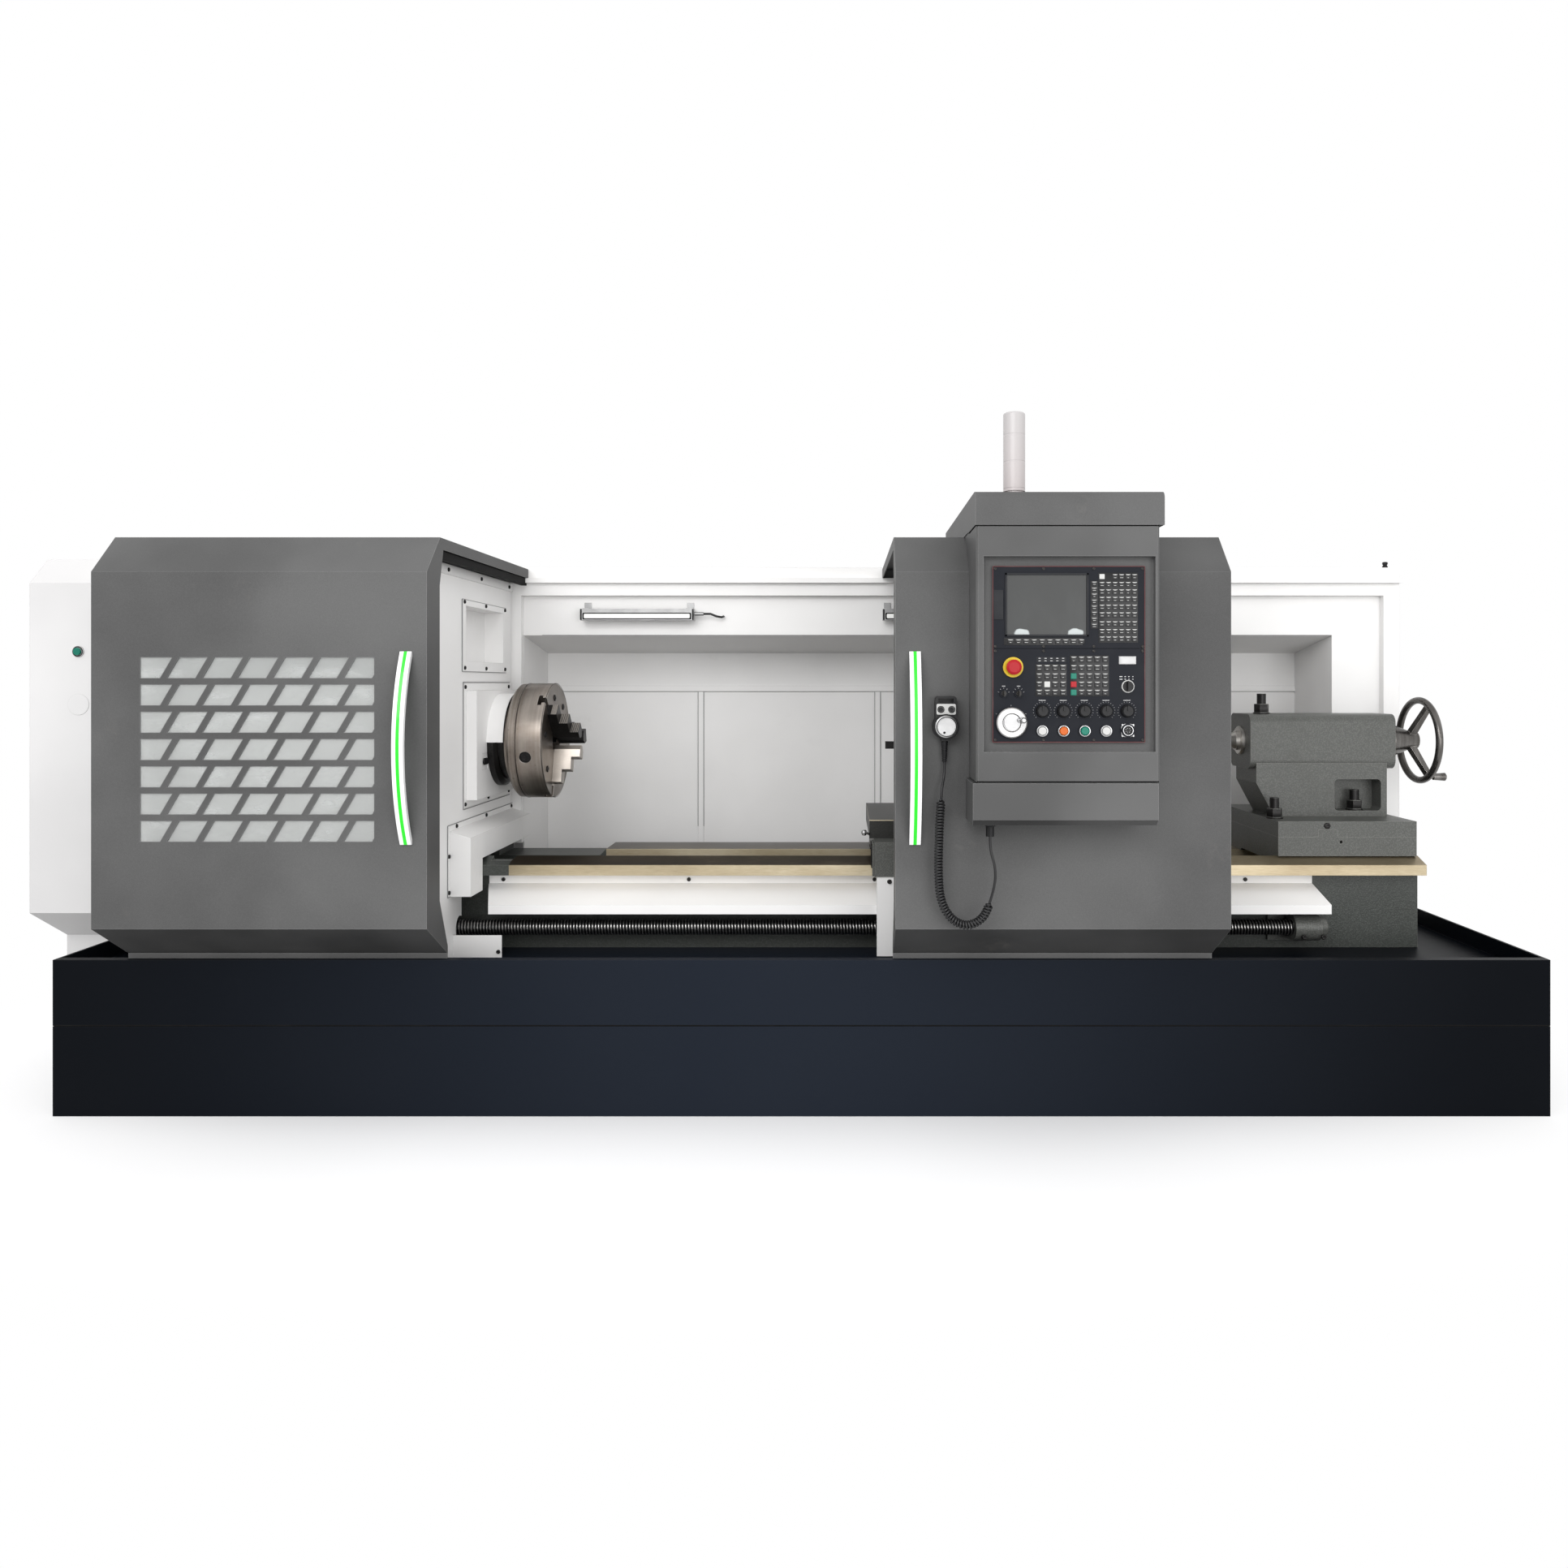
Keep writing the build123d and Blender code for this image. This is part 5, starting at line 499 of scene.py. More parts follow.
@dataclass(frozen=True)
class DarkScreen(Finish):
    """Switched-off display: smoky glass with soft pale clouds of painted reflection, as a workshop mirrors in it,
    stronger towards its foot, and two pale painted highlights.
    """

    colour: Colour = (0.022, 0.0235, 0.023)
    cloud: Colour = (0.052, 0.055, 0.054)
    # Colour and places of the two painted highlights.
    highlight_colour: Colour = (0.52, 0.56, 0.56)
    highlight_spots: tuple[Point, ...] = ((0.738, 0.009, 0.013), (0.882, 0.011, 0.015))
    highlight_z: float = 1.4165
    foot: float = 1.40
    height: float = 0.16

    def write(self, paint: Paint) -> None:
        """Writes the painted reflection clouds, and each painted highlight as one minus a soft step of the distance
        from its middle.
        """
        x, _, z = paint.axes()
        drift = paint.noise(9.0, 3.0, (1.0, 1.0, 0.5)).smooth(0.42, 0.72)
        low = (1.0 - (z - self.foot) / self.height).clamped()
        cloud_reflection = paint.mix((drift * (0.35 + low * 0.4)).clamped(), self.colour, self.cloud)
        ragged = paint.noise(60.0, 3.0) * 0.010 - 0.005
        first, second = (1.0 - ((((x - at) / 1.7) ** 2.0 + (z - self.highlight_z) ** 2.0).root() + ragged).smooth(*step)
                         for at, *step in self.highlight_spots)
        paint.look(Base_Color=paint.mix((first + second).clamped() * 0.8, cloud_reflection, self.highlight_colour),
                   Roughness=0.10 + drift * 0.12, Specular_IOR_Level=0.25)


@dataclass(frozen=True)
class FrostedTube(Finish):
    """Frosted status lamp: whitish with faint seams between its stages and a blush at its foot."""

    foot: float = 1.797
    stage: float = 0.074
    height: float = 0.23

    def write(self, paint: Paint) -> None:
        """Writes the blush, the flutes and the seams."""
        up = paint.axes()[2] - self.foot
        flute = paint.noise(420.0, 1.0, (1.0, 1.0, 0.01))
        tone = paint.mix((1.0 - up / self.height).clamped() * 0.35, rgb(178, 175, 175), rgb(170, 152, 151))
        tone = paint.mix(flute.smooth(0.4, 0.7) * 0.10, tone, (0.5, 0.5, 0.5))
        paint.look(Base_Color=tone, Roughness=0.34, Coat_Weight=0.3, Coat_Roughness=0.15, Specular_IOR_Level=0.3)
        seams = (up / self.stage * math.tau).sine().smooth(0.97, 1.0)
        paint.bumped(seams * -1.0 + flute * 0.15, 0.0006, 0.0015)


# The machine's finishes

# Door grey with painted shade on faces turned right and down, and a painted edge highlight.
PAINT_GREY = SprayedPaint("door_grey", rgb(73, 73, 73), 0.52, shine=0.2, drift=0.04, side_shade=0.22,
                          under_shade=0.80)
# White paint with painted shade along its edges and creases.
PAINT_WHITE = SprayedPaint("cover_white", rgb(237, 236, 235), 0.50, painted_edge_amount=0.45, painted_edge_colour=EDGE_SHADE,
                           smudges=0.08, shine=0.3)
# Navy base: a painted reflection lightens it towards the middle of its length; faint painted edge highlight.
PAINT_NAVY = SkirtPaintWithReflection("base_navy", (0.0017, 0.0025, 0.0042), 0.42, drift=0.0008, painted_edge_amount=0.015,
                        smudge=(0.03, 0.03, 0.033), smudges=0.03, shine=0.05, grain=0.0008)
# End white with painted shade along its edges and creases.
PAINT_END = SprayedPaint("end_white", rgb(213, 212, 212), 0.50, painted_edge_amount=0.35, painted_edge_colour=EDGE_SHADE,
                         smudges=0.05, shine=0.2)
# Motor black with a faint painted edge highlight.
PAINT_MOTOR = SprayedPaint("motor_black", (0.022, 0.022, 0.025), 0.42)
CASTING = HammerPaint("casting_green_grey", (0.105, 0.108, 0.100))
BED_CASTING = HammerPaint("bed_casting", (0.060, 0.066, 0.060), 0.6475, -0.829, -0.598)
SLIDE_CASTING = HammerPaint("slide_casting", rgb(36, 36, 33), 0.8345, ground_below=0.8375, rear_side=9.0)
CHUCK = TurnedSteel("chuck_turned_steel", (0.66, 0.60, 0.545), (0.19, 0.15, 0.12), cloud=0.5)
FLANGE = TurnedSteel("chuck_plate_steel", (0.50, 0.45, 0.40), (0.14, 0.11, 0.09), roughness=0.36)
WHEEL = TurnedSteel("handwheel_steel", (0.26, 0.25, 0.24), (0.050, 0.045, 0.040), roughness=0.24, cloud=0.5)
BRIGHT = MachinedMetal("bright_steel", (0.52, 0.50, 0.47), (0.80, 0.78, 0.75))
JAW_LIGHT = MachinedMetal("jaw_ground_steel", (0.42, 0.38, 0.34), (0.78, 0.75, 0.70), roughness=0.28)
BLACKED = MachinedMetal("blacked_steel", (0.020, 0.019, 0.019), (0.20, 0.19, 0.18), 0.7, 0.34, 0.5)
THREAD = MachinedMetal("screw_steel", (0.012, 0.012, 0.013), (0.20, 0.20, 0.19), 0.8, 0.30, 0.2)
# Painted highlight: bright steel on the crests of the black screw.
CREST_HIGHLIGHT = MachinedMetal("screw_crest_highlight", (0.42, 0.41, 0.40), (0.85, 0.83, 0.80), 0.95, 0.24, 0.3)
SILVER = MachinedMetal("lamp_silver", (0.36, 0.36, 0.36), (0.62, 0.62, 0.62), 0.9, 0.36, 0.4)
CHROME = MachinedMetal("chrome", (0.40, 0.40, 0.405), (0.78, 0.78, 0.78), 1.0, 0.22, 0.6)
DIAL_SILVER = MachinedMetal("dial_silver", (0.48, 0.48, 0.48), (0.85, 0.85, 0.85), 0.95, 0.30, 0.5)
SEAM_GREY = Moulding("seam_grey", (0.20, 0.20, 0.20), 0.6)
SEAM_DARK = Moulding("seam_dark", (0.26, 0.26, 0.26), 0.6)
BLACK_PLASTIC = Moulding("black_plastic", (0.010, 0.010, 0.011), 0.42, 0.03, 0.25)
PANEL_BLACK = Moulding("panel_black", rgb(26, 28, 34), 0.42, 0.01, 0.10)
RUBBER = Moulding("cord_black", (0.012, 0.012, 0.013), 0.32, 0.02, 0.4)
KEY_BLACK = Moulding("key_black", (0.006, 0.006, 0.007), 0.30, 0.01, 0.3)
WHITE_PLASTIC = Moulding("white_plastic", (0.50, 0.50, 0.49), 0.3, 0.04, 0.3)
RED_PLASTIC = Moulding("red_plastic", (0.34, 0.004, 0.010), 0.34, 0.02, 0.25)
YELLOW_PLASTIC = Moulding("yellow_plastic", (0.56, 0.39, 0.012), 0.36, 0.03, 0.3)
ORANGE_PLASTIC = Moulding("orange_plastic", (0.52, 0.10, 0.006), 0.3, 0.02, 0.25)
TEAL_PLASTIC = Moulding("teal_plastic", (0.002, 0.155, 0.105), 0.3, 0.02, 0.25)
DIFFUSER = Moulding("lamp_diffuser", (0.82, 0.82, 0.80), 0.30, 0.2, glow=0.12)
SEAL = Moulding("black_seal", (0.004, 0.004, 0.004), 0.65, 0.01, 0.08)
PANEL_EDGE = Moulding("panel_edge", (0.020, 0.021, 0.024), 0.40, 0.02, 0.12)
OUTLINE_RED = Moulding("outline_red", (0.10, 0.012, 0.014), 0.4)
MARK_WHITE = Moulding("mark_white", (0.50, 0.50, 0.50), 0.5, 0.0)


# Meshes from formulas

class Facing(Enum):
    """Where a shape's +Z is carried to."""

    OPERATOR = "-y"
    RIGHT = "+x"
    LEFT = "-x"


@dataclass
class Shape:
    """Points in millimetres, faces and one finish number a face, grown by adding surfaces."""

    points: np.ndarray
    faces: list[tuple[int, ...]]
    finishes: list[int]

    @staticmethod
    def empty() -> "Shape":
        """A shape with nothing in it."""
        return Shape(np.zeros((0, 3)), [], [])

    @staticmethod
    def whole(parts: Iterable["Shape"]) -> "Shape":
        """The parts as one shape, in their order."""
        return Shape.empty().joined(*parts)

    def add(self, points: np.ndarray, faces: Iterable[Sequence[int]], finish: int = 0) -> "Shape":
        """Adds points and faces that count from these points' first one.

        Args:
            points: an n by 3 array.
            faces: corner numbers of each face.
            finish: which of the piece's materials the faces take.

        Returns:
            The shape itself.
        """
        start = len(self.points)
        self.points = np.vstack([self.points, points])
        new = [tuple(int(c) + start for c in face) for face in faces]
        self.faces += new
        self.finishes += [finish] * len(new)
        return self

    def at(self, *places: Sequence[float]) -> "Shape":
        """Copies of the shape moved to each place: every point plus every offset.

        Args:
            places: X, Y and Z of each copy.

        Returns:
            A new shape with one copy a place.
        """
        offsets = np.asarray(places, float)
        count = len(self.points)
        points = (self.points[None, :, :] + offsets[:, None, :]).reshape(-1, 3)
        faces = [tuple(c + k * count for c in face) for k in range(len(offsets)) for face in self.faces]
        return Shape(points, faces, self.finishes * len(offsets))

    def joined(self, *others: "Shape") -> "Shape":
        """This shape and the others as one."""
        whole = Shape(self.points.copy(), list(self.faces), list(self.finishes))
        for other in others:
            start = len(whole.points)
            whole.points = np.vstack([whole.points, other.points])
            whole.faces += [tuple(c + start for c in face) for face in other.faces]
            whole.finishes += other.finishes
        return whole

    def facing(self, way: Facing, *places: Sequence[float]) -> "Shape":
        """Copies of the shape at the places, each with its +Z carried to the given way."""
        x, y, z = self.points.T
        moved = {Facing.OPERATOR: (x, -z, y), Facing.RIGHT: (z, y, -x), Facing.LEFT: (-z, y, x)}[way]
        return Shape(np.stack(moved, 1), self.faces, self.finishes).at(*places)

    def spun(self, degrees: float) -> "Shape":
        """The shape turned about its own Z."""
        a = math.radians(degrees)
        x, y, z = self.points.T
        return Shape(np.stack([x * math.cos(a) - y * math.sin(a), x * math.sin(a) + y * math.cos(a), z], 1),
                     self.faces, self.finishes)


def grid_faces(rows: int, columns: int, closed: bool) -> list[tuple[int, int, int, int]]:
    """Quads between neighbours of a rows by columns grid, closed round the columns if asked."""
    last = columns if closed else columns - 1
    i, j = np.meshgrid(np.arange(rows - 1), np.arange(last), indexing="ij")
    k = (j + 1) % columns
    quads = np.stack([i * columns + j, i * columns + k, (i + 1) * columns + k, (i + 1) * columns + j], -1)
    return [tuple(q) for q in quads.reshape(-1, 4)]


def revolve(profile: Sequence[tuple[float, float]], steps: int = 32, finish: int = 0,
            radii: Optional[np.ndarray] = None) -> Shape:
    """Surface of revolution about Z: (r cos a, r sin a, z) for a profile of (r, z) pairs, listed outside first.

    Args:
        profile: radius and height pairs from the rim's foot up and in to the axis.
        steps: divisions round the axis.
        finish: the faces' finish number.
        radii: a factor for each step and profile point, for flats or a six-sided socket.

    Returns:
        The surface, closed where the profile reaches the axis.
    """
    pairs = np.asarray(profile, float)
    angles = np.arange(steps) * math.tau / steps
    radius = np.repeat(pairs[:, :1], steps, 1)
    if radii is not None:
        radius = radius * radii
    points = np.stack([radius * np.cos(angles), radius * np.sin(angles), np.repeat(pairs[:, 1:], steps, 1)], -1)
    return Shape.empty().add(points.reshape(-1, 3), grid_faces(len(pairs), steps, True), finish)


def cap_screw(radius: float, height: float, finish: int = 0, steps: int = 24) -> Shape:
    """Round-headed socket screw whose inner rows follow a hexagon: 1 over the cosine of the angle from a flat.

    Args:
        radius: the head's radius.
        height: the head's height.
        finish: the faces' finish number.
        steps: divisions round the axis.

    Returns:
        The head with its socket, open at its foot.
    """
    socket = radius * 0.46
    profile = [(radius, 0.0), (radius, height * 0.55), (radius * 0.93, height * 0.85), (radius * 0.78, height),
               (socket * 1.12, height), (socket, height * 0.93), (socket, height * 0.35), (0.0, height * 0.30)]
    factors = np.ones((len(profile), steps))
    flat = math.pi / 6
    factors[4:7] = 1.0 / np.cos((np.arange(steps) * math.tau / steps + flat) % (2 * flat) - flat)
    return revolve(profile, steps, finish, factors)


def pad(width: float, height: float, rise: float, corner: float, bevel: float, finish: int = 0,
        crown: float = 0.0, arc: int = 5) -> Shape:
    """Rounded plate or key cap in the XY plane, rising along Z.

    The outline is a rectangle with quarter-circle corners; it is carried up at full size, then in by the
    bevel along a quarter circle, and its middle rises by the crown.

    Args:
        width: size along X.
        height: size along Y.
        rise: height of the edge above the plate's foot.
        corner: corner radius of the outline.
        bevel: radius of the top edge.
        finish: the faces' finish number.
        crown: extra height of the middle.
        arc: points on each corner.

    Returns:
        The plate, open at its foot.
    """
    corner = min(corner, width / 2 - NO_RADIUS, height / 2 - NO_RADIUS)
    quarter = np.linspace(0, math.pi / 2, arc)
    angles = np.concatenate([quarter + k * math.pi / 2 for k in range(4)])
    signs = np.repeat([[1, 1], [-1, 1], [-1, -1], [1, -1]], arc, 0)
    middle = signs * [width / 2 - corner, height / 2 - corner]
    rows = []
    for turn in np.concatenate([[-1.0], np.linspace(0, math.pi / 2, 4)]):
        inset, up = (0.0, 0.0) if turn < 0 else (bevel * (1 - math.cos(turn)), rise - bevel + bevel * math.sin(turn))
        reach = max(corner - inset, NO_RADIUS)
        flat = middle + reach * np.stack([np.cos(angles), np.sin(angles)], 1) - signs * max(inset - corner, 0.0)
        rows.append(np.column_stack([flat, np.full(len(flat), up)]))
    count = len(rows[0])
    rows.append(np.column_stack([rows[-1][:, :2] * 0.5, np.full(count, rise + crown)]))
    points = np.vstack([*rows, [[0.0, 0.0, rise + crown]]])
    last = (len(rows) - 1) * count
    fan = [(last + j, last + (j + 1) % count, len(points) - 1) for j in range(count)]
    return Shape.empty().add(points, [*grid_faces(len(rows), count, True), *fan], finish)


def printed(width: float, height: float, rise: float = 0.2, corner: float = 0.3, finish: int = 0,
            bevel: float = 0.1) -> Shape:
    """A thin printed mark: a flat pad with two points on each corner."""
    return pad(width, height, rise, corner, bevel, finish, 0.0, 2)


def bar(low: Sequence[float], high: Sequence[float], bevel: float = 1.0, finish: int = 0) -> Shape:
    """Closed box with its twelve edges broken: each corner is three points set in by the bevel.

    Args:
        low: lowest corner.
        high: highest corner.
        bevel: width of the broken edges.
        finish: the faces' finish number.

    Returns:
        The convex hull of the 24 points as faces.
    """
    low, high = np.asarray(low, float), np.asarray(high, float)
    corner = np.array([[i & 1, i >> 1 & 1, i >> 2 & 1] for i in range(8)])
    base = np.where(corner == 1, high, low)
    inward = np.where(corner == 1, -1.0, 1.0) * bevel
    points = np.concatenate([base + inward * (1 - np.eye(3)[axis]) for axis in range(3)])
    faces: list[tuple[int, ...]] = []
    for axis in range(3):
        u, v = [a for a in range(3) if a != axis]
        for side in (0, 1):
            ring = [sum(b << a for a, b in ((axis, side), (u, p), (v, q))) for p, q in ((0, 0), (1, 0), (1, 1), (0, 1))]
            faces.append(tuple(axis * 8 + c for c in ring))
        for p in (0, 1):
            for q in (0, 1):
                a, b = (sum(x << n for n, x in ((axis, s), (u, p), (v, q))) for s in (0, 1))
                faces.append((u * 8 + a, u * 8 + b, v * 8 + b, v * 8 + a))
    faces += [(c, 8 + c, 16 + c) for c in range(8)]
    return outward(Shape.empty().add(points, faces, finish), (low + high) / 2)


def outward(shape: Shape, middle: np.ndarray) -> Shape:
    """The shape with every face of a convex body wound to face away from its middle."""
    fixed = []
    for face in shape.faces:
        a, b, c = (shape.points[face[k]] for k in (0, 1, 2))
        away = shape.points[list(face)].mean(0) - middle
        fixed.append(face if float(np.cross(b - a, c - b) @ away) > 0 else face[::-1])
    return Shape(shape.points, fixed, shape.finishes)


def unit(rows: np.ndarray) -> np.ndarray:
    """Each row divided by its length."""
    return rows / np.linalg.norm(rows, axis=1, keepdims=True)


def tube(path: np.ndarray, radius: float, sides: int = 10, closed: bool = False) -> Shape:
    """Round tube along a path: each path point plus a circle in the plane across the path's direction.

    Args:
        path: an n by 3 array.
        radius: tube radius.
        sides: points round the circle.
        closed: whether the path's end joins its start.

    Returns:
        The tube, with flat ends where the path is open.
    """
    ahead = unit(np.roll(path, -1, 0) - np.roll(path, 1, 0) if closed else np.gradient(path, axis=0))
    side, up = carried_frames(ahead)
    angles = np.arange(sides) * math.tau / sides
    ring = np.cos(angles)[None, :, None] * side[:, None, :] + np.sin(angles)[None, :, None] * up[:, None, :]
    points = (path[:, None, :] + radius * ring).reshape(-1, 3)
    last = (len(path) - 1) * sides
    if closed:
        ends = [(last + j, last + (j + 1) % sides, (j + 1) % sides, j) for j in range(sides)]
    else:
        ends = [tuple(range(sides))[::-1], tuple(range(last, last + sides))]
    return Shape.empty().add(points, [*grid_faces(len(path), sides, True), *ends])


def carried_frames(ahead: np.ndarray) -> tuple[np.ndarray, np.ndarray]:
    """Two directions across a path that turn with it and never twist: each is the last one less its part along.

    Args:
        ahead: unit directions along the path, n by 3.

    Returns:
        The side and up directions, each n by 3.
    """
    first = np.cross(ahead[0], [0.0, 1.0, 0.0])
    if np.linalg.norm(first) < 0.1:
        first = np.cross(ahead[0], [1.0, 0.0, 0.0])
    sides = [first / np.linalg.norm(first)]
    for direction in ahead[1:]:
        flat = sides[-1] - direction * float(sides[-1] @ direction)
        sides.append(flat / np.linalg.norm(flat))
    side = np.array(sides)
    return side, np.cross(ahead, side)


class Soft(Enum):
    """The edge angle in degrees up to which a piece is shaded as rounded."""

    EDGED = 35.0
    ROUND = 180.0


class Workshop:
    """Puts shapes and finishes on the machine and keeps the list of what was made."""

    def __init__(self, nodes: dict[str, bpy.types.Object]) -> None:
        """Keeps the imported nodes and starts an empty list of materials."""
        self.nodes = nodes
        self.materials: dict[str, bpy.types.Material] = {}

    def finish(self, recipe: Finish) -> bpy.types.Material:
        """The material of a recipe, made once."""
        if recipe.name not in self.materials:
            self.materials[recipe.name] = recipe.make()
        return self.materials[recipe.name]

    def dress(self, recipe: Finish, *names: str) -> None:
        """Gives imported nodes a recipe's material.

        Args:
            recipe: a finish.
            names: the nodes.
        """
        material = self.finish(recipe)
        for name in names:
            data = self.nodes[name].data
            data.materials.clear()
            data.materials.append(material)
            LOG.info("dressed %s in %s", name, recipe.name)

    def place(self, name: str, shape: Shape, body: str, slot: str, *recipes: Finish,
              soft: Soft = Soft.EDGED) -> bpy.types.Object:
        """Makes one new piece from a shape and lets it ride on a body.

        Args:
            name: the piece's name.
            shape: its points and faces in the machine's frame.
            body: the body that carries it.
            slot: the record's material slot; not used.
            recipes: finishes in the order of the shape's finish numbers.
            soft: which edges are shaded as rounded.

        Returns:
            The new object.
        """
        mesh = bpy.data.meshes.new(name)
        mesh.from_pydata((shape.points * MM).tolist(), [], shape.faces)
        mesh.polygons.foreach_set("material_index", np.array(shape.finishes, np.int32))
        for recipe in recipes:
            mesh.materials.append(self.finish(recipe))
        mesh.validate()
        piece = bpy.data.objects.new(name, mesh)
        bpy.context.scene.collection.objects.link(piece)
        mesh.polygons.foreach_set("use_smooth", np.ones(len(mesh.polygons), bool))
        if soft is Soft.EDGED:
            mesh.set_sharp_from_angle(angle=math.radians(soft.value))
        mesh.update()
        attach(piece, body)
        LOG.info("made %s: %d faces on %s", name, len(mesh.polygons), body)
        return piece


# Camera, floor and light

@dataclass
class Studio:
    """Camera at the photograph's place, a pale floor and plain soft light."""

    eye: Point = (0.255, -3.882, 1.282)
    lens: float = 26.09
    shift: tuple[float, float] = (-0.0368, -0.0642)
    ambient: float = 1.15
    floor_radius: float = 14.0
    floor_z: float = -0.0005
    rings: int = 24
    spokes: int = 64

    def camera(self) -> None:
        """Makes the scene's camera: level, looking along +Y, with the photograph's framing as shift."""
        data = bpy.data.cameras.new("camera")
        data.lens, data.sensor_width = self.lens, 36.0
        data.shift_x, data.shift_y = self.shift
        data.clip_start, data.clip_end = 0.05, 200.0
        eye = bpy.data.objects.new("camera", data)
        eye.location = self.eye
        eye.rotation_euler = (math.radians(90.0), 0.0, 0.0)
        bpy.context.scene.collection.objects.link(eye)
        bpy.context.scene.camera = eye

    def floor(self) -> None:
        """A pale disc of floor that fades to white away from the machine, seen by camera, mirror and glass rays."""
        radii = np.linspace(0.0, 1.0, self.rings)[:, None] ** 1.6 * self.floor_radius
        angles = np.arange(self.spokes) * math.tau / self.spokes
        points = np.stack([radii * np.cos(angles), radii * np.sin(angles),
                           np.full((self.rings, self.spokes), self.floor_z)], -1).reshape(-1, 3)
        mesh = bpy.data.meshes.new("floor")
        mesh.from_pydata(points.tolist(), [], grid_faces(self.rings, self.spokes, True))
        floor = bpy.data.objects.new("floor", mesh)
        bpy.context.scene.collection.objects.link(floor)
        paint = Paint("pale_floor")
        x, y, _ = paint.axes()
        away = ((x / 3.1) ** 2.0 + ((y - 0.1) / 1.7) ** 2.0).root().smooth(0.50, 1.05)
        seen = paint.on_view()
        paint.look(Base_Color=paint.mix(seen, (0.50, 0.50, 0.50), (0.93, 0.93, 0.94)), Roughness=0.9)
        white = paint.node("ShaderNodeEmission", values={"Color": WHITE, "Strength": 1.0})
        mixed = paint.node("ShaderNodeMixShader", values={0: away * seen, 1: Wire(paint, paint.shader.outputs[0]),
                                                          2: white})
        paint.put(paint.output.inputs[0], mixed)
        mesh.materials.append(paint.material)

    def light(self) -> None:
        """White surroundings for view rays, a plain even level for the machine, and two soft panels."""
        world = bpy.data.worlds.new("surroundings")
        bpy.context.scene.world = world
        world.use_nodes = True
        tree = world.node_tree
        back = tree.nodes["Background"]
        path = tree.nodes.new("ShaderNodeLightPath")
        total = path.outputs[VIEW_RAYS[0]]
        for kind in VIEW_RAYS[1:]:
            add = tree.nodes.new("ShaderNodeMath")
            add.use_clamp = True
            tree.links.new(total, add.inputs[0])
            tree.links.new(path.outputs[kind], add.inputs[1])
            total = add.outputs[0]
        level = tree.nodes.new("ShaderNodeMix")
        level.inputs[2].default_value, level.inputs[3].default_value = self.ambient, 1.0
        tree.links.new(total, level.inputs[0])
        tree.links.new(level.outputs[0], back.inputs["Strength"])
        back.inputs["Color"].default_value = (*WHITE, 1.0)
        for name, place, size, power, turn in (("key", (-1.6, -5.6, 3.6), (4.5, 2.5), 168.0, (62.0, 0.0, -16.0)),
                                               ("fill", (2.6, -5.2, 1.3), (3.0, 2.2), 78.0, (86.0, 0.0, 26.0))):
            data = bpy.data.lights.new(name, "AREA")
            data.shape, data.size, data.size_y, data.energy = "RECTANGLE", *size, power
            lamp = bpy.data.objects.new(name, data)
            lamp.location = place
            lamp.rotation_euler = tuple(math.radians(v) for v in turn)
            bpy.context.scene.collection.objects.link(lamp)
        bpy.context.scene.view_settings.view_transform = "Standard"


# Curly cord of the hand wheel

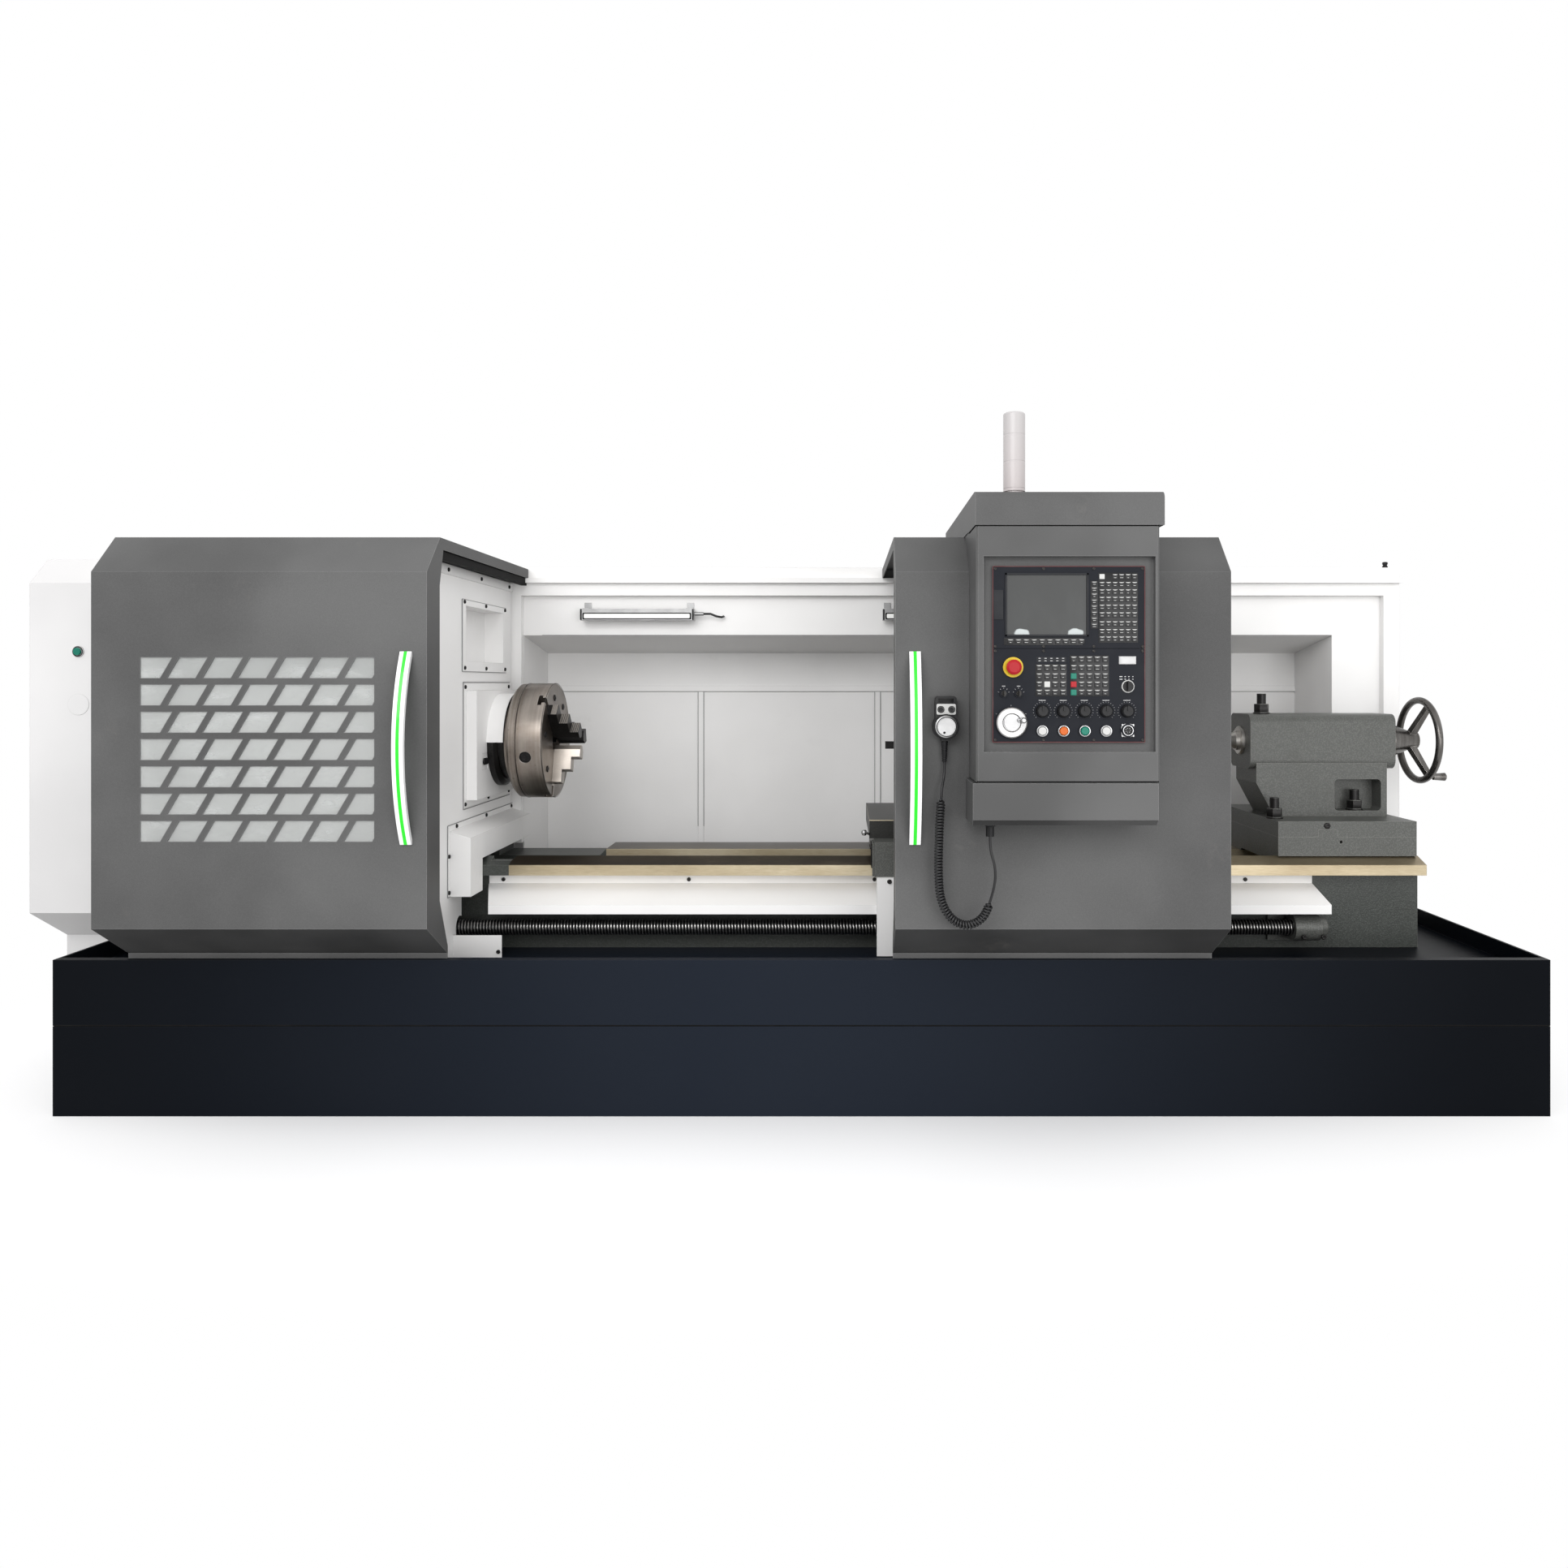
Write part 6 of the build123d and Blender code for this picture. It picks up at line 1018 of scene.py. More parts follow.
@dataclass
class CurlyCord:
    """The pendant's cord: a straight end, a spring of turns that hangs in a loop, and an end up into the gland."""

    diameter: float = 0.007
    curl: float = 0.0095
    pitch: float = 0.0083
    per_turn: int = 12
    down: tuple[Point, ...] = ((544, -687, 1060), (544, -687, 1025), (535.4, -704.8, 992), (533, -706, 959))
    coil: tuple[Point, ...] = ((533, -706, 959), (529, -708, 904), (527, -709, 848), (525, -708, 788),
                               (526, -709, 730), (530, -711, 684), (545, -714, 645), (571, -718, 617),
                               (604, -724, 608), (636, -731, 622), (656, -738, 648), (664, -742, 676))
    up: tuple[Point, ...] = ((664, -742, 676), (672, -746, 704), (680, -747, 743), (677, -748, 784),
                             (664, -748, 820), (664, -748, 860))

    @staticmethod
    def spline(name: str, points: np.ndarray, steps: int) -> bpy.types.Object:
        """An open NURBS curve through control points in metres, order 3 and starting at its first point."""
        data = bpy.data.curves.new(name, "CURVE")
        data.dimensions = "3D"
        line = data.splines.new("NURBS")
        line.points.add(len(points) - 1)
        line.points.foreach_set("co", np.column_stack([points, np.ones(len(points))]).ravel())
        line.order_u = 3
        line.use_endpoint_u = True
        data.resolution_u = line.resolution_u = steps
        return bpy.data.objects.new(name, data)

    def helix(self) -> np.ndarray:
        """Points of the turns: the middle line plus a circle across it that advances one pitch a turn.

        Returns:
            The turns' control points in metres, swelling over the first and last turn and a half.
        """
        guide = self.spline("coil_guide", np.array(self.coil) * MM, 24)
        mesh = bpy.data.meshes.new_from_object(guide)
        line = np.zeros(len(mesh.vertices) * 3)
        mesh.vertices.foreach_get("co", line)
        line = line.reshape(-1, 3)
        bpy.data.objects.remove(guide)
        bpy.data.meshes.remove(mesh)
        along = np.concatenate([[0.0], np.cumsum(np.linalg.norm(np.diff(line, axis=0), axis=1))])
        turns = round(along[-1] / self.pitch)
        at = np.linspace(0.0, along[-1], turns * self.per_turn + 1)
        middle = np.stack([np.interp(at, along, line[:, k]) for k in range(3)], 1)
        ahead = np.gradient(middle, axis=0)
        ahead = ahead / np.linalg.norm(ahead, axis=1, keepdims=True)
        side, up = carried_frames(ahead)
        angle = at / along[-1] * turns * math.tau
        swell = np.clip(np.minimum(at, along[-1] - at) / (1.5 * self.pitch), 0.0, 1.0)
        radius = (self.curl * swell * swell * (3 - 2 * swell))[:, None]
        LOG.info("curly cord: %d turns on %.3f m", turns, along[-1])
        return middle + radius * (np.cos(angle)[:, None] * side + np.sin(angle)[:, None] * up)

    def build(self, shop: Workshop, rubber: Any) -> None:
        """Args:
            shop: where finishes come from.
            rubber: the cord's finish.
        """
        route = np.vstack([np.array(self.down)[:-1] * MM, self.helix(), np.array(self.up)[1:] * MM])
        cord = self.spline("pendant_lead", route, 4)
        cord.data.bevel_depth = self.diameter / 2
        cord.data.bevel_resolution = 2
        cord.data.use_fill_caps = True
        cord.data.materials.append(shop.finish(rubber))
        bpy.context.scene.collection.objects.link(cord)
        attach(cord, "right_door")
        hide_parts("pendant_cord", "pendant_coil")
        bare = bpy.data.meshes.new_from_object(cord.evaluated_get(bpy.context.evaluated_depsgraph_get()))
        LOG.info("made pendant_lead: %d points, %d faces", len(route), len(bare.polygons))
        bpy.data.meshes.remove(bare)

    @staticmethod
    def length(route: np.ndarray) -> float:
        """Length of the runs between control points, which the smooth line is a little shorter than."""
        return round(float(np.linalg.norm(np.diff(route, axis=0), axis=1).sum()) * 0.985, 2)


# New pieces, one class for each part of the machine, in millimetres

@dataclass
class Fittings:
    """New pieces of one part of the machine, put on it by the workshop."""

    shop: Workshop

    def build(self) -> None:
        """Makes the pieces."""
        raise NotImplementedError


@dataclass
class GuardFittings(Fittings):
    """Screws, a black strip of painted shade in the gap under the roof flange, lamp fronts and leads, seams, latch and
    knob of the white guards.
    """

    wall_x: float = -982.0
    rear_y: float = 753.5
    lamp_lefts: tuple[float, float] = (-721.0, 408.0)
    lamp_length: float = 425.0
    lamp_front: tuple[float, float] = (352.0, 1532.5)
    lead_start: tuple[float, float] = (372.0, 1542.0)
    joint: float = 1.2
    joint_bevel: float = 0.4

    def wall_places(self) -> list[Point]:
        """Screw places on the inner wall.

        Returns:
            Places on the angle strip, the window plate, the spindle guard's flange and the way guard's flange.
        """
        x = self.wall_x
        angle = [(x + 6, y, 1638) for y in (-326, -1, 322)]
        window = [(x + 3, y, z) for z, ys in ((1549, (-166, 57, 279)), (1333, (-163, 60, 280))) for y in ys]
        flange = [(x + 2, y, z) for y in (-156, 328) for z in (885, 1270)]
        ways = [(x + 2, y, z) for y, z in ((-240, 825), (65, 825), (362, 825), (-310, 737), (-310, 623), (86, 885))]
        return angle + window + flange + ways

    def build(self) -> None:
        """Makes the pieces."""
        head = cap_screw(6.5, 4.5)
        self.shop.place("guard_screws", head.facing(Facing.RIGHT, *self.wall_places()), "frame", "black_steel", BLACKED)
        foot = head.facing(Facing.OPERATOR, (-837.6, -266, 428))
        strip = head.facing(Facing.OPERATOR, *((x, -125, 634) for x in (-863, -250, 363, 976, 1589)))
        self.shop.place("strip_screws", foot.joined(strip), "frame", "black_steel", BLACKED)
        # Painted shade: a black strip fills the gap under the roof flange.
        self.shop.place("gap_shade_strip", bar((-945, -552, 1648), (-925, 374, 1674.5)), "left_door", "black_plastic", SEAL)
        knob = revolve([(9, 0), (10, 6), (7, 10), (10, 16), (9, 22), (0, 24)], 24)
        self.shop.place("beam_knob", knob.at((2302, 400, 1716)), "frame", "black_plastic", BLACK_PLASTIC)
        for side, left in zip(("left", "right"), self.lamp_lefts):
            self.lamp(side, left)
        self.seams()
        self.latch()

    def lamp(self, side: str, left: float) -> None:
        """A work light's diffuser with its rim and end caps, and the lead at its right end.

        Args:
            side: the light's side of the machine, for the pieces' names.
            left: X of the light's left end.
        """
        half = self.lamp_length / 2
        rim = pad(self.lamp_length - 20, 24.5, 1.0, 3, 0.6, 1)
        glass = pad(self.lamp_length - 30, 17, 2.2, 4, 1.2, 0, 0.4)
        ends = pad(6, 40, 1.6, 1, 0.6, 2).at((4 - half, 6, 0), (half - 4, 6, 0))
        front = rim.joined(glass, ends).facing(Facing.OPERATOR, (left + half, *self.lamp_front))
        self.shop.place(f"lamp_front_{side}", front, "frame", "white_plastic", DIFFUSER, SEAL, BLACK_PLASTIC)
        start = np.array((left + self.lamp_length + 30, *self.lead_start))
        route = start + [(0, 0, 0), (30, 0, 0), (52, 2, -9), (70, 12, -12), (76.5, 24, -8)]
        self.shop.place(f"lamp_lead_{side}", tube(route, 4.2, 12), "frame", "black_plastic", RUBBER, soft=Soft.ROUND)

    def seams(self) -> None:
        """Grey sealant lines on the rear wall, dark joints under the beam and round the wall's plates."""
        y, half, bevel = self.rear_y, self.joint, self.joint_bevel
        lines = [bar((-944, y, 1248), (2104, y + 3, 1250), bevel)]
        lines += [bar((x - half, y, 700), (x + half, y + 3, 1247), bevel) for x in (-331, -308, 390, 413)]
        lines.append(bar((-875, 406.8, 1462.8), (2104, 409.2, 1465.2), bevel, 1))
        lines.append(bar((-2080.5, -518.3, 267.2), (2352.5, -516.5, 270.8), bevel, 2))
        x, out = self.wall_x, self.wall_x + 3.2
        for y0, y1, z0, z1 in ((-182, 296, 1321, 1557), (-172, 344, 869, 1286), (-319, 377, 609, 834)):
            lines += [bar(low, high, bevel, 1) for low, high in (((x, y0 - half, z0), (out, y0 + half, z1)),
                                                                 ((x, y0, z1 - half), (out, y1, z1 + half)),
                                                                 ((x, y0, z0 - half), (out, y1, z0 + half)))]
        self.shop.place("sheet_seams", Shape.whole(lines), "frame", "grey_paint", SEAM_GREY, SEAM_DARK, SEAL)

    def latch(self) -> None:
        """Black double-lobed latch insert in the wall's recess left of the chuck."""
        lobe = revolve([(11.5, 0), (11.5, 4), (9.5, 6), (0, 6.2)], 28)
        both = lobe.at((0, 11, 0), (0, -11, 0)).joined(pad(12, 26, 4.2, 3, 1))
        self.shop.place("wall_latch", both.facing(Facing.RIGHT, (-944.5, -59, 1020)), "frame", "black_plastic",
                        BLACK_PLASTIC)


@dataclass
class WayFittings(Fittings):
    """The ball screw's thread, the saddle's wiper, the apron's screws and the slide's lock lever."""

    left: float = -1150.0
    right: float = 1795.0
    centre: tuple[float, float] = (-202.0, 493.0)
    radius: float = 25.0
    pitch: float = 10.0
    depth: float = 2.8
    groove: float = 0.62
    crest_margin: float = 0.04
    per_pitch: int = 8
    around: int = 24

    def thread(self) -> Shape:
        """Screw surface: radius less a round groove whose place along X turns with the angle, one pitch a turn.

        Returns:
            The threaded bar with flat ends, its crests in the second finish, a bright painted highlight.
        """
        steps = int((self.right - self.left) / self.pitch * self.per_pitch)
        x = np.linspace(self.left, self.right, steps)
        angle = np.arange(self.around) * math.tau / self.around
        pitches = np.linspace(self.left / 1000, self.right / 1000, steps) / (self.pitch / 1000)
        phase = (pitches[:, None] - angle[None, :] / math.tau) % 1.0
        inside = np.clip(phase / self.groove, 0.0, 1.0)
        radius = self.radius - self.depth * np.sqrt(np.clip(1.0 - (2.0 * inside - 1.0) ** 2, 0.0, 1.0))
        points = np.stack([np.repeat(x[:, None], self.around, 1), self.centre[0] + radius * np.cos(angle),
                           self.centre[1] + radius * np.sin(angle)], -1).reshape(-1, 3)
        faces: list[tuple[int, ...]] = list(grid_faces(steps, self.around, True))
        corner = phase.reshape(-1)[np.array(faces)].mean(axis=1)
        # Crest faces take the painted highlight finish; grooves keep the screw's black.
        finishes = [int(v > self.groove + self.crest_margin) for v in corner]
        ends = [tuple(range(self.around))[::-1], tuple(range((steps - 1) * self.around, steps * self.around))]
        return Shape(points, [*faces, *ends], [*finishes, 0, 0])

    def build(self) -> None:
        """Makes the pieces."""
        screw = self.shop.place("screw_thread", self.thread(), "leadscrew", "bright_steel", THREAD, CREST_HIGHLIGHT)
        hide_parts("leadscrew")
        wiper = bar((352, -274, 700), (358.8, -186, 773.5), 1.2).joined(
            bar((349, -268, 694), (351.8, -192, 771.5), 0.6, 1), bar((352, -274, 669), (358.8, -262, 699)),
            cap_screw(5.5, 4, 2).facing(Facing.LEFT, (348.9, -255, 758), (348.9, -205, 758)))
        self.shop.place("way_wiper", wiper, "carriage", "bright_steel", CASTING, SEAL, BLACKED)
        bolts = cap_screw(7.5, 5).facing(Facing.OPERATOR, (406, -290, 655), (812, -290, 655))
        self.shop.place("apron_screws", bolts, "carriage", "black_steel", BLACKED)
        lever = tube(np.array([(345, -190, 792), (338, -196, 796), (330, -200, 797)], float), 4, 12)
        ball = revolve([(0.1, -10), (6, -8), (10, 0), (8.5, 6), (5, 9), (0, 10)], 20).at((328, -201, 798))
        self.shop.place("slide_lock", lever.joined(ball), "cross_slide", "bright_steel", CHROME, soft=Soft.ROUND)


@dataclass
class ChuckFittings(Fittings):
    """Face screws, pinion sockets, jaw serrations and joint lines of the chuck."""

    face: float = -750.0
    body: float = 90.0
    bolt_ring: float = 150.0
    first: float = 46.0
    jaws: int = 3
    jaw_steps: tuple[float, ...] = (92.0, 62.0, 32.0, 10.0)
    step_length: float = 44.3
    jaw_inner: float = 20.0
    jaw_half: float = 22.5
    ribs: int = 6

    @staticmethod
    def circle(radius: float, degrees: Any, x: Any) -> np.ndarray:
        """Points on a circle about the spindle, the angle counted from -Y towards +Z."""
        a = np.radians(degrees)
        return np.stack(np.broadcast_arrays(x, SPINDLE_Y - radius * np.cos(a), SPINDLE_Z + radius * np.sin(a)), -1)

    @staticmethod
    def about_spindle(shape: Shape, degrees: float, x: float = 0.0) -> Shape:
        """The shape turned about X by the angle, y cos a + z sin a and z cos a - y sin a, and set on the spindle.

        Args:
            shape: a shape drawn about the X axis, with its outside at -Y.
            degrees: the angle from -Y towards +Z.
            x: how far it moves along X.

        Returns:
            The turned shape.
        """
        a = math.radians(degrees)
        along, y, z = shape.points.T
        return Shape(np.stack([along + x, y * math.cos(a) + z * math.sin(a) + SPINDLE_Y,
                               z * math.cos(a) - y * math.sin(a) + SPINDLE_Z], 1), shape.faces, shape.finishes)

    def serrations(self) -> Shape:
        """Fine ribs across the steps of one jaw, which points to -Y: evenly spaced along X on each step.

        Returns:
            All ribs of the jaw.
        """
        ribs = []
        for number, (height, below) in enumerate(zip(self.jaw_steps, self.jaw_steps[1:]), 1):
            radius = self.jaw_inner + self.step_length * number
            for x in self.face + below + 3 + (height - below - 6) * np.arange(self.ribs) / (self.ribs - 1):
                ribs.append(bar((x - 1.1, -radius - 1.0, -self.jaw_half), (x + 1.1, 0.6 - radius, self.jaw_half), 0.4))
        return Shape.whole(ribs)

    def build(self) -> None:
        """Makes the pieces."""
        corners = [self.first + 360.0 / self.jaws * (k + 0.5) for k in range(self.jaws)]
        places = [self.circle(self.bolt_ring, corner + off, self.face) for corner in corners for off in (-24, 24)]
        self.shop.place("chuck_screws", cap_screw(11, 3.5).facing(Facing.RIGHT, *places), "spindle", "black_steel",
                        BLACKED)
        pinion = revolve([(19.2, 0), (19.2, 4), (18, 5.5), (10, 5.5), (8.5, 4), (8, 0.5), (0, 0)], 40)
        pinion = pinion.facing(Facing.OPERATOR, (0, -188.5, 0))
        rim = [self.about_spindle(pinion, corner, self.face - self.body * 0.62) for corner in corners]
        self.shop.place("chuck_pinions", Shape.whole(rim), "spindle", "black_steel", BLACKED)
        ribs = self.serrations()
        for k in range(self.jaws):
            turned = self.about_spindle(ribs, self.first - 360.0 / self.jaws * k)
            self.shop.place(f"jaw_ribs_{k + 1}", turned, f"chuck_jaw_{k + 1}", "bright_steel", JAW_LIGHT)
        round_turn = np.linspace(0, 360, 97)[:-1]
        lines = [tube(self.circle(200.2, round_turn, x), thick, 6, True) for x, thick in ((-839.2, 0.8), (-751.2, 0.7))]
        self.shop.place("chuck_lines", Shape.whole(lines), "spindle", "chuck_steel", BLACKED, soft=Soft.ROUND)


class KeyLook(Enum):
    """The caps' colours, as finish numbers of the key pieces."""

    BLACK = 0
    WHITE = 1
    GREEN = 2
    RED = 3


@dataclass(frozen=True)
class KeyBlock:
    """Equal caps in rows and columns; odd ones, by column and row, have another look or None for no cap."""

    left: float
    step: float
    count: int
    tops: Sequence[float]
    width: float
    height: float
    odd: dict[tuple[int, int], Optional[KeyLook]] = field(default_factory=dict)

    def caps(self) -> list[tuple[float, float, KeyLook]]:
        """Middle in X and Z and look of each cap, row by row."""
        looks = [(i, top, self.odd.get((i, j), KeyLook.BLACK)) for j, top in enumerate(self.tops)
                 for i in range(self.count)]
        return [(self.left + self.step * i + self.width / 2, top - self.height / 2, look) for i, top, look in looks
                if look is not None]


KEY_BLOCKS = (
    KeyBlock(700, 21.2, 10, (1401,), 16.3, 13.0),
    KeyBlock(925.4, 0, 1, [1556 - 16.2 * i for i in range(8)], 15.5, 11.5),
    KeyBlock(946.5, 17.45, 6, (1576, 1555, 1535, 1515, 1494, 1473.5, 1449.4, 1428.5, 1408.6), 15.0, 14.6,
             {(0, 0): KeyLook.WHITE, (1, 0): None}),
    KeyBlock(777.2, 21.3, 4, (1331.9, 1309.6, 1287.4, 1265.7), 16.4, 16.4, {(1, 2): KeyLook.WHITE}),
    KeyBlock(869.6, 21.2, 5, (1354.7, 1331.9, 1309.6, 1287.4, 1265.7), 16.4, 16.4,
             {(0, 2): KeyLook.GREEN, (0, 3): KeyLook.RED, (0, 4): KeyLook.GREEN}),
)


@dataclass
class PanelFittings(Fittings):
    """Everything small on the two panels: caps, scales, bezels, plates, screws and the outline."""

    front: float = -830.0
    left: float = 661.0
    right: float = 1069.0
    seam: float = 1375.0
    low: float = 1124.0
    top: float = 1596.0
    knobs: tuple[float, ...] = (793.4, 849.9, 906.3, 964.5, 1020.9)
    knob_z: float = 1207.8
    buttons: tuple[float, ...] = (793.4, 850.7, 907.4, 964.9)
    button_z: float = 1154.1
    switches: tuple[float, ...] = (690.0, 730.0)
    switch_z: float = 1254.9
    wheel: tuple[float, float] = (710.0, 1176.5)
    screen: tuple[float, float] = (805.7, 1493.0)
    screen_size: tuple[float, float] = (214.0, 160.0)
    frame_width: float = 5.0
    screw_inset: float = 6.0
    cap_rise: float = 2.2

    def on_panel(self, shape: Shape, *places: Sequence[float], off: float = 0.0) -> Shape:
        """A shape turned to face the operator at (x, z) places on the panel, or so far in front of it."""
        return shape.facing(Facing.OPERATOR, *((x, self.front - off, z) for x, z in places))

    def highlight_crescent(self, width: float, height: float) -> Shape:
        """White sheet at a cap's top that paints the highlight on its scooped face: rows between its top edge and a
        curve that sags in the middle.

        Args:
            width: the cap's width.
            height: the cap's height.

        Returns:
            An open sheet in the second finish.
        """
        u = np.linspace(-1.0, 1.0, 11)
        v = np.linspace(0.0, 1.0, 4)[:, None]
        top = np.full(11, height / 2 - 1.3)
        sag = top - 0.6 - height * 0.13 * (1.0 - u ** 2)
        y = sag * (1 - v) + top * v
        x = np.broadcast_to(u * (width / 2 - 0.9), y.shape)
        z = self.cap_rise + 0.05 + 0.7 * np.sin(v * math.pi / 2) * (1.0 - 0.4 * u * u)
        return Shape.empty().add(np.stack([x, y, z], -1).reshape(-1, 3), grid_faces(4, 11, False), 1)

    def caps(self) -> None:
        """Key caps with painted highlights on their scoops and small blank marks, in place of the plain key blocks."""
        parts = [self.on_panel(pad(width, height, 0.8, 2, 0.3), (x, z)) for x, z, width, height in (
            (796.5, 1394.5, 212, 20), (933.1, 1493.3, 19.5, 128.5), (997.6, 1485, 106, 188), (817.3, 1290.6, 84, 87),
            (920.2, 1302, 105, 110))]
        keys = [(block, *cap) for block in KEY_BLOCKS for cap in block.caps()]
        for number, (block, x, z, look) in enumerate(keys):
            cap = pad(block.width - 1, block.height - 1, self.cap_rise, 1.2, 0.8, look.value, -0.3, 3)
            if look is KeyLook.BLACK:
                mark = printed(block.width * (0.30 + 0.12 * (number * 7 % 3)), 1.1, 0.3, 0.2, 1)
                # Painted highlight: a white curved strip on the scooped top of each black cap.
                cap = cap.joined(self.highlight_crescent(block.width, block.height), mark.at((0, -block.height * 0.22, 2.1)))
            parts.append(self.on_panel(cap, (x, z)))
        caps = self.shop.place("key_caps", Shape.whole(parts), "right_door", "black_plastic", KEY_BLACK, WHITE_PLASTIC,
                               TEAL_PLASTIC, RED_PLASTIC)
        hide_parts("panel_keys")

    @staticmethod
    def scale(radius: float, count: int, spread: float, long: float) -> Shape:
        """Ring of tick marks: thin bars turned evenly over the spread in degrees, their inner ends on the radius."""
        tick = printed(0.8, long, 0.3, 0.2).at((0, radius + long / 2, 0))
        return Shape.whole(tick.spun(float(degrees)) for degrees in np.linspace(-spread / 2, spread / 2, count))

    def scales(self) -> None:
        """White scales round the knobs, the selector, the key switches and the panel wheel."""
        ring = revolve([(21.2, 0), (21.2, 0.4), (20.2, 0.4), (20.2, 0)], 40)
        parts = []
        for x in self.knobs:
            parts += [self.on_panel(self.scale(22.2, 17, 270, 2.8), (x, self.knob_z)),
                      self.on_panel(ring, (x, self.knob_z)),
                      self.on_panel(printed(19, 1.6), (x, self.knob_z + 28.5))]
        for x in self.switches:
            parts += [self.on_panel(self.scale(12.8, 5, 150, 3.0), (x, self.switch_z)),
                      self.on_panel(printed(9, 1.6), (x, self.switch_z + 19.6))]
        parts += [self.on_panel(self.scale(*arc), self.wheel) for arc in ((42.5, 61, 118, 1.0), (44.5, 3, 118, 2.8))]
        parts += [self.on_panel(printed(width, 2.2, corner=0.4), (x, z)) for z, widths in ((1300, (8, 4, 4, 3)),
                                                                                         (1293, (8, 4, 3, 3)))
                  for x, width in zip((1005, 1016.5, 1026.5, 1037), widths)]
        self.shop.place("panel_scales", Shape.whole(parts), "right_door", "white_plastic", MARK_WHITE)

    def bezels(self) -> None:
        """Rings round the buttons, the selector, the stop button and the key switches, and the data port."""
        for name, profile, steps, places, slot, recipe in (
                ("button_bezels", [(16.3, 0), (16.3, 3.5), (15, 5.6), (12.8, 6), (11.4, 4.8), (11.4, 0)], 40,
                 [(x, self.button_z) for x in self.buttons], "bright_steel", CHROME),
                ("selector_ring", [(17.2, 0), (17.2, 2.8), (16, 4), (14.6, 4), (14.3, 2.8), (14.3, 0)], 40,
                 [(1023.5, 1273.7)], "white_plastic", WHITE_PLASTIC),
                ("stop_ring", [(28.4, 0), (28.4, 2.8), (27, 4.2), (13, 5), (12, 4.6), (12, 0)], 48,
                 [(715, 1325.2)], "orange_plastic", YELLOW_PLASTIC),
                ("switch_collars", [(11.5, 0), (11.5, 3.5), (10.5, 4.7), (7.8, 4.7), (7.6, 0)], 32,
                 [(x, self.switch_z) for x in self.switches], "black_plastic", BLACK_PLASTIC)):
            self.shop.place(name, self.on_panel(revolve(profile, steps), *places), "right_door", slot, recipe)
        rim = revolve([(15, 3), (15, 8), (13.8, 9.2), (12.2, 9.2), (11.6, 7.5), (11.6, 3)], 36)
        inner = revolve([(11.2, 3), (11.2, 5.5), (10.4, 6.2), (0, 6.2)], 32, 1)
        pins = revolve([(1.1, 0), (1.1, 1.2), (0, 1.6)], 8).at(
            *((6 * math.cos(a), 6 * math.sin(a), 6) for a in np.arange(7) * math.tau / 7))
        screws = cap_screw(3.4, 2.2).at(*((x, y, 3) for x in (-14.5, 14.5) for y in (-14.5, 14.5)))
        port = pad(36, 36, 3, 10, 1, arc=4).joined(rim, inner, pins, screws)
        self.shop.place("data_port", self.on_panel(port, (1022.7, 1155.6)), "right_door", "bright_steel", CHROME,
                        BLACK_PLASTIC)

    def plates(self) -> None:
        """Blank plates, card door, screen frame and the panels' screws and outline."""
        legend = self.on_panel(pad(80, 14.5, 0.6, 1, 0.3), (818, 1345.5))
        bars = self.on_panel(printed(6.2, 1.6, finish=1), *((786.5 + 15.8 * i, z) for z in (1349.2, 1342.5)
                                                            for i in range(5)), off=0.6)
        blank = self.on_panel(pad(46, 21.5, 0.8, 1, 0.3, 2), (1022.5, 1344))
        door = self.on_panel(pad(26, 80, 0.9, 1, 0.4), (676, 1493))
        self.shop.place("panel_plates", legend.joined(bars, blank, door), "right_door", "black_plastic", PANEL_EDGE,
                        MARK_WHITE, SILVER)
        (x, z), (width, height), bead = self.screen, self.screen_size, self.frame_width
        across, up = (width + bead) / 2, (height + bead) / 2
        level, upright = (pad(*size, 3.5, 0.4, 0.4) for size in ((width + 2 * bead, bead), (bead, height + 2 * bead)))
        self.shop.place("screen_frame", self.on_panel(level, (x, z + up), (x, z - up)).joined(
            self.on_panel(upright, (x - across, z), (x + across, z))), "right_door", "black_plastic", PANEL_EDGE)
        inset = self.screw_inset
        places = [(x, z) for z in (self.top - inset, self.seam + inset, self.seam - inset, self.low + inset)
                  for x in (self.left + inset, 797, 932, self.right - inset)]
        self.shop.place("panel_screws", self.on_panel(cap_screw(4.2, 2.2), *places), "right_door", "black_steel",
                        BLACKED)
        corners = np.array([(x, self.front, z) for x, z in ((self.left, self.low), (self.right, self.low),
                                                            (self.right, self.top), (self.left, self.top))])
        runs = [tube(np.array(run), 1.1, 6) for run in zip(corners, np.roll(corners, -1, 0))]
        self.shop.place("panel_outline", Shape.whole(runs), "right_door", "red_plastic", OUTLINE_RED)

    def wheel_face(self) -> None:
        """Turned rings and the crank pin's socket on the panel wheel."""
        rings = Shape.whole(revolve(profile, steps) for profile, steps in (
            ([(40, 0), (40, 0.6), (38.5, 1), (37.5, 0.2), (37.5, 0)], 56),
            ([(26.2, 0), (26.2, 0.8), (24.8, 1.2), (24, 0.2), (24, 0)], 48),
            ([(12.5, 0), (12.5, 1.2), (11, 2), (5.2, 2), (4.8, 0)], 32)))
        self.shop.place("wheel_rings", self.on_panel(rings, self.wheel, off=14), "panel_handwheel", "bright_steel",
                        JAW_LIGHT)
        pin = revolve([(5.5, 0), (5.5, 4), (4.5, 5.2), (0, 5.6)], 20)
        self.shop.place("wheel_pin", self.on_panel(pin, (729, 1183), off=16), "panel_handwheel", "bright_steel", CHROME)

    def build(self) -> None:
        """Makes the pieces."""
        self.caps()
        self.scales()
        self.bezels()
        self.plates()
        self.wheel_face()


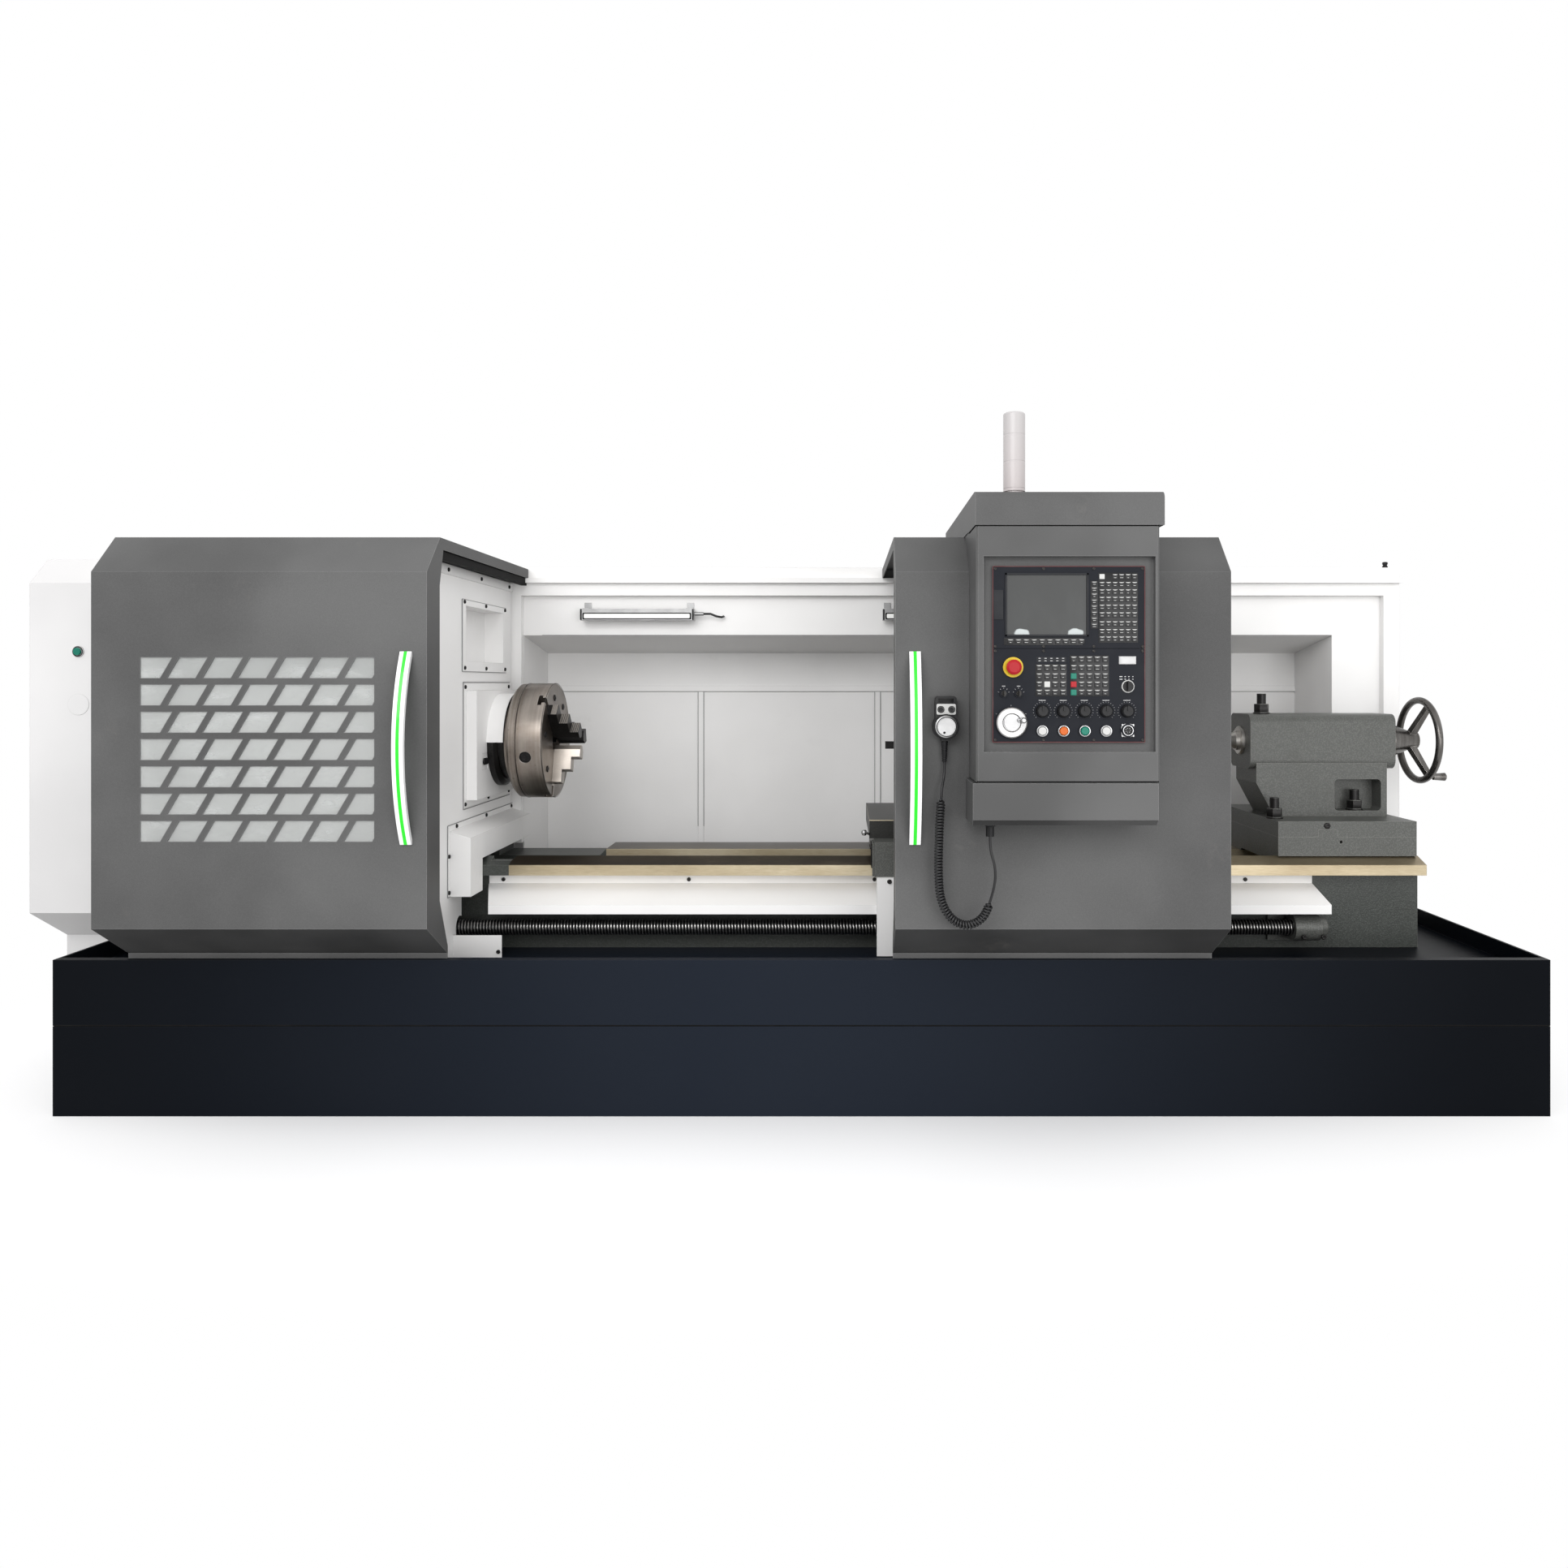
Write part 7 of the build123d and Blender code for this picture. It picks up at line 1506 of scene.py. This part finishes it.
@dataclass
class PendantFittings(Fittings):
    """White plate, grip ring, dial face and ribbed sleeve of the hand wheel."""

    middle: tuple[float, float] = (547.0, 1161.0)
    front: float = -707.0
    dial_front: float = -719.3
    dial_marks: int = 50
    sleeve_at: Point = (544.0, -687.0, 0.0)
    sleeve_top: float = 1118.0
    sleeve_foot: float = 1060.5
    ribs: int = 9

    def sleeve(self) -> list[tuple[float, float]]:
        """Profile of the sleeve: ribs that narrow evenly from its top to its foot.

        Returns:
            Radius and height pairs from the foot up.
        """
        step = (self.sleeve_top - self.sleeve_foot) / self.ribs
        pairs: list[tuple[float, float]] = []
        for k in range(self.ribs):
            wide, top = 9.8 - 3.0 * k / self.ribs, self.sleeve_top - step * k
            pairs += [(wide - 1.8, top), (wide, top - step * 0.15), (wide, top - step * 0.6),
                      (wide - 1.8, top - step * 0.75)]
        return [(4.5, self.sleeve_foot), *reversed(pairs), (0.0, self.sleeve_top)]

    def build(self) -> None:
        """Makes the pieces."""
        x, z = self.middle
        plate = pad(54, 30, 1.2, 4, 0.5).facing(Facing.OPERATOR, (x, self.front, 1209.5))
        rings = revolve([(9.8, 0), (9.8, 1.6), (8.6, 1.8), (7.6, 1.2), (7.6, 0)], 28, 1).facing(
            Facing.OPERATOR, (x - 15, self.front - 1, 1209), (x + 15, self.front - 1, 1209))
        self.shop.place("pendant_plate", plate.joined(rings), "right_door", "white_plastic", WHITE_PLASTIC,
                        BLACK_PLASTIC)
        guard = revolve([(35.2, 0), (35.2, 3), (34, 4.6), (32.2, 4.6), (31.6, 0)], 56)
        self.shop.place("dial_guard", guard.facing(Facing.OPERATOR, (x, self.front, z)), "right_door", "black_plastic",
                        BLACK_PLASTIC)
        face = []
        for k in range(self.dial_marks):
            long = 1.8 if k % 5 else 3.0
            tick = printed(0.5, long, 0.2, 0.1, bevel=0.05).at((0, 25 - long / 2, 0))
            face.append(tick.spun(-360.0 / self.dial_marks * k))
        face.append(revolve([(3.4, 0), (3.4, 1.6), (0, 1.9)], 20).at((-6, -16.5, 0)))
        face.append(revolve([(27.8, -2), (27.8, 0.8), (26.6, 1.4), (25.6, 0.8), (25.6, -2)], 56))
        self.shop.place("dial_marks", Shape.whole(face).facing(Facing.OPERATOR, (x, self.dial_front, z)),
                        "pendant_dial", "black_plastic", BLACK_PLASTIC)
        self.shop.place("pendant_sleeve", revolve(self.sleeve(), 24).at(self.sleeve_at), "right_door", "black_plastic",
                        BLACK_PLASTIC)


@dataclass
class DoorFittings(Fittings):
    """Black bars of painted shade in the control box's gaps, the cord's collar, the lamp's foot ring and the cover
    button's rim.
    """

    box: tuple[float, float] = (617.0, 1104.0)
    box_front: tuple[float, float] = (-842.4, -839.0)

    def build(self) -> None:
        """Makes the pieces."""
        (x0, x1), (y0, y1) = self.box, self.box_front
        # Painted shade: black bars fill the gap under the hood and the seam between the upper and lower box.
        gaps = [bar((x0, y0, z0), (x1, y1, z1), 0.3) for z0, z1 in ((1702.2, 1705.8), (1016.8, 1020.2))]
        self.shop.place("box_gap_shade", Shape.whole(gaps), "right_door", "black_plastic", SEAL)
        collar = revolve([(11.4, 860), (11.4, 887), (15, 888.8), (16.2, 890.5), (16.2, 898.5), (15, 899.8),
                          (0, 899.8)], 24)
        self.shop.place("cord_collar", collar.at((664, -748, 0)), "right_door", "black_plastic", BLACK_PLASTIC)
        foot = revolve([(31.5, 0), (31.5, 3), (30.5, 4.2), (30, 4.2)], 48)
        self.shop.place("lamp_foot", foot.at((730, -752, 1797)), "right_door", "red_plastic", OUTLINE_RED)
        rim = revolve([(18.2, 0), (18.2, 2.8), (17, 4), (13.2, 4), (12.6, 0)], 36)
        self.shop.place("button_rim", rim.facing(Facing.OPERATOR, (-2196, -233, 1384)), "frame", "bright_steel", CHROME)


@dataclass
class TailFittings(Fittings):
    """Blacked nuts and studs, and the socket screws of the tailstock and the bracket."""

    @staticmethod
    def nut(half: float, low: float, high: float) -> Shape:
        """Hexagon prism with chamfered rims; half is the distance from the axis to a flat."""
        angles = np.arange(6) * math.tau / 6
        corner = half / math.cos(math.pi / 6)
        rings = [(corner * 0.93, low), (corner, low + 2.5), (corner, high - 2.5), (corner * 0.93, high)]
        points = np.array([(r * math.cos(a), r * math.sin(a), z) for r, z in rings for a in angles])
        return Shape.empty().add(points, [*grid_faces(4, 6, True), tuple(range(6))[::-1], tuple(range(18, 24))])

    def build(self) -> None:
        """Makes the pieces."""
        nut = revolve([(27.4, 0), (28.2, 0.8), (28.2, 3.6), (27.4, 4.4), (0, 4.4)], 40).joined(
            revolve([(15.3, 30), (15.3, 69), (14, 70.3), (0, 70.3)], 32), self.nut(22.3, 4.1, 34.4))
        self.shop.place("tail_nuts", nut.at((1715, -47, 827), (2029, 52, 845), (1721, 88, 1176)), "tailstock",
                        "black_steel", BLACKED)
        for name, radius, body, places in (("tail_screw", 10, "tailstock", [(1854.6, -137, 812.5)]),
                                           ("bracket_screws", 8, "frame", [(1735, -245, 470), (1797, -245, 470)])):
            self.shop.place(name, cap_screw(radius, 6).facing(Facing.OPERATOR, *places), body, "black_steel", BLACKED)


# The whole machine

DRESSES = (
    (PAINT_NAVY, "base_plinth chip_tray"),
    (PAINT_GREY, "left_door right_door control_box"),
    (PAINT_WHITE, "headstock_cover spindle_guard rear_guard leadscrew_cover apron"),
    (SILVER, "work_lights"),
    (PAINT_END, "end_cover electrical_cabinet"),
    (BED_CASTING, "bed"),
    (CASTING, "headstock leadscrew_bracket saddle tailstock_base tailstock_body"),
    (SLIDE_CASTING, "cross_slide"),
    (PAINT_MOTOR, "drive_motors"),
    (PaneGlass("guard_glass"), "left_door_glass"),
    (StripedGrip("left_grip", -0.976), "left_door_handle"),
    (StripedGrip("right_grip", 0.462), "right_door_handle"),
    (PANEL_BLACK, "nc_unit operator_panel panel_keys"),
    (DarkScreen("dark_screen"), "screen"),
    (FrostedTube("frosted_tube"), "status_lamp"),
    (BLACK_PLASTIC, "pendant pendant_cord pendant_coil mode_selector pendant_knob_1 pendant_knob_2 "
                    "override_knob_1 override_knob_2 override_knob_3 override_knob_4 override_knob_5"),
    (RED_PLASTIC, "estop_button"),
    (WHITE_PLASTIC, "push_button_1 push_button_4"),
    (DIAL_SILVER, "pendant_dial"),
    (ORANGE_PLASTIC, "push_button_2"),
    (TEAL_PLASTIC, "push_button_3 cover_button"),
    (DIAL_SILVER, "panel_handwheel"),
    (BLACKED, "key_switch_1 key_switch_2 spindle chuck_jaw_1 chuck_jaw_3 tool_post"),
    (CHUCK, "chuck_body"),
    (FLANGE, "chuck_plate"),
    (JAW_LIGHT, "chuck_jaw_2"),
    (BRIGHT, "quill"),
    (THREAD, "leadscrew"),
    (WHEEL, "tail_handwheel"),
)


def main() -> None:
    """Builds the looks in order: camera and cord first, then finishes, then the new pieces."""
    logging.basicConfig(level=logging.INFO, format="%(name)s %(message)s")
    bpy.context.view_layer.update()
    studio = Studio()
    studio.camera()
    shop = Workshop(frame["nodes"])
    CurlyCord().build(shop, RUBBER)
    studio.floor()
    studio.light()
    for recipe, names in DRESSES:
        shop.dress(recipe, *names.split())
    for kind in (GuardFittings, WayFittings, ChuckFittings, PanelFittings, PendantFittings, DoorFittings,
                 TailFittings):
        kind(shop).build()


if __name__ == "__main__":
    main()
